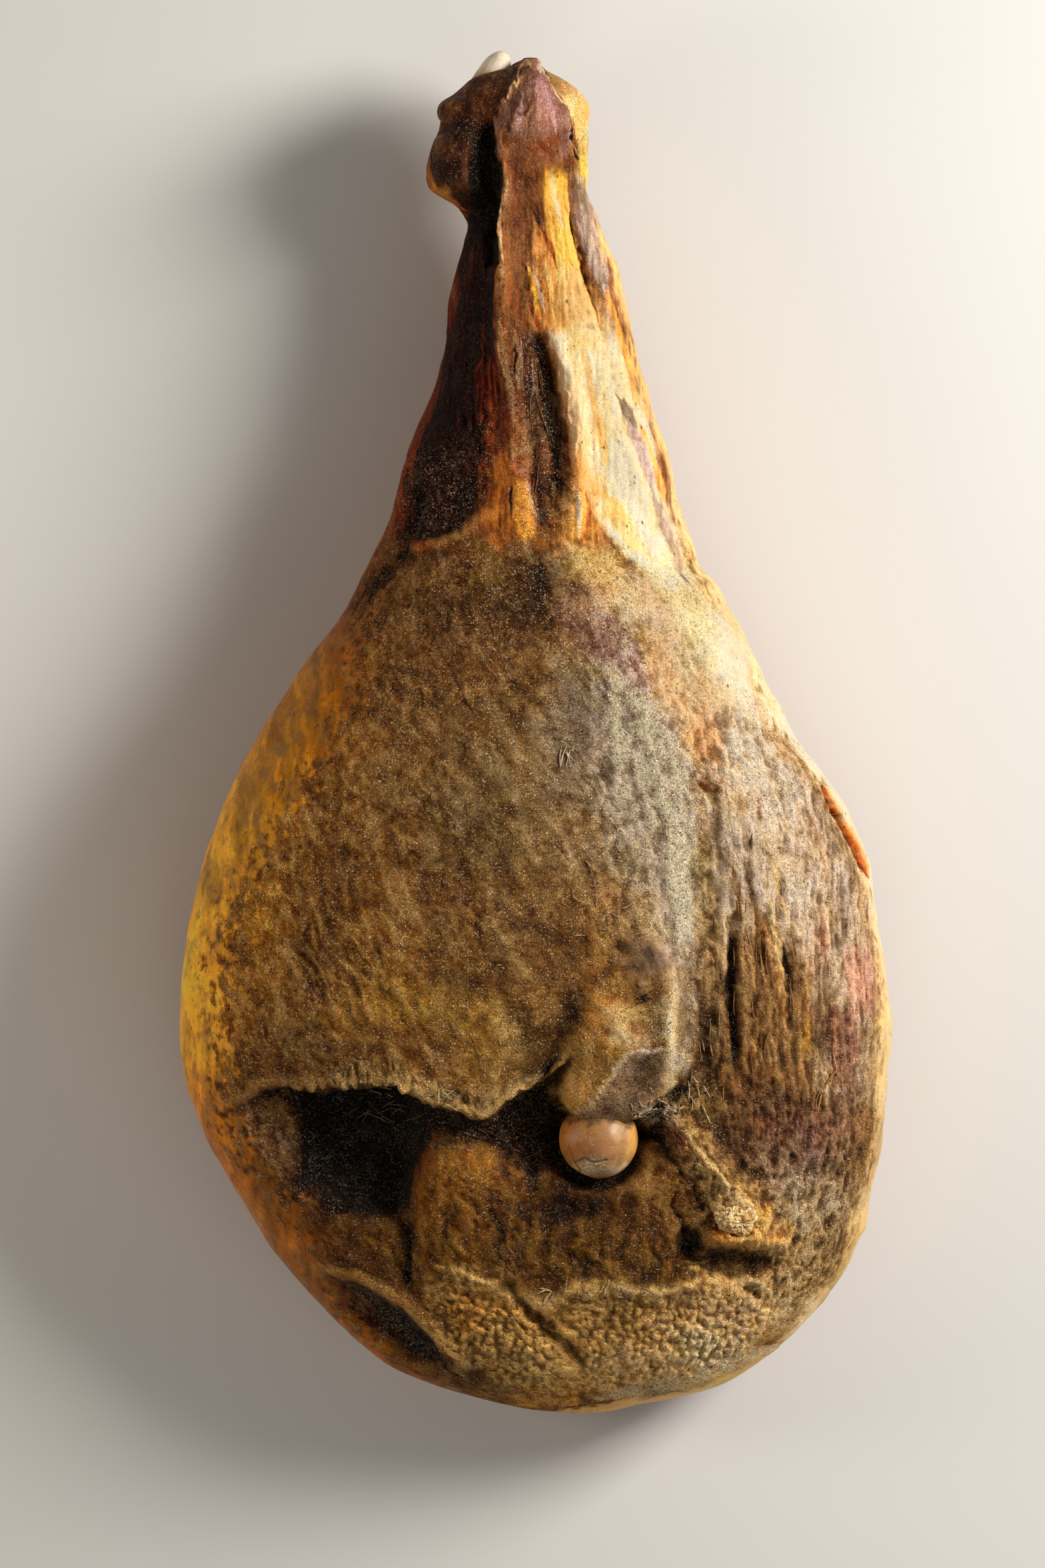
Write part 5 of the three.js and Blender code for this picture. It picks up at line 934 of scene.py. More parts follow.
    ("poly", [(907, 1618), (937, 1572), (989, 1568), (986, 1604), (983, 1640), (941, 1677), (861, 1662)], 4, (126, 106, 98), 0.95, 0.4),
    ("blob", (962, 1606, 22, 34, 10), 1.0, (78, 60, 66), 0.8, 0.9),
    ("blob", (926, 1640, 30, 18, -20), 1.0, (156, 132, 114), 0.6, 0.9),
    ("line", [(816, 1611), (836, 1640), (863, 1664), (905, 1675), (940, 1679), (966, 1660), (984, 1642)], [3, 3, 3.5, 3.5, 3.5, 3, 2.5], (186, 156, 112), 0.7, 0.8),
    ("line", [(861, 1662), (884, 1641), (907, 1618), (920, 1595), (937, 1572), (962, 1571), (989, 1568)], [2.2, 3, 3, 3, 3, 2.6, 2.4], (236, 212, 172), 0.9, 0.25),
    ("line", [(868, 1549), (890, 1536), (918, 1522), (938, 1512), (960, 1500)], [1.8, 2.2, 2.4, 2.2, 2], (230, 196, 140), 0.6, 0.6),
    ("poly", [(962, 1500), (1004, 1480), (1016, 1530), (1021, 1579), (1004, 1630), (985, 1640), (989, 1568)], 6, (222, 192, 142), 0.85, 0.6),
    ("blob", (966, 1437, 42, 34, 0), 1.0, (112, 98, 94), 0.85, 0.8),
    ("blob", (950, 1424, 20, 16, 0), 1.0, (84, 72, 74), 0.6, 0.9),
    ("poly", [(876, 1500), (905, 1492), (930, 1510), (930, 1546), (906, 1560), (880, 1560), (866, 1536)], 8, (178, 118, 52), 0.75, 0.8),
    ("poly", [(906, 1512), (936, 1500), (984, 1508), (980, 1560), (930, 1568), (906, 1556)], 8, (222, 186, 134), 0.8, 0.8),
    ("blob", (950, 1540, 12, 14, 0), 1.0, (170, 96, 66), 0.6, 0.8),
    ("blob", (920, 1544, 10, 10, 0), 1.0, (236, 206, 150), 0.7, 0.7),
    ("line", [(943, 1498), (956, 1486), (972, 1494)], [4, 5, 4], (40, 22, 16), 0.95, 0.3),
    ("line", [(946, 1478), (960, 1468), (968, 1480)], [3, 4, 3], (214, 178, 140), 0.9, 0.4),
    ("line", [(1000, 1482), (990, 1512), (992, 1548), (1004, 1588), (1000, 1620)], [4, 5, 5, 6, 4], (240, 216, 170), 0.8, 0.5),
    ("blob", (997, 1582, 14, 18, 0), 1.0, (234, 208, 160), 0.8, 0.5),
    ("line", [(790, 1620), (815, 1600), (838, 1572)], [5, 7, 6], (58, 36, 20), 0.9, 0.5),
    # hollow under the flap, its dark partly its own colour and partly painted shade
    ("poly", [(420, 1626), (492, 1624), (542, 1614), (590, 1616), (625, 1640), (650, 1654), (650, 1740), (630, 1820), (560, 1836), (490, 1826), (440, 1790), (416, 1720)], 26, (24, 13, 6), 0.97, 0.9),
    ("poly", [(640, 1652), (690, 1668), (722, 1678), (756, 1656), (780, 1636), (812, 1620), (850, 1680), (880, 1760), (960, 1790), (960, 1830), (880, 1830), (800, 1790), (740, 1720), (670, 1720)], 16, (50, 30, 15), 0.94, 0.6),
    ("blob", (462, 1772, 34, 30, 30), 1.0, (62, 36, 17), 0.7, 0.9),
    ("blob", (560, 1700, 40, 30, 0), 1.0, (26, 14, 8), 0.6, 0.6),
    # painted shadow under the ball
    ("blob", (868, 1800, 84, 38, -6), 1.0, (18, 9, 4), 0.97, 0.7),
    ("poly", [(630, 1722), (700, 1712), (744, 1730), (750, 1800), (740, 1890), (680, 1900), (630, 1880), (622, 1800)], 20, (142, 96, 34), 0.85, 0.7),
    ("blob", (820, 1830, 70, 50, 0), 1.0, (118, 80, 36), 0.75, 0.9),
    ("blob", (960, 1808, 60, 40, 0), 1.0, (126, 84, 32), 0.75, 0.8),
    ("blob", (900, 1880, 80, 40, 0), 1.0, (134, 98, 50), 0.7, 0.9),
    ("line", [(742, 1790), (748, 1840), (752, 1890)], [6, 8, 7], (66, 42, 20), 0.7, 0.7),
    ("line", [(607, 1800), (612, 1850), (608, 1900), (618, 1930)], [10, 14, 14, 10], (62, 38, 20), 0.7, 0.8),
    ("poly", [(496, 1852), (560, 1862), (584, 1900), (560, 1912), (508, 1896)], 12, (112, 58, 30), 0.8, 0.8),
    ("poly", [(398, 1790), (480, 1826), (600, 1826), (600, 1930), (520, 1900), (440, 1850)], 18, (122, 84, 42), 0.7, 0.8),
    ("poly", [(330, 1640), (400, 1640), (430, 1700), (440, 1750), (400, 1760), (350, 1710)], 16, (118, 92, 78), 0.85, 0.7),
    ("line", [(340, 1780), (400, 1840), (460, 1890)], [14, 16, 14], (176, 112, 44), 0.7, 0.7),
    # flap lip
    ("line", [(492, 1608), (542, 1600), (588, 1603), (620, 1618), (652, 1633), (690, 1646), (722, 1656), (750, 1636), (777, 1616), (804, 1603)], [14, 16, 18, 18, 18, 16, 14, 14, 12, 10], (170, 146, 106), 0.6, 1.0),
    ("line", [(664, 1622), (690, 1636), (716, 1650)], [2.4, 3, 2.4], (96, 74, 50), 0.75, 0.4),
    # ligament, stub surroundings, low cavities
    ("line", [(988, 1668), (1016, 1706), (1052, 1756), (1090, 1806), (1114, 1836)], [12, 18, 24, 28, 28], (152, 122, 84), 0.9, 0.8),
    ("line", [(1000, 1672), (1030, 1706), (1070, 1758), (1104, 1800)], [3, 4, 5, 6], (206, 176, 128), 0.7, 0.8),
    ("line", [(1004, 1700), (1034, 1744), (1064, 1790)], [2.5, 3, 3], (92, 62, 36), 0.7, 0.7),
    # painted shade along the trench left of the ligament
    ("line", [(984, 1694), (1004, 1730), (1034, 1774), (1064, 1818)], [5, 5, 6, 6], (50, 32, 17), 0.6, 0.9),
    ("blob", (985, 1664, 28, 16, -15), 1.0, (196, 178, 150), 0.8, 0.7),
    # painted shade in the gaps beside the knob
    ("blob", (972, 1698, 14, 9, 0), 1.0, (20, 12, 8), 0.95, 0.3),
    ("blob", (1016, 1634, 10, 9, 0), 1.0, (26, 16, 12), 0.9, 0.4),
    ("line", [(1010, 1680), (1020, 1710), (1024, 1740)], [4, 5, 4], (122, 62, 40), 0.8, 0.5),
    ("blob", (1084, 1846, 20, 12, 0), 1.0, (200, 116, 38), 0.85, 0.6),
    ("blob", (1150, 1810, 22, 34, 0), 1.0, (138, 92, 62), 0.6, 0.8),
    ("poly", [(1092, 1816), (1150, 1800), (1186, 1828), (1184, 1860), (1120, 1864), (1080, 1856)], 9, (206, 152, 86), 0.85, 0.9),
    ("blob", (1150, 1846, 12, 8, 0), 1.0, (150, 70, 36), 0.7, 0.9),
    ("blob", (1120, 1856, 10, 6, 0), 1.0, (176, 92, 36), 0.7, 0.9),
    # painted shade in the pit under the ligament and in the low hollow beside the stub
    ("blob", (1034, 1860, 20, 24, 0), 1.0, (30, 18, 10), 0.92, 0.5),
    ("poly", [(1050, 1868), (1120, 1868), (1180, 1876), (1176, 1892), (1120, 1908), (1056, 1908)], 14, (78, 52, 30), 0.55, 1.0),
    ("line", [(1018, 1892), (1040, 1897), (1068, 1884)], [4, 5, 4], (188, 158, 108), 0.85, 0.5),
    ("line", [(1000, 1800), (1014, 1840), (1024, 1880)], [5, 6, 5], (160, 116, 60), 0.7, 0.7),
    # dark wedge, butt, lard
    ("poly", [(482, 1902), (540, 1920), (600, 1952), (650, 2000), (690, 2052), (640, 2046), (570, 2010), (505, 1958)], 12, (38, 25, 15), 0.92, 0.6),
    ("line", [(482, 1898), (540, 1911), (607, 1946), (652, 1990), (698, 2048)], [8, 10, 12, 12, 9], (150, 112, 62), 0.8, 0.9),
    ("poly", [(640, 1905), (700, 1912), (770, 1945), (820, 1956), (866, 1932), (905, 1922), (950, 1938), (1000, 1936), (1060, 1912), (1130, 1925), (1170, 1960), (1130, 2010), (1050, 2060), (960, 2078), (860, 2084), (760, 2076), (690, 2040), (650, 1990)], 16, (196, 156, 100), 0.94, 0.6),
    ("line", [(652, 1893), (676, 1900), (700, 1903), (724, 1916), (768, 1937), (815, 1951), (838, 1938), (867, 1925), (904, 1917), (937, 1928), (966, 1936), (1002, 1928), (1049, 1911)], [12, 14, 14, 12, 12, 12, 12, 14, 14, 12, 12, 12, 12], (188, 160, 116), 0.75, 1.0),
    ("line", [(768, 1938), (801, 1970), (845, 2014), (884, 2050)], [4, 5, 3, 2], (84, 56, 32), 0.6, 0.9),
    ("line", [(883, 2014), (886, 2034), (880, 2050)], [4, 5, 4], (216, 192, 144), 0.8, 0.5),
    ("blob", (1060, 2016, 60, 40, 0), 1.0, (204, 182, 140), 0.6, 0.8),
    ("blob", (760, 2020, 70, 30, 15), 1.0, (178, 150, 108), 0.6, 0.8),
    ("line", [(1119, 1916), (1140, 1922), (1157, 1946)], [4, 5, 4], (196, 166, 118), 0.8, 0.5),
    ("line", [(900, 2096), (1000, 2080), (1090, 2046), (1160, 2016)], [16, 18, 18, 14], (228, 200, 156), 0.85, 0.6),
    ("line", [(700, 2090), (790, 2104), (870, 2100)], [10, 12, 12], (202, 150, 78), 0.8, 0.6),
]
# Where the surface is fat (smooth, with pores), dusty mould, or stringy lean: outline, border, amounts (dust, fat, fibre)
KINDS = [
    ("poly", [(690, 78), (905, 78), (905, 300), (640, 340), (636, 180)], 14, (0.45, 0.3, 0.25)),
    ("poly", [(690, 250), (900, 250), (985, 560), (1020, 800), (880, 830), (760, 820), (640, 800), (650, 560), (690, 330)], 14, (0.3, 0.35, 0.75)),
    ("line", [(760, 392), (752, 420), (748, 460), (752, 505), (764, 548), (772, 600), (775, 650)], [10, 12, 12, 12, 10, 8, 6], (1.0, 0.0, 0.3)),
    ("poly", [(780, 505), (814, 506), (830, 560), (858, 690), (862, 740), (850, 800), (780, 820), (770, 700)], 14, (1.0, 0.0, 0.35)),
    ("poly", [(690, 560), (742, 640), (740, 720), (704, 800), (640, 822), (612, 800), (630, 650)], 18, (1.0, 0.0, 0.2)),
    ("poly", [(808, 236), (846, 245), (885, 430), (930, 530), (965, 620), (985, 720), (1014, 800), (1040, 880), (1000, 890), (950, 850), (900, 790), (868, 730), (850, 600), (826, 505), (830, 420), (812, 330)], 12, (0.12, 0.95, 0.12)),
    ("poly", [(1050, 1080), (1120, 1060), (1240, 1220), (1300, 1350), (1320, 1500), (1300, 1700), (1200, 1740), (1090, 1720), (1050, 1500)], 26, (0.55, 0.15, 1.0)),
    ("poly", [(940, 860), (1040, 850), (1110, 960), (1160, 1080), (1100, 1120), (1040, 1120), (980, 1060)], 26, (0.5, 0.6, 0.15)),
    ("blob", (1085, 990, 30, 60, -20), 1.0, (0.1, 1.0, 0.0)),
    ("poly", [(440, 1640), (640, 1660), (900, 1780), (1100, 1900), (900, 1930), (620, 1930), (470, 1820)], 24, (0.7, 0.0, 0.6)),
    ("poly", [(430, 1634), (590, 1622), (650, 1660), (650, 1740), (620, 1816), (560, 1830), (490, 1820), (440, 1780)], 26, (0.3, 0.0, 0.6)),
    ("blob", (868, 1800, 84, 38, -6), 1.0, (0.3, 0.0, 0.5)),
    ("poly", [(690, 300), (756, 300), (752, 520), (744, 600), (700, 660), (640, 680), (612, 690), (675, 440)], 12, (0.15, 0.1, 0.8)),
    ("blob", (966, 1437, 46, 36, 0), 1.0, (0.3, 0.1, 0.0)),
    ("poly", [(640, 1905), (770, 1945), (866, 1932), (1060, 1912), (1170, 1960), (1050, 2060), (860, 2084), (690, 2040)], 18, (0.75, 0.1, 0.0)),
]


# edges and ridges painted lighter, as dust and painted highlight, and creases painted darker as shade: line, half
# width, how much lighter or darker
EDGES = [
    ([(861, 1662), (884, 1641), (907, 1618), (920, 1595), (937, 1572), (962, 1571), (989, 1568)], 3.0, 0.9),
    ([(816, 1611), (836, 1640), (863, 1664), (905, 1675), (940, 1679), (966, 1660), (984, 1642)], 3.2, 0.7),
    ([(868, 1549), (889, 1584), (907, 1618)], 2.4, 0.35),
    ([(868, 1549), (902, 1558), (937, 1572)], 2.4, 0.5),
    ([(868, 1549), (850, 1566), (834, 1590), (816, 1611)], 2.6, 0.5),
    ([(874, 1558), (893, 1590), (902, 1612)], 3.0, -0.3),
    ([(943, 1583), (962, 1582), (982, 1580)], 4.0, -0.4),
    ([(1000, 1482), (990, 1512), (992, 1548), (1004, 1588), (1000, 1620)], 4.0, 0.6),
    ([(492, 1612), (542, 1604), (588, 1607), (620, 1622), (652, 1637), (690, 1650), (722, 1660), (750, 1639), (777, 1620), (804, 1605)], 3.4, 0.7),
    ([(520, 1594), (588, 1592), (640, 1612), (690, 1632), (722, 1640)], 5.0, -0.22),
    ([(652, 1893), (676, 1900), (700, 1903), (724, 1916), (768, 1937), (815, 1951), (838, 1938), (867, 1925), (904, 1917), (937, 1928), (966, 1936), (1002, 1928), (1049, 1911)], 3.6, 0.6),
    ([(482, 1898), (540, 1911), (607, 1946), (652, 1990), (698, 2048)], 4.0, 0.45),
    ([(795, 92), (784, 108), (770, 134), (755, 161)], 2.0, 0.8),
    ([(798, 91), (811, 116), (824, 138), (836, 165)], 2.0, 0.9),
    ([(749, 232), (757, 262), (758, 300), (758, 345), (759, 392)], 2.2, 0.8),
    ([(996, 1664), (1028, 1706), (1066, 1758), (1100, 1800)], 3.2, 0.6),
    ([(1020, 1668), (1056, 1716), (1092, 1766), (1122, 1806)], 3.4, 0.4),
    ([(1018, 1892), (1040, 1897), (1068, 1884)], 3.0, 0.8),
    ([(1008, 1170), (1020, 1250), (1026, 1340), (1018, 1430), (1024, 1530)], 4.0, 0.35),
    ([(1040, 1230), (1044, 1300), (1050, 1380), (1046, 1450)], 2.6, 0.5),
    ([(1034, 1200), (1036, 1280), (1040, 1360), (1034, 1440)], 2.4, -0.3),
    ([(1122, 1300), (1136, 1360), (1146, 1420), (1166, 1500), (1170, 1580)], 3.0, 0.7),
    ([(1196, 1440), (1204, 1500), (1210, 1580), (1206, 1650)], 3.0, 0.6),
    ([(1176, 1500), (1184, 1560), (1188, 1630)], 2.6, -0.45),
    ([(1120, 1500), (1126, 1560), (1132, 1630)], 2.6, 0.8),
    ([(1074, 1500), (1078, 1570), (1086, 1640)], 2.6, 0.5),
    ([(1220, 1300), (1230, 1370), (1232, 1440)], 3.0, 0.35),
    ([(680, 990), (692, 1030), (706, 1066), (716, 1100)], 2.2, -0.5),
    ([(862, 512), (872, 570), (886, 640), (896, 700)], 3.0, 0.3),
    ([(846, 500), (858, 560), (866, 620)], 2.4, -0.3),
]
# soft places where the colour is lighter, darker, greyer or warmer, some of them painted light and shade: x, y, half
# sizes, turn, change of red, green and blue
TONES = [
    (740, 1180, 150, 190, 0, (-0.20, -0.06, 0.20)),
    (860, 1060, 44, 90, 0, (-0.22, -0.06, 0.30)),
    (944, 1004, 40, 60, -20, (0.95, 1.60, 2.70)),
    (1020, 1000, 40, 50, 0, (0.15, 0.40, 0.80)),
    (1100, 1080, 46, 60, 0, (0.10, 0.32, 0.65)),
    (945, 1088, 40, 60, 0, (0.45, 0.66, 1.00)),
    (940, 1240, 40, 80, 0, (0.28, 0.40, 0.45)),
    (940, 915, 34, 40, 0, (0.60, 1.15, 2.40)),
    (868, 845, 34, 26, 0, (0.80, 1.50, 3.00)),
    (940, 850, 34, 34, 0, (0.55, 0.90, 1.50)),
    (785, 915, 60, 36, 0, (-0.36, -0.46, -0.50)),
    (700, 840, 50, 26, 0, (-0.26, -0.40, -0.50)),
    (866, 680, 22, 40, 0, (0.85, 0.75, 1.05)),
    (868, 760, 20, 40, 0, (0.22, 0.32, 0.60)),
    (866, 600, 20, 40, 0, (0.55, 0.70, 1.20)),
    (780, 540, 18, 44, 0, (-0.60, -0.74, -0.80)),
    (780, 690, 18, 30, 0, (0.35, 0.40, 0.50)),
    (784, 606, 20, 44, 0, (-0.54, -0.66, -0.68)),
    (780, 440, 18, 36, 0, (-0.26, -0.16, 0.00)),
    (386, 1380, 40, 80, 0, (0.40, 0.60, 0.50)),
    # painted light at the foot of the knob
    (855, 1626, 28, 28, 0, (1.70, 1.70, 2.20)),
    (780, 1720, 40, 34, 0, (1.20, 0.80, 0.10)),
    (622, 1720, 26, 34, 0, (0.90, 0.35, -0.20)),
    (1100, 1715, 36, 40, 0, (-0.50, -0.50, -0.48)),
    (1180, 1640, 44, 30, 0, (-0.25, -0.24, -0.24)),
    (1262, 1640, 26, 40, 0, (-0.26, -0.22, -0.12)),
    # painted shadow under the ball and to its right
    (860, 1800, 60, 30, 0, (-0.50, -0.60, -0.60)),
    (944, 1806, 44, 34, 0, (-0.30, -0.40, -0.60)),
    (1016, 1800, 26, 50, 0, (-0.20, -0.25, -0.35)),
    # painted shade in the hollow under the flap
    (540, 1806, 70, 28, 0, (-0.30, -0.45, -0.50)),
    (462, 1724, 34, 50, 0, (-0.62, -0.68, -0.68)),
    (545, 1955, 34, 28, 0, (-0.50, -0.56, -0.60)),
    (622, 2012, 36, 34, 0, (-0.45, -0.50, -0.60)),
    (1020, 1960, 44, 30, 0, (-0.22, -0.20, 0.00)),
    (1100, 1960, 40, 34, 0, (-0.14, -0.10, 0.40)),
    (940, 2040, 50, 36, 0, (0.35, 0.40, 0.90)),
    (1180, 1800, 44, 44, 0, (0.05, 0.20, 0.70)),
    (1262, 1800, 30, 50, 0, (0.10, 0.25, 0.65)),
    (620, 790, 28, 60, 0, (0.22, -0.28, -0.65)),
    (540, 1000, 34, 44, 0, (0.36, 0.30, -0.30)),
    (700, 1150, 46, 50, 0, (-0.28, -0.33, -0.36)),
    # painted shade under the flap's lip
    (540, 1644, 60, 22, 0, (-0.55, -0.60, -0.60)),
    (702, 1960, 44, 34, 0, (0.40, 0.24, 0.00)),
    (1184, 1960, 40, 40, 0, (0.48, 0.90, 2.10)),
    (1256, 1880, 36, 60, 0, (-0.22, -0.22, -0.20)),
    (1020, 1270, 34, 120, 0, (0.55, 0.82, 1.15)),
    (1110, 1190, 60, 80, 0, (0.44, 0.54, 0.60)),
    (450, 1250, 46, 120, 16, (0.32, 0.34, 0.20)),
    (630, 1490, 60, 40, 0, (0.30, 0.46, 0.40)),
    (1110, 1805, 60, 40, 20, (0.34, 0.46, 0.60)),
]


def paint(P, px, py, over, s, hollow_depth, hi):
    """Linear colour, with painted light and shade in it, and the masks dust, fat, fibre for every point."""
    n = len(px)
    w1 = fbm(P, 13.0, 3, 51)
    w2 = fbm(P, 13.0, 3, 61)
    w3 = fbm(P, 2.6, 2, 71)
    w4 = fbm(P, 2.6, 2, 81)
    qx = px + 7.0 * w1 + 3.0 * w3
    qy = py + 7.0 * w2 + 3.0 * w4
    rag = fbm(P, 5.0, 4, 91, 0.6)
    # in the shank and the stringy lean the colours run along the leg
    lean = np.maximum(1 - sstep(760, 860, py), inside(px, py, [(1040, 1200), (1240, 1200), (1310, 1400), (1300, 1700), (1080, 1700), (1040, 1500)], 40))
    along_leg = fbm(P, (2.6, 34.0, 9.0), 3, 95, 0.6)
    along_2 = fbm(P, (5.5, 60.0, 14.0), 2, 97, 0.6)
    qx = qx * (1 - lean) + (px + 1.5 * w1 + 3.2 * along_leg + 3.0 * along_2) * lean
    qy = qy * (1 - lean) + (py + 9.0 * along_leg + 3.0 * w2) * lean
    rag = rag * (1 - lean) + (0.45 * rag + 0.9 * along_leg) * lean
    # base: cut face between the rims of rind fat
    col = np.tile(lin((128, 92, 50)), (n, 1))
    dust = np.full(n, 0.9)
    fat = np.zeros(n)
    fibre = np.zeros(n)
    left = pchip(LEFT_RIM, 1, qy)
    right = pchip(RIGHT_RIM, 1, qy)
    lr = 1 - sstep(-20, 20, qx - left + (12 + 34 * sstep(860, 1000, py)) * rag)
    rr = sstep(-12, 12, qx - right + 10 * rag)
    deep_l = 1 - sstep(-70, -8, qx - left)
    gold = lin((246, 182, 62)) * (0.55 + 0.45 * deep_l[:, None]) + lin((196, 124, 40)) * (0.45 - 0.45 * deep_l[:, None])
    t = np.clip((py - 250) / 1900, 0, 1)[:, None]
    rcol = np.where(t < 0.45, lin((242, 192, 104)) * (1 - t / 0.45) + lin((240, 216, 170)) * (t / 0.45), lin((240, 216, 170)) * (1 - (t - 0.45) / 0.55) + lin((224, 172, 96)) * ((t - 0.45) / 0.55))

    def lay(mask, c):
        nonlocal col
        col = col * (1 - mask[:, None]) + c * mask[:, None]

    def mask_of(kind, shape, wide, x, y):
        if kind == "poly":
            return inside(x, y, shape, wide)
        if kind == "blob":
            return np.clip(blob(x, y, *shape, 1.3) * 1.15, 0, 1)
        wide = np.atleast_1d(np.asarray(wide, float))
        d, at = along(x, y, shape, wide.max() * 1.8)
        ww = spread(wide, at)
        end = np.minimum(at, len(shape) - 1 - at)
        ww = ww * (0.35 + 0.65 * sstep(0.0, 0.7, end))
        return 1 - sstep(0.45, 1.25, d / ww)

    for kind, shape, wide, c, k, ragged in PAINT:
        m = mask_of(kind, shape, wide, qx, qy)
        m = np.clip(m + ragged * 0.55 * rag * (4 * m * (1 - m) + 0.18 * (m > 0.02)), 0, 1) * k
        lay(m, lin(c))
    for kind, shape, wide, amounts in KINDS:
        m = mask_of(kind, shape, wide, qx, qy)
        dust += m * (amounts[0] - dust)
        fat += m * (amounts[1] - fat)
        fibre += m * (amounts[2] - fibre)
    # rims of rind fat, over the face's own edge but under the shank; the left rim's gold carries painted light and
    # shade, brightest around the lower middle and darker towards the shank and the butt
    low = sstep(600, 860, py)
    lm = lr * np.where(py < 860, 0.85 * low + 0.35 * (1 - low), 1)
    lm *= sstep(240, 420, py)
    # painted light and shade along the left rim
    shade = np.interp(py, [900, 1000, 1150, 1300, 1450, 1580, 1660, 1760, 1850, 2120], [0.42, 0.52, 0.78, 0.98, 1.2, 1.15, 0.75, 0.5, 0.42, 0.5])[:, None]
    lay(lm * 0.95, gold * shade ** np.array([1.0, 1.25, 1.6]))
    rm = rr * sstep(285, 330, py)
    lay(rm * 0.95, rcol)
    rim = np.clip(lm + rm, 0, 1)
    # a brown halo inside each rim
    halo = np.exp(-(((qx - left - 16) / 18) ** 2)) * sstep(880, 1000, py) * (0.5 + 0.5 * rag)
    lay(np.clip(halo, 0, 1) * 0.55, lin((138, 84, 34)))
    halo = np.exp(-(((qx - right + 12) / 12) ** 2)) * sstep(900, 1000, py) * (0.5 + 0.6 * rag)
    lay(np.clip(halo, 0, 1) * 0.4, lin((140, 96, 56)))
    dust = dust * (1 - rim) + 0.12 * rim
    fat = fat * (1 - rim) + 1.0 * rim
    fibre = fibre * (1 - rim)
    # cut in the fat at the right
    m = mask_of("line", [(1229, 1172), (1241, 1203), (1254, 1222), (1270, 1246), (1284, 1270), (1294, 1292), (1304, 1316)], [5, 8, 9, 9, 9, 8, 4], px, py)
    lay(m, lin((196, 104, 30)))
    m = mask_of("line", [(1229, 1172), (1241, 1203), (1254, 1222), (1270, 1246), (1284, 1270), (1294, 1292), (1304, 1316)], [2, 3, 3.5, 4, 4, 3, 2], px, py)
    lay(m * 0.8, lin((108, 44, 14)))
    # rind side
    back = ~over
    amber = lin((176, 112, 50)) * (1 + 0.35 * fbm(P, 34.0, 3, 101)[:, None])
    brown = lin((96, 60, 28))
    k = sstep(-0.2, 0.7, fbm(P, 22.0, 4, 111))[:, None]
    rind = amber * (1 - 0.55 * k) + brown * 0.55 * k
    edge = sstep(0.0, 0.42, s)[:, None]
    leg = (1 - sstep(560, 900, py))[:, None]
    # the left rind side carries the same painted light and shade as the left rim, and turns dark brown along the leg
    side_l = (gold * shade ** np.array([1.0, 1.25, 1.6])) * (1 - leg) + lin((92, 50, 22)) * leg
    side_r = rcol * (1 - 0.35 * edge)
    side_l = side_l * np.array([0.94, 0.86, 2.4])
    rind = np.where(px[:, None] < 805, side_l, side_r) * (1 - edge) + rind * edge
    hk = 1 - sstep(230, 420, py)
    rind = rind * (1 - 0.6 * hk[:, None]) + lin((120, 76, 38)) * 0.6 * hk[:, None]
    col = np.where(back[:, None], rind, col)
    dust = np.where(back, 0.25, dust)
    fat = np.where(back, 0.75, fat)
    fibre = np.where(back, 0.0, fibre)
    # general variation, and painted shade in the hollows
    big = fbm(P, 26.0, 4, 121)[:, None]
    # on the face the tones drift from the upper left to the lower right
    ca, sa = math.cos(math.radians(28)), math.sin(math.radians(28))
    D = np.stack([P[:, 0] * ca + P[:, 1] * sa, -P[:, 0] * sa + P[:, 1] * ca, P[:, 2]], 1)
    mid = (0.45 * fbm(P, 6.0, 4, 131) + 0.75 * fbm(D, (4.0, 15.0, 8.0), 4, 133, 0.6))[:, None]
    col = col * np.clip(1 + 0.20 * big + 0.22 * mid * (1 - 0.6 * fat[:, None]), 0.4, 1.7)
    W = D + 9.0 * np.stack([fbm(P, 60.0, 2, 135), fbm(P, 60.0, 2, 136), 0 * P[:, 0]], 1)
    flow = fbm(W, (6.5, 30.0, 14.0), 5, 137, 0.62)
    drift = (sstep(-0.02, 0.75, flow) * dust * (1 - fat) * over * (1 - lean))[:, None]
    col = col * (1 - 0.34 * drift) + lin((184, 158, 118)) * 0.34 * drift * np.clip(col.mean(1)[:, None] / 0.07, 0.25, 1.2)
    drift = (sstep(0.05, -0.55, flow) * (1 - fat) * over * (1 - lean))[:, None]
    col = col * (1 - drift * np.array([0.24, 0.21, 0.24]))
    col = col * np.clip(1 + fbm(P, 62.0, 2, 139)[:, None] * (over * (1 - lean))[:, None] * np.array([0.30, 0.22, 0.06]), 0.5, 1.5)
    warm = fbm(P, 12.0, 3, 141)[:, None]
    col = col * np.clip(1 + warm * np.array([0.06, 0.0, -0.14]), 0.5, 1.5)
    streak = fbm(P, (1.7, 26.0, 6.0), 3, 151, 0.65)[:, None]
    col = col * np.clip(1 + (0.15 + 0.5 * fibre[:, None]) * streak, 0.3, 1.7)
    # a band of painted light at the right of the face
    strip = sstep(968, 992, px) * (1 - sstep(1040, 1066, px)) * sstep(1150, 1210, py) * (1 - sstep(1590, 1640, py)) * over
    # painted shade in the hollows, less of it on the lit band at the right of the face
    hollow_shade = (np.clip(hollow_depth, 0, 1) * (1 - 0.75 * strip))[:, None]
    col = col * (1 - 0.62 * hollow_shade)
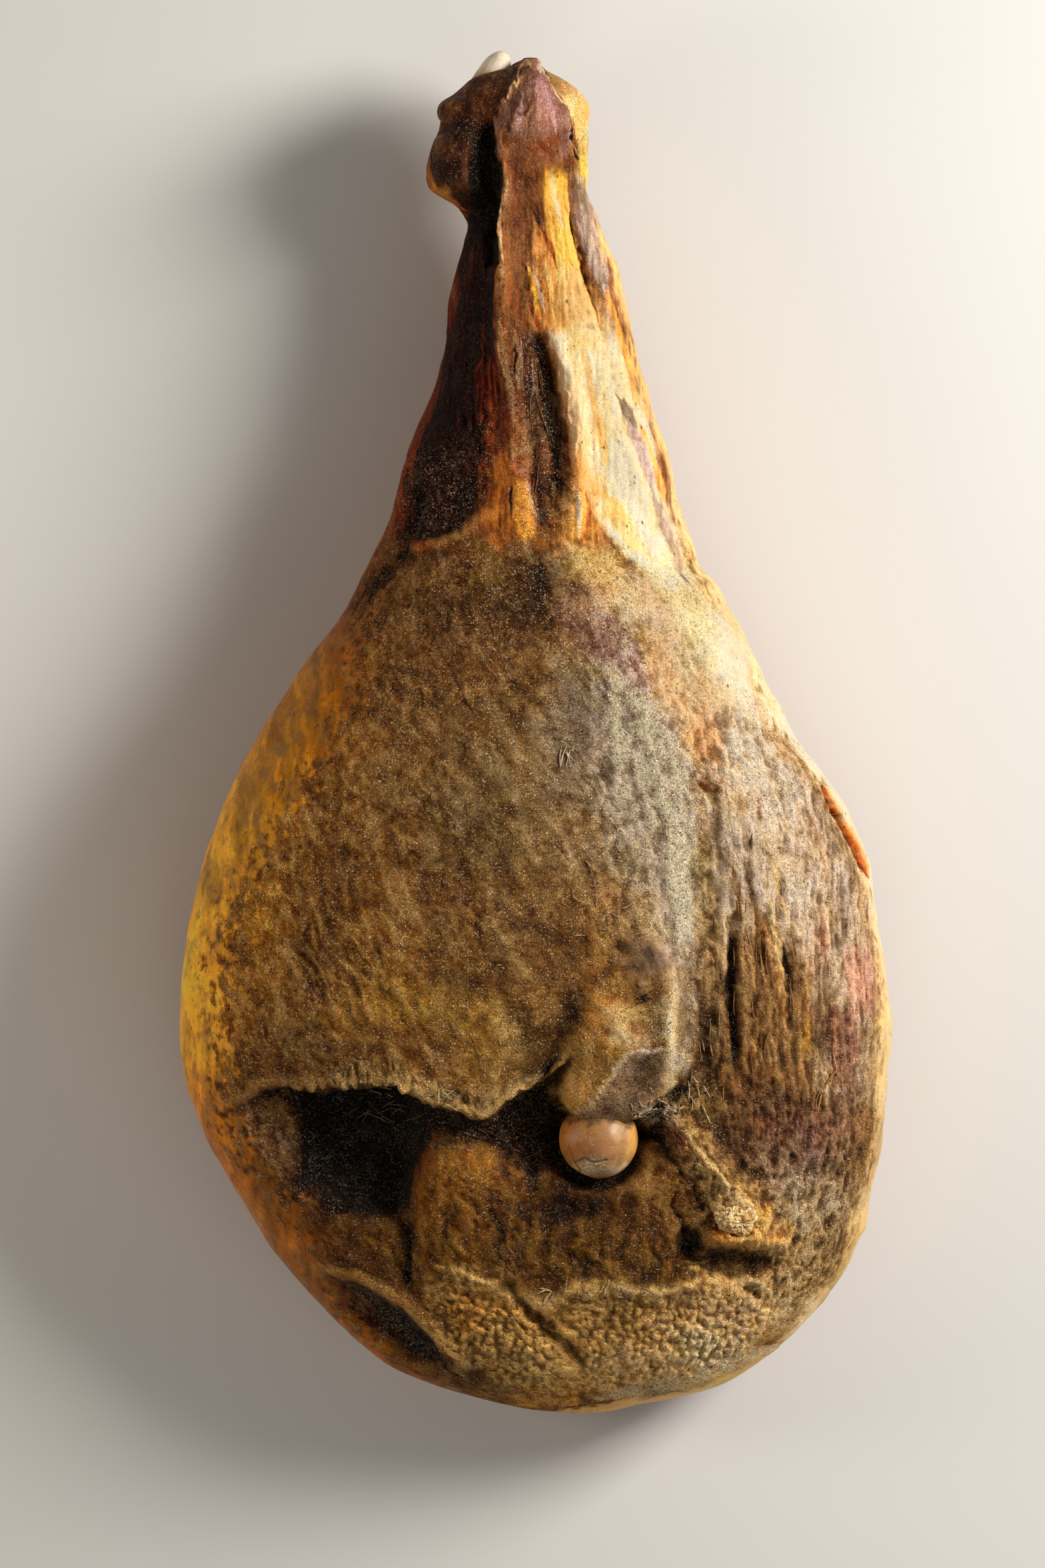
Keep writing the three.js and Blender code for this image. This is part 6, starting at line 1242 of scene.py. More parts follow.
    # lighter and beiger on what stands up, darker in what lies low; little of the beige in the dark hollows
    lum = col.mean(1)
    lit = sstep(0.012, 0.06, lum)
    rough = (0.35 + 0.65 * dust * (1 - 0.7 * fat)) * over
    h = (hi * rough)[:, None]
    col = col * np.clip(1 + 0.42 * h, 0.3, 1.6)
    beige = lin((196, 168, 122))
    k = np.clip(hi, 0, 1) * rough * 0.28 * lit
    col = col * (1 - k[:, None]) + beige * k[:, None]
    d1 = sstep(-0.1, 0.7, fbm(P, 9.0, 5, 161, 0.65)) * dust * over * (1 - fat) * lit
    col = col * (1 - 0.36 * d1[:, None]) + lin((170, 144, 102)) * 0.36 * d1[:, None]
    d2 = sstep(0.05, 0.8, fbm(P, 7.0, 5, 171, 0.65)) * dust * over * (1 - fat)
    col = col * (1 - 0.24 * d2[:, None])
    # broad light and shade of the colours
    col = col * np.clip(1 + 0.30 * fbm(P, 44.0, 2, 181)[:, None] * over[:, None], 0.6, 1.5)
    lum = col.mean(1)[:, None]
    col = col * np.clip(lum / 0.045, 0.35, 1.0) ** 0.45
    col = np.clip(col, 0.001, 0.95) ** np.array([1.08, 1.26, 1.58]) * np.array([1.03, 1.14, 1.75])
    ov = over * sstep(0.0, 0.12, s)
    # paler and greyer to the right of the thigh, at its top and over the butt
    pale = sstep(960, 1020, px) * sstep(1030, 1090, py) * (1 - sstep(1630, 1720, py)) * ov
    col = col * (1 + pale[:, None] * np.array([0.03, 0.10, 0.26]))
    # painted light on the band at the right of the face
    col = col * (1 + strip[:, None] * np.array([0.38, 0.42, 0.50]))
    top = blob(px, py, 905, 880, 96, 130, 10, 1.0) * ov
    col = col * (1 + top[:, None] * np.array([0.70, 0.85, 1.05]))
    veil = blob(px, py, 890, 1120, 110, 170, 0, 1.0) * ov
    col = col * (1 + veil[:, None] * np.array([-0.02, 0.04, 0.30]))
    # painted shade over the shank's fat, where the light falls brightest
    light_patch = blob(px, py, 930, 680, 60, 150, -14, 1.0) * ov
    col = col * (1 - light_patch[:, None] * np.array([0.20, 0.26, 0.44]))
    shank = (1 - sstep(700, 860, py)) * sstep(250, 320, py) * sstep(740, 780, px) * ov
    col = col * (1 + (shank * (1 - (0.35 + 0.5 * sstep(440, 540, py)) * fat))[:, None] * np.array([-0.02, -0.04, 0.50]))
    # painted light on the fat ridge right of the pit
    light_patch = blob(px, py, 862, 650, 30, 130, -6, 1.0) * ov
    col = col * (1 + light_patch[:, None] * np.array([0.62, 0.62, 0.60]))
    # painted light on the left rim
    light_patch = blob(px, py, 390, 1450, 60, 110, 0, 1.0) * ov
    col = col * (1 + light_patch[:, None] * np.array([0.35, 0.32, 0.20]))
    # painted shade at the lower end of the left rim
    rim_shade_patch = blob(px, py, 306, 1680, 50, 90, 0, 1.0) * ov
    col = col * (1 - rim_shade_patch[:, None] * np.array([0.40, 0.50, 0.75]))
    # painted light along the flap's lip
    light_patch = blob(px, py, 720, 1620, 110, 40, 10, 1.0) * ov
    col = col * (1 + light_patch[:, None] * np.array([0.40, 0.46, 0.60]))
    purple = blob(px, py, 1190, 1720, 60, 60, 0, 1.0) * ov
    col = col * (1 + purple[:, None] * np.array([-0.05, 0.10, 0.55]))
    butt = sstep(1930, 1990, py) * sstep(700, 800, px) * ov
    col = col * (1 + butt[:, None] * np.array([0.28, 0.26, 0.22]))
    butt = blob(px, py, 1070, 2020, 130, 60, -10, 1.0) * ov
    col = col * (1 + butt[:, None] * np.array([0.14, 0.24, 0.50]))
    low = blob(px, py, 930, 2060, 60, 30, 0, 1.0) * ov
    col = col * (1 + low[:, None] * np.array([0.40, 0.55, 0.80]))
    torn = inside(px, py, [(590, 1740), (680, 1700), (760, 1730), (960, 1800), (1030, 1860), (1010, 1916), (900, 1910), (820, 1940), (700, 1890), (600, 1930), (500, 1880)], 24) * ov
    col = col * (1 - torn[:, None] * np.array([0.32, 0.40, 0.70]))
    # the hollow under the flap darker still: painted shade
    flap_hollow_shade = inside(px, py, [(430, 1640), (590, 1628), (650, 1664), (650, 1740), (620, 1816), (560, 1826), (490, 1816), (440, 1770)], 22) * ov
    col = col * (1 - flap_hollow_shade[:, None] * np.array([0.45, 0.55, 0.65]))
    # darker and warmer over the left lean of the shank: painted shade
    left_lean_shade = inside(px, py, [(690, 300), (756, 300), (752, 520), (740, 640), (720, 760), (640, 830), (600, 800), (612, 690), (675, 440)], 12) * ov
    col = col * (1 - left_lean_shade[:, None] * np.array([0.06, 0.55, 0.76]))
    side = blob(px, py, 1196, 1890, 110, 150, 0, 1.0) * ov
    col = col * (1 + side[:, None] * np.array([0.42, 0.60, 0.95]))
    # edges painted lighter, partly dust and partly painted highlight, and creases painted darker as painted shade
    for shape, wide, k in EDGES:
        m = mask_of("line", shape, wide, qx, qy) * np.clip(0.8 + 1.1 * rag, 0.1, 1.4) * ov
        col = col * (1 + k * np.clip(m, 0, 1.2))[:, None]
    for x, y, rx, ry, turn, c in TONES:
        m = blob(px, py, x, y, rx, ry, turn, 1.0) * ov
        col = col * (1 + m[:, None] * np.array(c))
    # golden band at the left: streaks along the edge and dusty patches
    band = lr * sstep(860, 960, py) * ov
    run = fbm(np.stack([qx * 0.29, qy * 0.29, 0 * qx], 1), (3.2, 22.0, 9.0), 4, 191, 0.6)
    spot = sstep(0.05, 0.6, fbm(P, 9.0, 4, 193, 0.65))
    col = col * (1 + (0.5 * run * band)[:, None])
    col = col * (1 - (0.55 * spot * band)[:, None]) + lin((150, 112, 60)) * (0.40 * spot * band)[:, None]
    # nothing paler than dry fat, and nothing greener or bluer than dried meat and fat
    lum = col.mean(1)[:, None]
    col = col * (0.42 / np.maximum(lum, 0.42)) ** 0.62
    red = col[:, 0]
    col[:, 1] = np.minimum(col[:, 1], (0.64 + 0.22 * sstep(0.12, 0.5, red)) * red)
    col[:, 2] = np.minimum(col[:, 2], (0.54 + 0.12 * sstep(0.4, 0.8, red)) * red)
    col = np.clip(col, 0.0004, 0.90)
    return col, np.clip(dust, 0, 1), np.clip(fat, 0, 1), np.clip(fibre, 0, 1)


# ---------------------------------------------------------------- the ham as one mesh


def blur(a, k):
    """Box blur of a 2-D array, wrapped over columns, twice."""
    for _ in range(2):
        p = np.pad(a, ((k, k), (0, 0)), mode="edge")
        c = np.cumsum(np.vstack([np.zeros((1, a.shape[1])), p]), 0)
        a = (c[2 * k + 1:] - c[: -2 * k - 1]) / (2 * k + 1)
        p = np.concatenate([a[:, -k:], a, a[:, :k]], 1)
        c = np.cumsum(np.hstack([np.zeros((a.shape[0], 1)), p]), 1)
        a = (c[:, 2 * k + 1:] - c[:, : -2 * k - 1]) / (2 * k + 1)
    return a


def make_mesh(name, V, F4, F3, uv=None):
    """A mesh from vertices in mm, quads and triangles. uv, if any, is a list per loop in the same order."""
    m = bpy.data.meshes.new(name)
    loops = np.concatenate([F4.ravel(), F3.ravel()]).astype(np.int32)
    starts = np.concatenate([np.arange(len(F4)) * 4, len(F4) * 4 + np.arange(len(F3)) * 3]).astype(np.int32)
    m.vertices.add(len(V))
    m.vertices.foreach_set("co", (V / 1000.0).astype(np.float32).ravel())
    m.loops.add(len(loops))
    m.loops.foreach_set("vertex_index", loops)
    m.polygons.add(len(starts))
    m.polygons.foreach_set("loop_start", starts)
    m.update(calc_edges=True)
    m.validate()
    m.polygons.foreach_set("use_smooth", np.ones(len(starts), bool))
    if uv is not None:
        layer = m.uv_layers.new(name="OFBake")
        layer.data.foreach_set("uv", uv.astype(np.float32).ravel())
    o = bpy.data.objects.new(name, m)
    bpy.context.scene.collection.objects.link(o)
    return o


def attribute(o, name, rgb):
    a = o.data.attributes.new(name, "FLOAT_COLOR", "POINT")
    a.data.foreach_set("color", np.concatenate([rgb, np.ones((len(rgb), 1))], 1).astype(np.float32).ravel())


def build_ham():
    P, out, s, over, cols = build_surface()
    d, lard, px, py = relief_of(P, out, s, over)
    rows = ROWS + 1
    N = len(P)
    # roughness of the surface itself: soft lumps, then fine grain where mould and dust cover it
    X, Y = P[:, 0], P[:, 1]
    face = over & (s > 0.02)
    d += np.where(over, sstep(0.0, 0.3, s), 1) * (1.2 * fbm(P, 38.0, 2, 11) + 0.7 * fbm(P, 14.0, 3, 21))
    lx, rx = pchip(LEFT_RIM, 1, py), pchip(RIGHT_RIM, 1, py)
    meat = sstep(-5, 30, px - lx) * sstep(-5, 30, rx - px) * over * sstep(0.0, 0.15, s)
    grain = fbm(P, 2.2, 3, 31, 0.7)
    crust = 1 - np.abs(fbm(P, 6.0, 4, 35, 0.6)) * 1.6
    # low wrinkles slanting over the face
    ca, sa = math.cos(math.radians(28)), math.sin(math.radians(28))
    D = np.stack([X * ca + Y * sa, -X * sa + Y * ca, P[:, 2]], 1)
    D = D + 2.5 * np.stack([fbm(P, 16.0, 2, 63), fbm(P, 16.0, 2, 64), np.zeros(N)], 1)
    w = 1 - np.abs(noise3(D / [5.2, 24.0, 14.0], 65)) * 3.2
    w2 = 1 - np.abs(noise3(D / [2.8, 13.0, 9.0], 66)) * 3.0
    part = sstep(-0.15, 0.45, fbm(P, 34.0, 2, 67)) * sstep(860, 960, py) * (1 - sstep(1540, 1620, py)) * (1 - sstep(1040, 1080, px))
    d += meat * part * (0.55 * np.clip(w, 0, 1) + 0.30 * np.clip(w2, 0, 1))
    d += meat * (0.24 * grain + 0.16 * crust + 0.6 * np.maximum(0, fbm(P, 9.0, 3, 37) - 0.2) - 0.3 * np.maximum(0, fbm(P, 4.0, 3, 39) - 0.4))
    d += (1 - meat) * 0.03 * grain
    P = P + out * d[:, None]
    # the flap's lip stands over the hollow
    below = ragged_edge(X, Y) - Y
    k = pchip(FLAP_MM, 2, X) / 27.0 * ((X > FLAP_MM[0][0]) & (X < FLAP_MM[-1][0])) * over
    torn = np.clip(0.75 + 0.9 * fbm(P, 6.0, 3, 69), 0.15, 1.5)
    P[:, 1] -= 5.5 * torn * np.clip(k, 0, 1) * np.exp(-(((below + 2.0) / 3.6) ** 2))
    # the knob's lower edge stands over the ball
    m = over * blob(px, py, 897, 1660, 70, 22, 0, 1.5)
    P[:, 1] -= 2.5 * m
    # flat rest patch: nothing goes below the floor
    P[:, 2] = np.maximum(P[:, 2], 0.0)
    # hollow shade: how far a point lies under its blurred surroundings, used for painted shade in the hollows
    g = (d.reshape(rows, cols))
    hollow_shade = np.clip((blur(g, 7) - g) / 2.2, 0, 1) * 0.8 + np.clip((blur(g, 22) - g) / 8.0, 0, 1) * 0.9
    # raised tops, for the painted light on the lard's nodules
    top_light = np.clip((g - blur(g, 5)) / 1.0, 0, 1)
    hollow_shade = hollow_shade.ravel() * over
    hi = np.clip((g - blur(g, 3)) / 0.40, -1, 1).ravel() * over
    col, dust, fat, fibre = paint(P, px, py, over, s, hollow_shade, hi)
    # poles
    top, bot = P[:cols].mean(0), P[-cols:].mean(0)
    V = np.vstack([P, top, bot])
    i = np.arange(rows - 1)[:, None] * cols
    j = np.arange(cols)[None, :]
    a = i + j
    b = i + (j + 1) % cols
    F4 = np.stack([a, a + cols, b + cols, b], 2).reshape(-1, 4)
    j = np.arange(cols)
    F3 = np.vstack([np.stack([np.full(cols, N), j, (j + 1) % cols], 1), np.stack([np.full(cols, N + 1), N - cols + (j + 1) % cols, N - cols + j], 1)])
    # texture map: the face takes most of the width
    ul = np.concatenate([np.linspace(0, 0.76, FACE_COLS + 1)[:-1], 0.78 + np.linspace(0, 0.22, RIND_COLS + 1)[:-1]])
    ur = np.concatenate([np.linspace(0, 0.76, FACE_COLS + 1)[1:], 0.78 + np.linspace(0, 0.22, RIND_COLS + 1)[1:]])
    v = 1 - (np.arange(rows) + 1.0) / (rows + 1.0)
    vt, vb = v[:-1][:, None], v[1:][:, None]
    def grid(u, v):
        return np.stack([np.broadcast_to(u, (rows - 1, cols)), np.broadcast_to(v, (rows - 1, cols))], 2)
    q = np.stack([grid(ul, vt), grid(ul, vb), grid(ur, vb), grid(ur, vt)], 2).reshape(-1, 2)
    one = np.ones(cols)
    t = np.stack([np.stack([(ul + ur) / 2, one], 1), np.stack([ul, one * v[0]], 1), np.stack([ur, one * v[0]], 1)], 1).reshape(-1, 2)
    bq = np.stack([np.stack([(ul + ur) / 2, one * 0], 1), np.stack([ur, one * v[-1]], 1), np.stack([ul, one * v[-1]], 1)], 1).reshape(-1, 2)
    uv = np.vstack([q, t, bq])
    o = make_mesh("ham_flesh_and_rind", V, F4, F3, uv)
    def tail(a):
        a = a.reshape(N, -1)
        return np.vstack([a, a[:cols].mean(0), a[-cols:].mean(0)])
    attribute(o, "Col", tail(col))
    attribute(o, "Kind", np.hstack([tail(dust), tail(fat), tail(fibre)]))
    # Form carries the hollow shade, the lard, and the raised tops for painted light
    attribute(o, "Form", np.hstack([tail(hollow_shade), tail(lard), tail(top_light.ravel() * over)]))
    return o, P, px, py, col


# ---------------------------------------------------------------- bones


def revolved(name, centre, axis, rings, around, radius_at, squash=1.0, shape=None):
    """A closed body round an axis: radius_at(t) gives (distance along the axis, radius) in mm for t from 0, the far end inside, to 1, the tip. shape(D, R, a, t) may change both."""
    axis = np.asarray(axis, float)
    axis /= np.linalg.norm(axis)
    side = np.cross(axis, [0, 0, 1.0])
    side /= np.linalg.norm(side)
    up = np.cross(side, axis)
    t = (np.arange(rings) + 0.5) / rings
    a = np.arange(around) / around * 2 * np.pi
    T, A = np.meshgrid(t, a, indexing="ij")
    T, A = T.ravel(), A.ravel()
    D, R = radius_at(T)
    centre = np.asarray(centre, float)
    V = centre + axis * D[:, None] + R[:, None] * (side * np.cos(A)[:, None] + up * np.sin(A)[:, None] * squash)
    n = V - (centre + axis * (D * 0.0)[:, None])
    n /= np.linalg.norm(n, axis=1)[:, None]
    if shape is not None:
        V = V + n * shape(V, T, A)[:, None]
    d0, d1 = radius_at(np.array([0.0]))[0][0], radius_at(np.array([1.0]))[0][0]
    tip = centre + axis * d1
    if shape is not None:
        tip = tip + axis * shape(tip[None, :], np.array([1.0]), np.array([0.0]))[0]
    V = np.vstack([V, centre + axis * d0, tip])
    N = rings * around
    i = np.arange(rings - 1)[:, None] * around
    j = np.arange(around)[None, :]
    p, q = i + j, i + (j + 1) % around
    F4 = np.stack([p, q, q + around, p + around], 2).reshape(-1, 4)
    j = np.arange(around)
    F3 = np.vstack([np.stack([np.full(around, N), (j + 1) % around, j], 1), np.stack([np.full(around, N + 1), N - around + j, N - around + (j + 1) % around], 1)])
    # outward?
    c = V.mean(0)
    f = F4[len(F4) // 2]
    nn = np.cross(V[f[1]] - V[f[0]], V[f[3]] - V[f[0]])
    if np.dot(nn, V[f[0]] - (centre + axis * np.dot(V[f[0]] - centre, axis))) < 0:
        F4, F3 = F4[:, ::-1], F3[:, ::-1]
    o = make_mesh(name, V, F4, F3)
    return o, V


def ball_profile(t):
    """Neck at t 0, joint ball to the pole at t 1."""
    R = 17.2
    k = 0.26
    a = np.clip((t - k) / (1 - k), 0, 1)
    th = np.radians(146) * (1 - a)
    D = R * np.cos(th)
    r = R * np.sin(th)
    u = np.clip(t / k, 0, 1)
    dn = -1.58 * R + u * (R * math.cos(math.radians(146)) + 1.58 * R)
    rn = R * (0.50 + (math.sin(math.radians(146)) - 0.50) * u**2) * np.sqrt(np.clip(1 - (1 - np.clip(t / 0.03, 0, 1)) ** 2, 0.0, 1))
    return np.where(t < k, dn, D), np.where(t < k, rn, np.maximum(r, 0.0))


def ball_form(V, T, A):
    px, py = to_plan(V[:, 0], V[:, 1])
    f = 0.18 * fbm(V, 9.0, 2, 201)
    # flattened, broken patch at the lower edge
    m = blob(px, py, 882, 1744, 26, 16, -8, 1.5) * (V[:, 2] > 112)
    f -= m * (0.55 + 0.5 * np.abs(fbm(V, 2.4, 3, 211)))
    d, at = along(px, py, [(862, 1736), (876, 1730), (890, 1737), (908, 1733)], 8)
    f -= 0.5 * np.exp(-((d / 2.0) ** 2)) * (V[:, 2] > 112)
    d, at = along(px, py, [(852, 1716), (862, 1734), (870, 1750)], 6)
    f -= 0.25 * np.exp(-((d / 1.6) ** 2)) * (V[:, 2] > 112)
    return f - 0.05


def build_ball():
    o, V = revolved("hip_joint_ball", (27.1, -176.7, 117.0), (0.06, -0.62, 0.78), 190, 220, ball_profile, 1.0, ball_form)
    px, py = to_plan(V[:, 0], V[:, 1])
    n = len(V)
    x = (px - 897) / 58.6
    y = (py - 1702) / 58.6
    col = np.tile(lin((160, 110, 66)), (n, 1))

    def lay(m, c):
        nonlocal col
        col = col * (1 - m[:, None]) + lin(c) * m[:, None]

    w = fbm(V, 5.0, 4, 221)
    # orange left edge, partly its own colour and partly painted rim light
    lay(1 - sstep(-0.9, -0.1, x + 0.25 * w), (196, 120, 44))
    # paler to the right, warm at the right edge and cream low at the right: painted light, with a painted highlight at
    # the lower right
    lay(sstep(0.2, 0.95, x + 0.2 * w), (200, 156, 108))
    lay(sstep(0.62, 0.98, x) * sstep(-0.5, 0.1, -np.abs(y) + 0.3), (222, 160, 84))
    lay(sstep(0.45, 0.95, y + 0.15 * w) * sstep(-0.1, 0.6, x) * 0.8, (222, 196, 170))
    lay(blob(px, py, 900, 1716, 30, 14, 0, 1) * 0.6, (168, 108, 80))
    lay((1 - sstep(-0.62, -0.22, y + 0.3 * w)) * 0.92, (92, 62, 34))
    m = blob(px, py, 882, 1742, 26, 14, -8, 1.2)
    lay(m * np.clip(0.55 + 0.8 * fbm(V, 1.6, 3, 231), 0, 1), (226, 206, 172))
    d, at = along(px, py, [(862, 1736), (876, 1729), (890, 1736), (908, 1732)], 8)
    lay(np.exp(-((d / 1.6) ** 2)) * 0.85, (96, 58, 32))
    d, at = along(px, py, [(852, 1712), (860, 1732), (870, 1750)], 6)
    lay(np.exp(-((d / 1.3) ** 2)) * 0.7, (112, 68, 36))
    lay(blob(px, py, 850, 1722, 8, 16, 0, 1) * 0.5, (120, 78, 36))
    buried = 1 - sstep(98, 108, V[:, 2])
    lay(buried * 0.8, (92, 60, 34))
    dusty = np.clip((1 - sstep(-0.62, -0.22, y + 0.3 * w)) + buried, 0, 1)
    attribute(o, "Col", np.clip(col * (1 + 0.12 * w[:, None]), 0.002, 0.95) ** np.array([1.02, 1.02, 1.12]))
    attribute(o, "Kind", np.stack([0.9 * dusty + 0.05, 0.6 * (1 - dusty), 0.0 * x], 1))
    attribute(o, "Form", np.stack([0.25 * dusty, 0 * x, 0 * x], 1))
    return o


STUB_C = np.array([87.2, -209.8, 113.6])
STUB_A = np.array([0.30, -0.40, 0.86])


def stub_profile(t):
    """A short thick stump with a blunt end."""
    S = 10.2
    k = 0.45
    u = np.clip(t / k, 0, 1)
    a = np.clip((t - k) / (1 - k), 0, 1) * np.pi / 2
    r = np.where(t < k, S * (0.78 + 0.22 * u) * np.sqrt(np.clip(1 - (1 - np.clip(t / 0.04, 0, 1)) ** 2, 0, 1)), S * np.cos(a) ** (2 / 3.4))
    D = np.where(t < k, -1.9 * S + u * 1.5 * S, -0.4 * S + 1.0 * S * np.sin(a) ** (2 / 3.4))
    return D, np.maximum(r, 0)


def stub_cells(V):
    w = V + 0.8 * np.stack([fbm(V, 3.0, 2, 303), fbm(V, 3.0, 2, 305), fbm(V, 3.0, 2, 307)], 1)
    return cells(w, 1.5, 5), cells(w + 11.0, 2.9, 6)


def stub_form(V, T, A):
    (f1, f2, rn), (g1, g2, rn2) = stub_cells(V)
    top = sstep(0.30, 0.55, T)
    px, py = to_plan(V[:, 0], V[:, 1])
    f = 1.7 * fbm(V, 11.0, 2, 301) + top * 2.2 * blob(px, py, 1116, 1846, 18, 14, 0, 1)
    flakes = np.clip(g2 - g1, 0, 1.2) / 1.2
    ridge = 1 - 2.4 * np.abs(fbm(V, (3.2, 2.0, 3.0), 3, 315, 0.6))
    f += top * (0.55 * np.clip(ridge, -1, 1) - 0.4 + 0.12 * flakes + 0.8 * fbm(V, 5.0, 3, 311))
    f += (1 - top) * 0.35 * fbm(V, (2.0, 6.0, 6.0), 3, 313)
    return f


def build_stub():
    rings, around = 200, 230
    o, V = revolved("sawn_hip_bone", STUB_C, STUB_A, rings, around, stub_profile, 0.92, stub_form)
    px, py = to_plan(V[:, 0], V[:, 1])
    T = np.concatenate([np.repeat((np.arange(rings) + 0.5) / rings, around), [0.0, 1.0]])
    (f1, f2, rn), (g1, g2, rn2) = stub_cells(V)
    n = len(V)
    col = np.tile(lin((240, 212, 156)), (n, 1))

    def lay(m, c):
        nonlocal col
        col = col * (1 - m[:, None]) + lin(c) * m[:, None]

    w = fbm(V, 4.0, 4, 321)
    top = sstep(0.30, 0.5, T)
    lay(top * sstep(0.0, 0.8, w) * 0.6, (250, 230, 186))
    rid = np.abs(fbm(V, (3.2, 2.0, 3.0), 3, 315, 0.6))
    lay(top * (1 - sstep(0.03, 0.14, rid)) * 0.25, (240, 222, 180))
    lay(top * sstep(0.24, 0.44, rid) * 0.6, (156, 106, 58))
    lay(top * (1 - sstep(0.1, 0.3, f2 - f1)) * (rn > 0.7) * 0.4, (132, 88, 46))
    lay(top * blob(px, py, 1082, 1846, 26, 12, 0, 1) * 0.8, (196, 116, 40))
    side = sstep(1120, 1134, px) * sstep(0.2, 0.4, T)
    lay(side * 0.85, (240, 224, 192))
    lay((1 - top) * 0.7, (196, 154, 100))
    attribute(o, "Col", np.clip(col * (1 + 0.15 * w[:, None]), 0.002, 0.95) ** np.array([1.02, 1.08, 1.15]))
    attribute(o, "Kind", np.stack([0.45 * (1 - side) + 0 * T, 0.3 * side, 0 * T], 1))
    attribute(o, "Form", np.stack([0 * T, 0 * T, 0 * T], 1))
    return o


def tip_profile(t):
    R = 6.6
    L = 27.0
    D = -L + t * L
    r = R * (1.12 - 0.20 * t) * np.sqrt(np.clip(1 - (np.clip((t - 0.55) / 0.45, 0, 1)) ** 2.4, 0, 1)) * np.sqrt(np.clip(1 - (1 - np.clip(t / 0.08, 0, 1)) ** 2, 0, 1))
    return D, np.maximum(r, 0)


def tip_form(V, T, A):
    return 0.35 * fbm(V, 8.0, 2, 401) + 0.12 * fbm(V, 2.5, 2, 405)


def build_tip():
    o, V = revolved("white_bone_end", (-13.4, 299.4, 60.0), (0.5, 0.84, 0.08), 120, 120, tip_profile, 1.25, tip_form)
    px, py = to_plan(V[:, 0], V[:, 1])
    n = len(V)
    w = fbm(V, 5.0, 4, 421)
    col = np.tile(lin((228, 212, 188)), (n, 1))

    def lay(m, c):
        nonlocal col
        col = col * (1 - m[:, None]) + lin(c) * m[:, None]

    lay(sstep(0.1, 0.9, w) * 0.5, (206, 180, 146))
    lay((1 - sstep(715, 745, px + 6 * w)) * sstep(96, 116, py) * 0.8, (186, 140, 92))
    lay(sstep(108, 122, py + 6 * w) * 0.75, (158, 108, 66))
    d, at = along(px, py, [(746, 84), (738, 100), (730, 118)], 6)
    lay(np.exp(-((d / 1.4) ** 2)) * 0.35, (170, 136, 104))
    attribute(o, "Col", np.clip(col, 0.002, 0.95))
    attribute(o, "Kind", np.stack([0.08 + 0 * w, 0.45 + 0 * w, 0 * w], 1))
    attribute(o, "Form", np.stack([0 * w, 0 * w, 0 * w], 1))
    return o


# ---------------------------------------------------------------- dried shreds and threads standing off the lean


def ground_height(P, PX, PY, x, y):
    """Height (mm) of the ham's cut face at a place on the plan grid."""
    near = np.nonzero((np.abs(PX - x) < 6) & (np.abs(PY - y) < 6) & (P[:, 2] > 45))[0]
    if len(near) == 0:
        return None
    d = np.hypot(PX[near] - x, PY[near] - y)
    k = near[np.argsort(d)[:6]]
    return float(P[k, 2].max())


def tube(points, radii, sides, flat):
    """A closed tapered strip along points, flattened by flat."""
    n = len(points)
    V = []
    for i in range(n):
        t = points[min(i + 1, n - 1)] - points[max(i - 1, 0)]
        t = t / (np.linalg.norm(t) + 1e-9)
        side = np.cross(t, [0.2, 0.1, 1.0])
        side /= np.linalg.norm(side)
        up = np.cross(side, t)
        for j in range(sides):
            a = 2 * math.pi * j / sides
            V.append(points[i] + radii[i] * (side * math.cos(a) + up * math.sin(a) * flat))
    V = np.array(V + [points[0], points[-1]])
    quads, tris = [], []
    for i in range(n - 1):
        for j in range(sides):
            k = (j + 1) % sides
            quads.append((i * sides + j, i * sides + k, (i + 1) * sides + k, (i + 1) * sides + j))
    for j in range(sides):
        k = (j + 1) % sides
        tris.append((n * sides, k, j))
        tris.append((n * sides + 1, (n - 1) * sides + j, (n - 1) * sides + k))
    return V, quads, tris


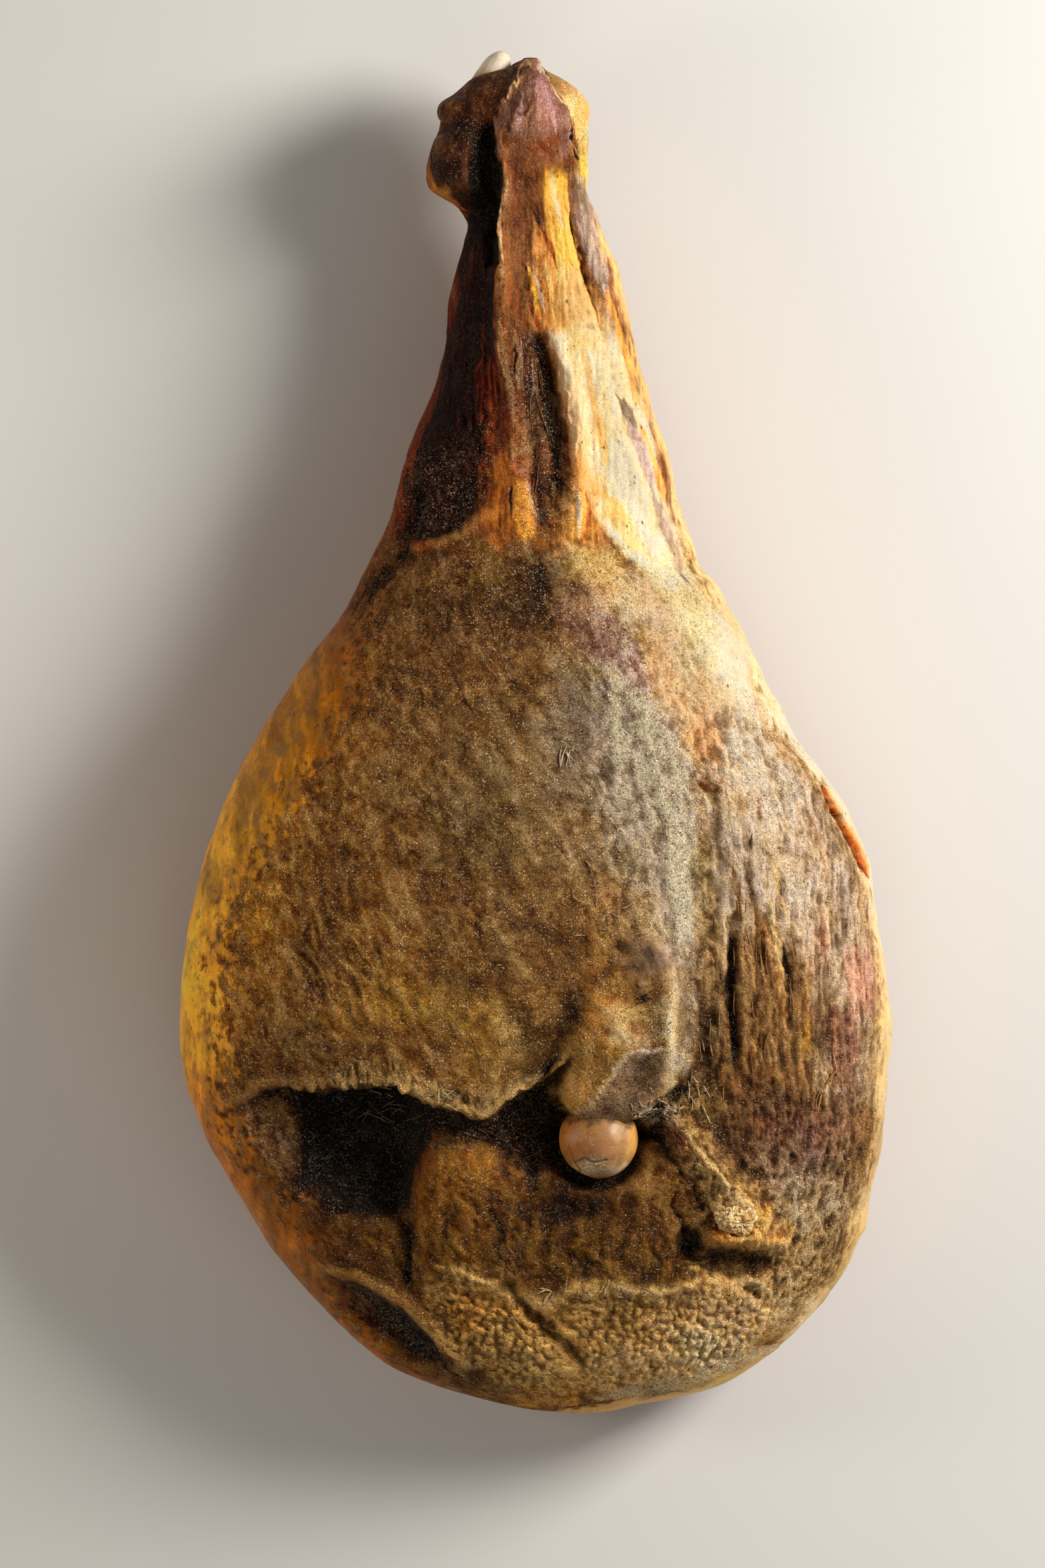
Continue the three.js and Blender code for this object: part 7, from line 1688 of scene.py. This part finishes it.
def build_shreds(P, PX, PY):
    rng = np.random.default_rng(77)
    runs = []

    def scatter(count, x, y, rx, ry, length, radius, lift, colour, turn=None, spread_turn=0.6):
        for _ in range(count):
            cx, cy = x + rx * rng.normal() * 0.5, y + ry * rng.normal() * 0.5
            a = (rng.uniform(0, 2 * math.pi) if turn is None else math.radians(turn) + spread_turn * rng.normal())
            L = length * rng.uniform(0.6, 1.4)
            bend = rng.normal() * (0.8 if turn is None else 0.3)
            pts, aa = [], a - bend / 2
            px, py = cx - math.cos(a) * L / 2, cy - math.sin(a) * L / 2
            for i in range(7):
                pts.append((px, py))
                px += math.cos(aa) * L / 6
                py += math.sin(aa) * L / 6
                aa += bend / 6 + rng.normal() * (0.16 if turn is None else 0.06)
            runs.append((pts, radius * rng.uniform(0.6, 1.3), lift * rng.uniform(0.5, 1.3), colour))

    # tuft between the knob and the ligament, and threads near it
    scatter(80, 974, 1664, 36, 16, 13, 0.30, 0.7, (178, 160, 132))
    scatter(9, 1036, 1626, 34, 42, 26, 0.18, 0.6, (206, 182, 142), 70, 0.5)
    scatter(7, 1012, 1706, 10, 30, 40, 0.50, 1.2, (112, 62, 40), 75, 0.3)
    # cobwebs in the hollow at the left of the ball
    scatter(22, 800, 1700, 40, 44, 30, 0.18, 1.0, (84, 64, 44), 30, 0.8)
    scatter(14, 690, 1700, 60, 24, 34, 0.18, 0.8, (76, 58, 38), 20, 0.5)
    scatter(14, 560, 1660, 70, 18, 34, 0.20, 1.0, (92, 72, 48), 0, 0.5)
    # along the flap's lip and the border of the lard
    scatter(16, 640, 1636, 90, 8, 20, 0.22, 0.5, (186, 162, 120), 10, 0.5)
    scatter(22, 900, 1930, 130, 12, 20, 0.26, 0.5, (190, 164, 120), None)
    # tatters at the right, threads of the fibres
    scatter(10, 1236, 1626, 16, 30, 34, 0.46, 0.9, (176, 130, 80), 96, 0.25)
    scatter(24, 1140, 1480, 70, 150, 40, 0.26, 0.25, (150, 110, 66), 84, 0.08)
    scatter(14, 1180, 1320, 60, 110, 36, 0.22, 0.2, (196, 168, 124), 80, 0.1)
    scatter(5, 1064, 1560, 20, 60, 26, 0.24, 0.3, (166, 130, 84), 86, 0.1)
    # flakes on the face
    scatter(6, 850, 1138, 10, 14, 26, 0.30, 0.6, (204, 184, 150), 80, 0.3)
    scatter(5, 1154, 1168, 14, 16, 30, 0.34, 0.7, (226, 200, 158), 55, 0.2)
    scatter(14, 900, 1350, 60, 60, 22, 0.24, 0.5, (176, 150, 112), None)
    # shreds in the pit of the shank
    scatter(7, 806, 630, 12, 90, 44, 0.22, 0.3, (120, 82, 46), 88, 0.05)
    # over the low cavity
    scatter(10, 1060, 1880, 60, 22, 24, 0.22, 0.6, (96, 70, 42), 10, 0.6)
    VV, QQ, TT, CC = [], [], [], []
    base = 0
    for pts, radius, lift, colour in runs:
        out = []
        zs = [ground_height(P, PX, PY, x, y) for x, y in pts]
        if any(z is None for z in zs):
            continue
        zs = np.array(zs)
        zs = np.convolve(np.concatenate([[zs[0]], zs, [zs[-1]]]), np.ones(3) / 3, "valid")
        for i, (x, y) in enumerate(pts):
            X, Y = to_mm(x, y)
            t = i / (len(pts) - 1)
            out.append((X, Y, zs[i] + lift * math.sin(math.pi * t) - 0.12))
        out = np.array(out)
        t = np.linspace(0, 1, len(out))
        rad = radius * np.sqrt(np.clip(1 - (2 * t - 1) ** 2, 0.05, 1)) * (1 + 0.3 * rng.normal(size=len(out)))
        V, q, tr = tube(out, np.abs(rad) + 0.05, 5, 0.6)
        VV.append(V)
        QQ += [tuple(base + k for k in f) for f in q]
        TT += [tuple(base + k for k in f) for f in tr]
        c = lin(colour) * rng.uniform(0.6, 1.15)
        CC.append(np.tile(c, (len(V), 1)))
        base += len(V)
    V, C = np.vstack(VV), np.vstack(CC)
    o = make_mesh("dried_shreds", V, np.array(QQ), np.array(TT))
    n = len(V)
    attribute(o, "Col", np.clip(C, 0.002, 0.9))
    attribute(o, "Kind", np.tile([0.45, 0.1, 0.3], (n, 1)))
    attribute(o, "Form", np.zeros((n, 3)))
    return o


# ---------------------------------------------------------------- materials


class Graph:
    """Short calls for building a node material."""

    def __init__(self, name):
        self.mat = bpy.data.materials.new(name)
        self.mat.use_nodes = True
        self.t = self.mat.node_tree
        self.t.nodes.clear()
        self.out = self.t.nodes.new("ShaderNodeOutputMaterial")
        self.bsdf = self.t.nodes.new("ShaderNodeBsdfPrincipled")
        self.t.links.new(self.bsdf.outputs[0], self.out.inputs["Surface"])
        self.co = self.t.nodes.new("ShaderNodeTexCoord").outputs["Object"]

    def put(self, socket, value):
        if isinstance(value, (int, float)):
            socket.default_value = value
        elif isinstance(value, (tuple, list)):
            socket.default_value = value if len(value) != 3 or socket.type != "RGBA" else (*value, 1)
        else:
            self.t.links.new(value, socket)

    def node(self, kind, **props):
        n = self.t.nodes.new(kind)
        for k, v in props.items():
            setattr(n, k, v)
        return n

    def attr(self, name):
        return self.node("ShaderNodeAttribute", attribute_name=name, attribute_type="GEOMETRY").outputs["Color"]

    def split(self, colour):
        n = self.node("ShaderNodeSeparateColor")
        self.put(n.inputs[0], colour)
        return n.outputs[0], n.outputs[1], n.outputs[2]

    def math(self, op, a, b=0.0, clamp=False):
        n = self.node("ShaderNodeMath", operation=op, use_clamp=clamp)
        self.put(n.inputs[0], a)
        self.put(n.inputs[1], b)
        return n.outputs[0]

    def remap(self, v, a, b, c=0.0, d=1.0, kind="SMOOTHSTEP"):
        n = self.node("ShaderNodeMapRange", interpolation_type=kind, clamp=True)
        for s, x in zip(n.inputs[:5], (v, a, b, c, d)):
            self.put(s, x)
        return n.outputs[0]

    def mix(self, a, b, k, how="MIX"):
        n = self.node("ShaderNodeMix", data_type="RGBA", blend_type=how, clamp_factor=True)
        self.put(n.inputs[0], k)
        self.put(n.inputs[6], a)
        self.put(n.inputs[7], b)
        return n.outputs[2]

    def scaled(self, x, y, z, turn=0.0):
        n = self.node("ShaderNodeMapping")
        self.put(n.inputs["Vector"], self.co)
        n.inputs["Scale"].default_value = (x, y, z)
        n.inputs["Rotation"].default_value = (0, 0, math.radians(turn))
        return n.outputs[0]

    def drawn(self, turn, x, y, z):
        """Object coordinates turned by turn degrees, with features x, y, z times as long along the turned axes."""
        n = self.node("ShaderNodeMapping", vector_type="TEXTURE")
        self.put(n.inputs["Vector"], self.co)
        n.inputs["Scale"].default_value = (x, y, z)
        n.inputs["Rotation"].default_value = (0, 0, math.radians(turn))
        return n.outputs[0]

    def wavy(self, size, by, x, y, z, turn=0.0):
        """Object coordinates pushed about by noise by mm, then scaled and turned."""
        n = self.node("ShaderNodeTexNoise")
        self.put(n.inputs["Vector"], self.co)
        n.inputs["Scale"].default_value = 1000.0 / size
        n.inputs["Detail"].default_value = 2.0
        v = self.node("ShaderNodeVectorMath", operation="MULTIPLY_ADD")
        self.put(v.inputs[0], n.outputs["Color"])
        v.inputs[1].default_value = (by / 500.0,) * 3
        self.put(v.inputs[2], self.co)
        m = self.node("ShaderNodeMapping")
        self.put(m.inputs["Vector"], v.outputs[0])
        m.inputs["Scale"].default_value = (x, y, z)
        m.inputs["Rotation"].default_value = (0, 0, math.radians(turn))
        return m.outputs[0]

    def noise(self, size, detail=4.0, rough=0.55, warp=0.0, at=None):
        """Noise with features about size mm."""
        n = self.node("ShaderNodeTexNoise")
        self.put(n.inputs["Vector"], at or self.co)
        n.inputs["Scale"].default_value = 1000.0 / size
        n.inputs["Detail"].default_value = detail
        n.inputs["Roughness"].default_value = rough
        n.inputs["Distortion"].default_value = warp
        return n.outputs["Fac"]

    def cell(self, size, at=None, rand=1.0):
        """Distance from cell centres (0 to about 0.7) and each cell's colour, with cells size mm wide."""
        n = self.node("ShaderNodeTexVoronoi")
        self.put(n.inputs["Vector"], at or self.co)
        n.inputs["Scale"].default_value = 1000.0 / size
        n.inputs["Randomness"].default_value = rand
        return n.outputs["Distance"], n.outputs["Color"]

    def bump(self, height, mm, under=None):
        n = self.node("ShaderNodeBump")
        self.put(n.inputs["Height"], height)
        n.inputs["Strength"].default_value = 1.0
        n.inputs["Distance"].default_value = mm / 1000.0
        if under is not None:
            self.t.links.new(under, n.inputs["Normal"])
        return n.outputs[0]


def flesh_material(name, bone=False):
    g = Graph(name)
    col = g.attr("Col")
    dust, fat, fibre = g.split(g.attr("Kind"))
    hollow_shade, lard, top_light = g.split(g.attr("Form"))
    # broad and medium mottling
    n1 = g.noise(14.0, 5.0, 0.6, 0.4)
    col = g.mix(col, g.mix(col, (0.55, 0.52, 0.50), 1.0, "MULTIPLY"), g.remap(n1, 0.42, 0.28, 0.0, 0.55))
    n2 = g.noise(3.2, 5.0, 0.62, 0.6)
    k = g.math("MULTIPLY", g.remap(n2, 0.56, 0.72), g.remap(fat, 0.0, 1.0, 0.32, 0.25))
    col = g.mix(col, g.mix(col, (1.55, 1.45, 1.30), 1.0, "MULTIPLY"), k)
    k = g.math("MULTIPLY", g.remap(n2, 0.44, 0.28), g.remap(fat, 0.0, 1.0, 0.34, 0.3))
    col = g.mix(col, g.mix(col, (0.42, 0.36, 0.30), 1.0, "MULTIPLY"), k)
    # strings of lean, along the leg
    across = g.wavy(14.0, 2.2, 1.0, 0.13, 0.6, -5.0)
    f1 = g.noise(0.95, 3.0, 0.6, 0.25, across)
    f2 = g.noise(2.6, 2.0, 0.5, 0.3, across)
    fib = g.math("ADD", g.math("MULTIPLY", f1, 0.55), g.math("MULTIPLY", f2, 0.45))
    clump = g.remap(g.noise(7.0, 4.0, 0.6, 0.6), 0.36, 0.60, 0.25, 1.0)
    fibre = g.math("MULTIPLY", fibre, clump)
    k = g.math("MULTIPLY", g.remap(fib, 0.50, 0.36), g.math("MULTIPLY", fibre, 0.6))
    col = g.mix(col, g.mix(col, (0.38, 0.28, 0.20), 1.0, "MULTIPLY"), k)
    k = g.math("MULTIPLY", g.remap(fib, 0.54, 0.66), g.math("MULTIPLY", fibre, 0.35))
    col = g.mix(col, g.mix(col, (1.6, 1.5, 1.35), 1.0, "MULTIPLY"), k)
    # mould and dust: pale granules and dark specks
    patch = g.remap(g.noise(9.0, 4.0, 0.6, 0.8), 0.40, 0.62)
    gd, gc = g.cell(1.05)
    gran = g.math("MULTIPLY", g.remap(gd, 0.46, 0.22), g.remap(g.split(gc)[0], 0.30, 0.50))
    hd, hc = g.cell(0.62)
    gran2 = g.math("MULTIPLY", g.remap(hd, 0.46, 0.22), g.remap(g.split(hc)[0], 0.40, 0.60))
    amount = g.math("MULTIPLY", dust, g.remap(patch, 0.0, 1.0, 0.35, 1.0))
    kgran = g.math("MULTIPLY", g.math("MAXIMUM", gran, g.math("MULTIPLY", gran2, 0.7)), g.math("MULTIPLY", amount, 0.85))
    pale = g.mix((0.50, 0.33, 0.15), (0.80, 0.64, 0.42), g.split(gc)[2])
    col = g.mix(col, g.mix(pale, g.mix(col, (2.6, 2.4, 2.2), 1.0, "MULTIPLY"), 0.42), kgran)
    sd, sc = g.cell(1.5)
    salt = g.math("MULTIPLY", g.remap(sd, 0.36, 0.24), g.remap(g.split(sc)[1], 0.78, 0.84))
    salt = g.math("MULTIPLY", salt, g.math("MULTIPLY", amount, 0.75))
    crack = g.noise(1.5, 5.0, 0.72, 0.8)
    kspeck = g.math("MULTIPLY", g.remap(crack, 0.42, 0.33), g.math("MULTIPLY", dust, 0.80))
    col = g.mix(col, (0.040, 0.020, 0.009), kspeck)
    fine = g.noise(0.75, 4.0, 0.8)
    k = g.math("MULTIPLY", g.remap(fine, 0.52, 0.38), g.remap(dust, 0.0, 1.0, 0.25, 0.85))
    col = g.mix(col, g.mix(col, (0.30, 0.25, 0.20), 1.0, "MULTIPLY"), k)
    k = g.math("MULTIPLY", g.remap(fine, 0.52, 0.66), g.remap(dust, 0.0, 1.0, 0.2, 0.75))
    col = g.mix(col, g.mix(col, (1.9, 1.8, 1.7), 1.0, "MULTIPLY"), k)
    film = g.noise(4.0, 8.0, 0.74, 0.5, g.drawn(28.0, 1.0, 2.8, 1.6))
    k = g.math("MULTIPLY", g.remap(film, 0.50, 0.64), g.math("MULTIPLY", dust, 0.30))
    col = g.mix(col, g.mix((0.36, 0.27, 0.165), g.mix(col, (2.2, 2.1, 2.0), 1.0, "MULTIPLY"), 0.6), k)
    lit = g.mix(g.mix(col, (3.4, 3.2, 3.0), 1.0, "MULTIPLY"), (0.80, 0.68, 0.50), 0.45)
    col = g.mix(col, lit, salt)
    # pores and specks in the rind fat
    rare = g.remap(g.noise(17.0, 3.0, 0.6), 0.44, 0.60)
    pd, pc = g.cell(3.4, g.scaled(1.0, 0.62, 1.0, 0.0))
    pore = g.math("MULTIPLY", g.remap(pd, 0.20, 0.10), g.remap(g.split(pc)[0], 0.50, 0.56))
    pore = g.math("MULTIPLY", pore, g.math("MULTIPLY", fat, g.remap(rare, 0.0, 1.0, 0.45, 1.0)))
    col = g.mix(col, (0.075, 0.032, 0.010), g.math("MULTIPLY", pore, 0.9))
    pd2, pc2 = g.cell(1.7)
    pore2 = g.math("MULTIPLY", g.remap(pd2, 0.24, 0.12), g.remap(g.split(pc2)[2], 0.70, 0.78))
    pore2 = g.math("MULTIPLY", pore2, g.math("MULTIPLY", fat, rare))
    col = g.mix(col, (0.13, 0.055, 0.016), g.math("MULTIPLY", pore2, 0.8))
    # pale tops of the lard's nodules: painted light on their tops
    col = g.mix(col, g.mix(col, (1.5, 1.48, 1.42), 1.0, "MULTIPLY"), g.math("MULTIPLY", lard, g.math("MULTIPLY", top_light, 0.8)))
    g.put(g.bsdf.inputs["Base Color"], col)
    # finish
    rough = g.remap(fat, 0.0, 1.0, 0.74, 0.36, "LINEAR")
    rough = g.math("ADD", rough, g.remap(dust, 0.0, 1.0, -0.04, 0.12, "LINEAR"))
    rough = g.math("ADD", rough, g.remap(n2, 0.3, 0.7, -0.08, 0.10), True)
    g.put(g.bsdf.inputs["Roughness"], rough)
    g.bsdf.inputs["Specular IOR Level"].default_value = 0.11
    g.bsdf.inputs["IOR"].default_value = 1.45
    # fine relief
    b = g.bump(g.math("MULTIPLY", g.noise(2.2, 5.0, 0.65, 0.4), g.remap(fat, 0.0, 1.0, 1.0, 0.35)), 0.7)
    h = g.math("SUBTRACT", g.math("MULTIPLY", kgran, 0.8), g.math("MULTIPLY", kspeck, 1.0))
    h = g.math("ADD", h, g.math("MULTIPLY", g.math("MULTIPLY", fine, dust), 1.3))
    h = g.math("ADD", h, g.math("MULTIPLY", salt, 1.0))
    b = g.bump(h, 0.5, b)
    b = g.bump(g.math("MULTIPLY", fib, fibre), 1.0, b)
    b = g.bump(g.math("SUBTRACT", 1.0, g.math("ADD", pore, g.math("MULTIPLY", pore2, 0.6))), 0.35, b)
    g.put(g.bsdf.inputs["Normal"], b)
    return g.mat


def bone_material(name, scratches, pores):
    """Bone with the painted colour, fine scratches and pores."""
    g = Graph(name)
    col = g.attr("Col")
    dust, fat, fibre = g.split(g.attr("Kind"))
    n1 = g.noise(4.0, 4.0, 0.6, 0.4)
    col = g.mix(col, g.mix(col, (0.72, 0.62, 0.50), 1.0, "MULTIPLY"), g.remap(n1, 0.48, 0.30, 0.0, 0.6))
    s = g.noise(0.5, 2.0, 0.5, 0.1, g.scaled(0.12, 1.0, 1.0, 32.0))
    s2 = g.noise(0.5, 2.0, 0.5, 0.1, g.scaled(1.0, 0.1, 1.0, 12.0))
    line = g.math("MULTIPLY", g.math("MAXIMUM", g.remap(s, 0.66, 0.72), g.remap(s2, 0.68, 0.74)), g.math("MULTIPLY", g.math("SUBTRACT", 1.0, dust), scratches))
    col = g.mix(col, (0.86, 0.80, 0.70), line)
    d, c = g.cell(0.8)
    hole = g.math("MULTIPLY", g.remap(d, 0.34, 0.18), g.math("MULTIPLY", g.remap(g.split(c)[0], 0.55, 0.7), pores))
    col = g.mix(col, (0.16, 0.08, 0.035), hole)
    gd, gc = g.cell(0.7)
    gran = g.math("MULTIPLY", g.remap(gd, 0.42, 0.2), g.math("MULTIPLY", g.remap(g.split(gc)[0], 0.5, 0.7), dust))
    col = g.mix(col, (0.45, 0.34, 0.20), g.math("MULTIPLY", gran, 0.7))
    g.put(g.bsdf.inputs["Base Color"], col)
    r = g.remap(dust, 0.0, 1.0, 0.44, 0.82, "LINEAR")
    r = g.math("ADD", r, g.remap(n1, 0.3, 0.7, -0.06, 0.10))
    g.put(g.bsdf.inputs["Roughness"], r)
    g.bsdf.inputs["Specular IOR Level"].default_value = 0.5
    b = g.bump(g.noise(1.2, 3.0, 0.6), 0.07)
    b = g.bump(g.math("SUBTRACT", line, hole), 0.10, b)
    b = g.bump(gran, 0.2, b)
    g.put(g.bsdf.inputs["Normal"], b)
    return g.mat


# ---------------------------------------------------------------- the scene

ham, HAM_P, HAM_PX, HAM_PY, HAM_COL = build_ham()
ham.data.materials.append(flesh_material("cured_meat_and_rind_look"))
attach(ham, "root")
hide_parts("ham")

shreds = build_shreds(HAM_P, HAM_PX, HAM_PY)
shreds.data.materials.append(flesh_material("dried_shreds_look"))
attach(shreds, "root")

ball = build_ball()
ball.data.materials.append(bone_material("joint_bone_look", 0.55, 0.0))
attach(ball, "root")
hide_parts("femur_head")

stub = build_stub()
stub.data.materials.append(bone_material("sawn_bone_look", 0.0, 0.8))
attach(stub, "root")
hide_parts("aitch_bone_stub")

tip = build_tip()
tip.data.materials.append(bone_material("white_bone_look", 0.2, 0.1))
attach(tip, "root")
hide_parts("hock_bone_tip")

# floor
fm = Graph("pale_floor")
tone = fm.noise(900.0, 2.0, 0.5)
fm.put(fm.bsdf.inputs["Base Color"], fm.mix((0.70, 0.69, 0.67), (0.73, 0.72, 0.70), tone))
fm.bsdf.inputs["Roughness"].default_value = 0.75
me = bpy.data.meshes.new("floor")
me.from_pydata([(-3, -3, 0), (3, -3, 0), (3, 3, 0), (-3, 3, 0)], [], [(0, 1, 2, 3)])
floor = bpy.data.objects.new("floor", me)
bpy.context.scene.collection.objects.link(floor)
floor.location.z = -0.0002
me.materials.append(fm.mat)


def area(name, place, look_at, width, height, watts, colour):
    light = bpy.data.lights.new(name, "AREA")
    light.shape = "RECTANGLE"
    light.size, light.size_y = width, height
    light.energy = watts
    light.color = colour
    o = bpy.data.objects.new(name, light)
    o.location = place
    o.rotation_euler = (Vector(look_at) - Vector(place)).to_track_quat("-Z", "Y").to_euler()
    bpy.context.scene.collection.objects.link(o)


area("key", (1.20, 0.50, 0.92), (0.0, 0.0, 0.06), 0.50, 0.70, 34.0, (1.0, 0.96, 0.90))
area("rim", (-1.2, -0.05, 0.34), (0.0, -0.05, 0.06), 0.30, 1.2, 7.0, (1.0, 0.88, 0.72))
area("fill", (0.5, -1.2, 1.5), (0.0, 0.0, 0.05), 1.4, 1.4, 4.0, (1.0, 0.97, 0.93))

world = bpy.data.worlds.new("studio")
world.use_nodes = True
world.node_tree.nodes["Background"].inputs[0].default_value = (1.0, 0.98, 0.95, 1)
world.node_tree.nodes["Background"].inputs[1].default_value = 0.12
bpy.context.scene.world = world
bpy.context.scene.view_settings.view_transform = "Standard"

cam = bpy.data.cameras.new("camera")
cam.sensor_fit = "VERTICAL"
cam.sensor_height = 36.0
cam.lens = 312.9
cam.clip_end = 30.0
camera = bpy.data.objects.new("camera", cam)
camera.location = (-0.0060, -0.0223, 6.05)
camera.rotation_euler = (0.0, 0.0, 0.0)
bpy.context.scene.collection.objects.link(camera)
bpy.context.scene.camera = camera
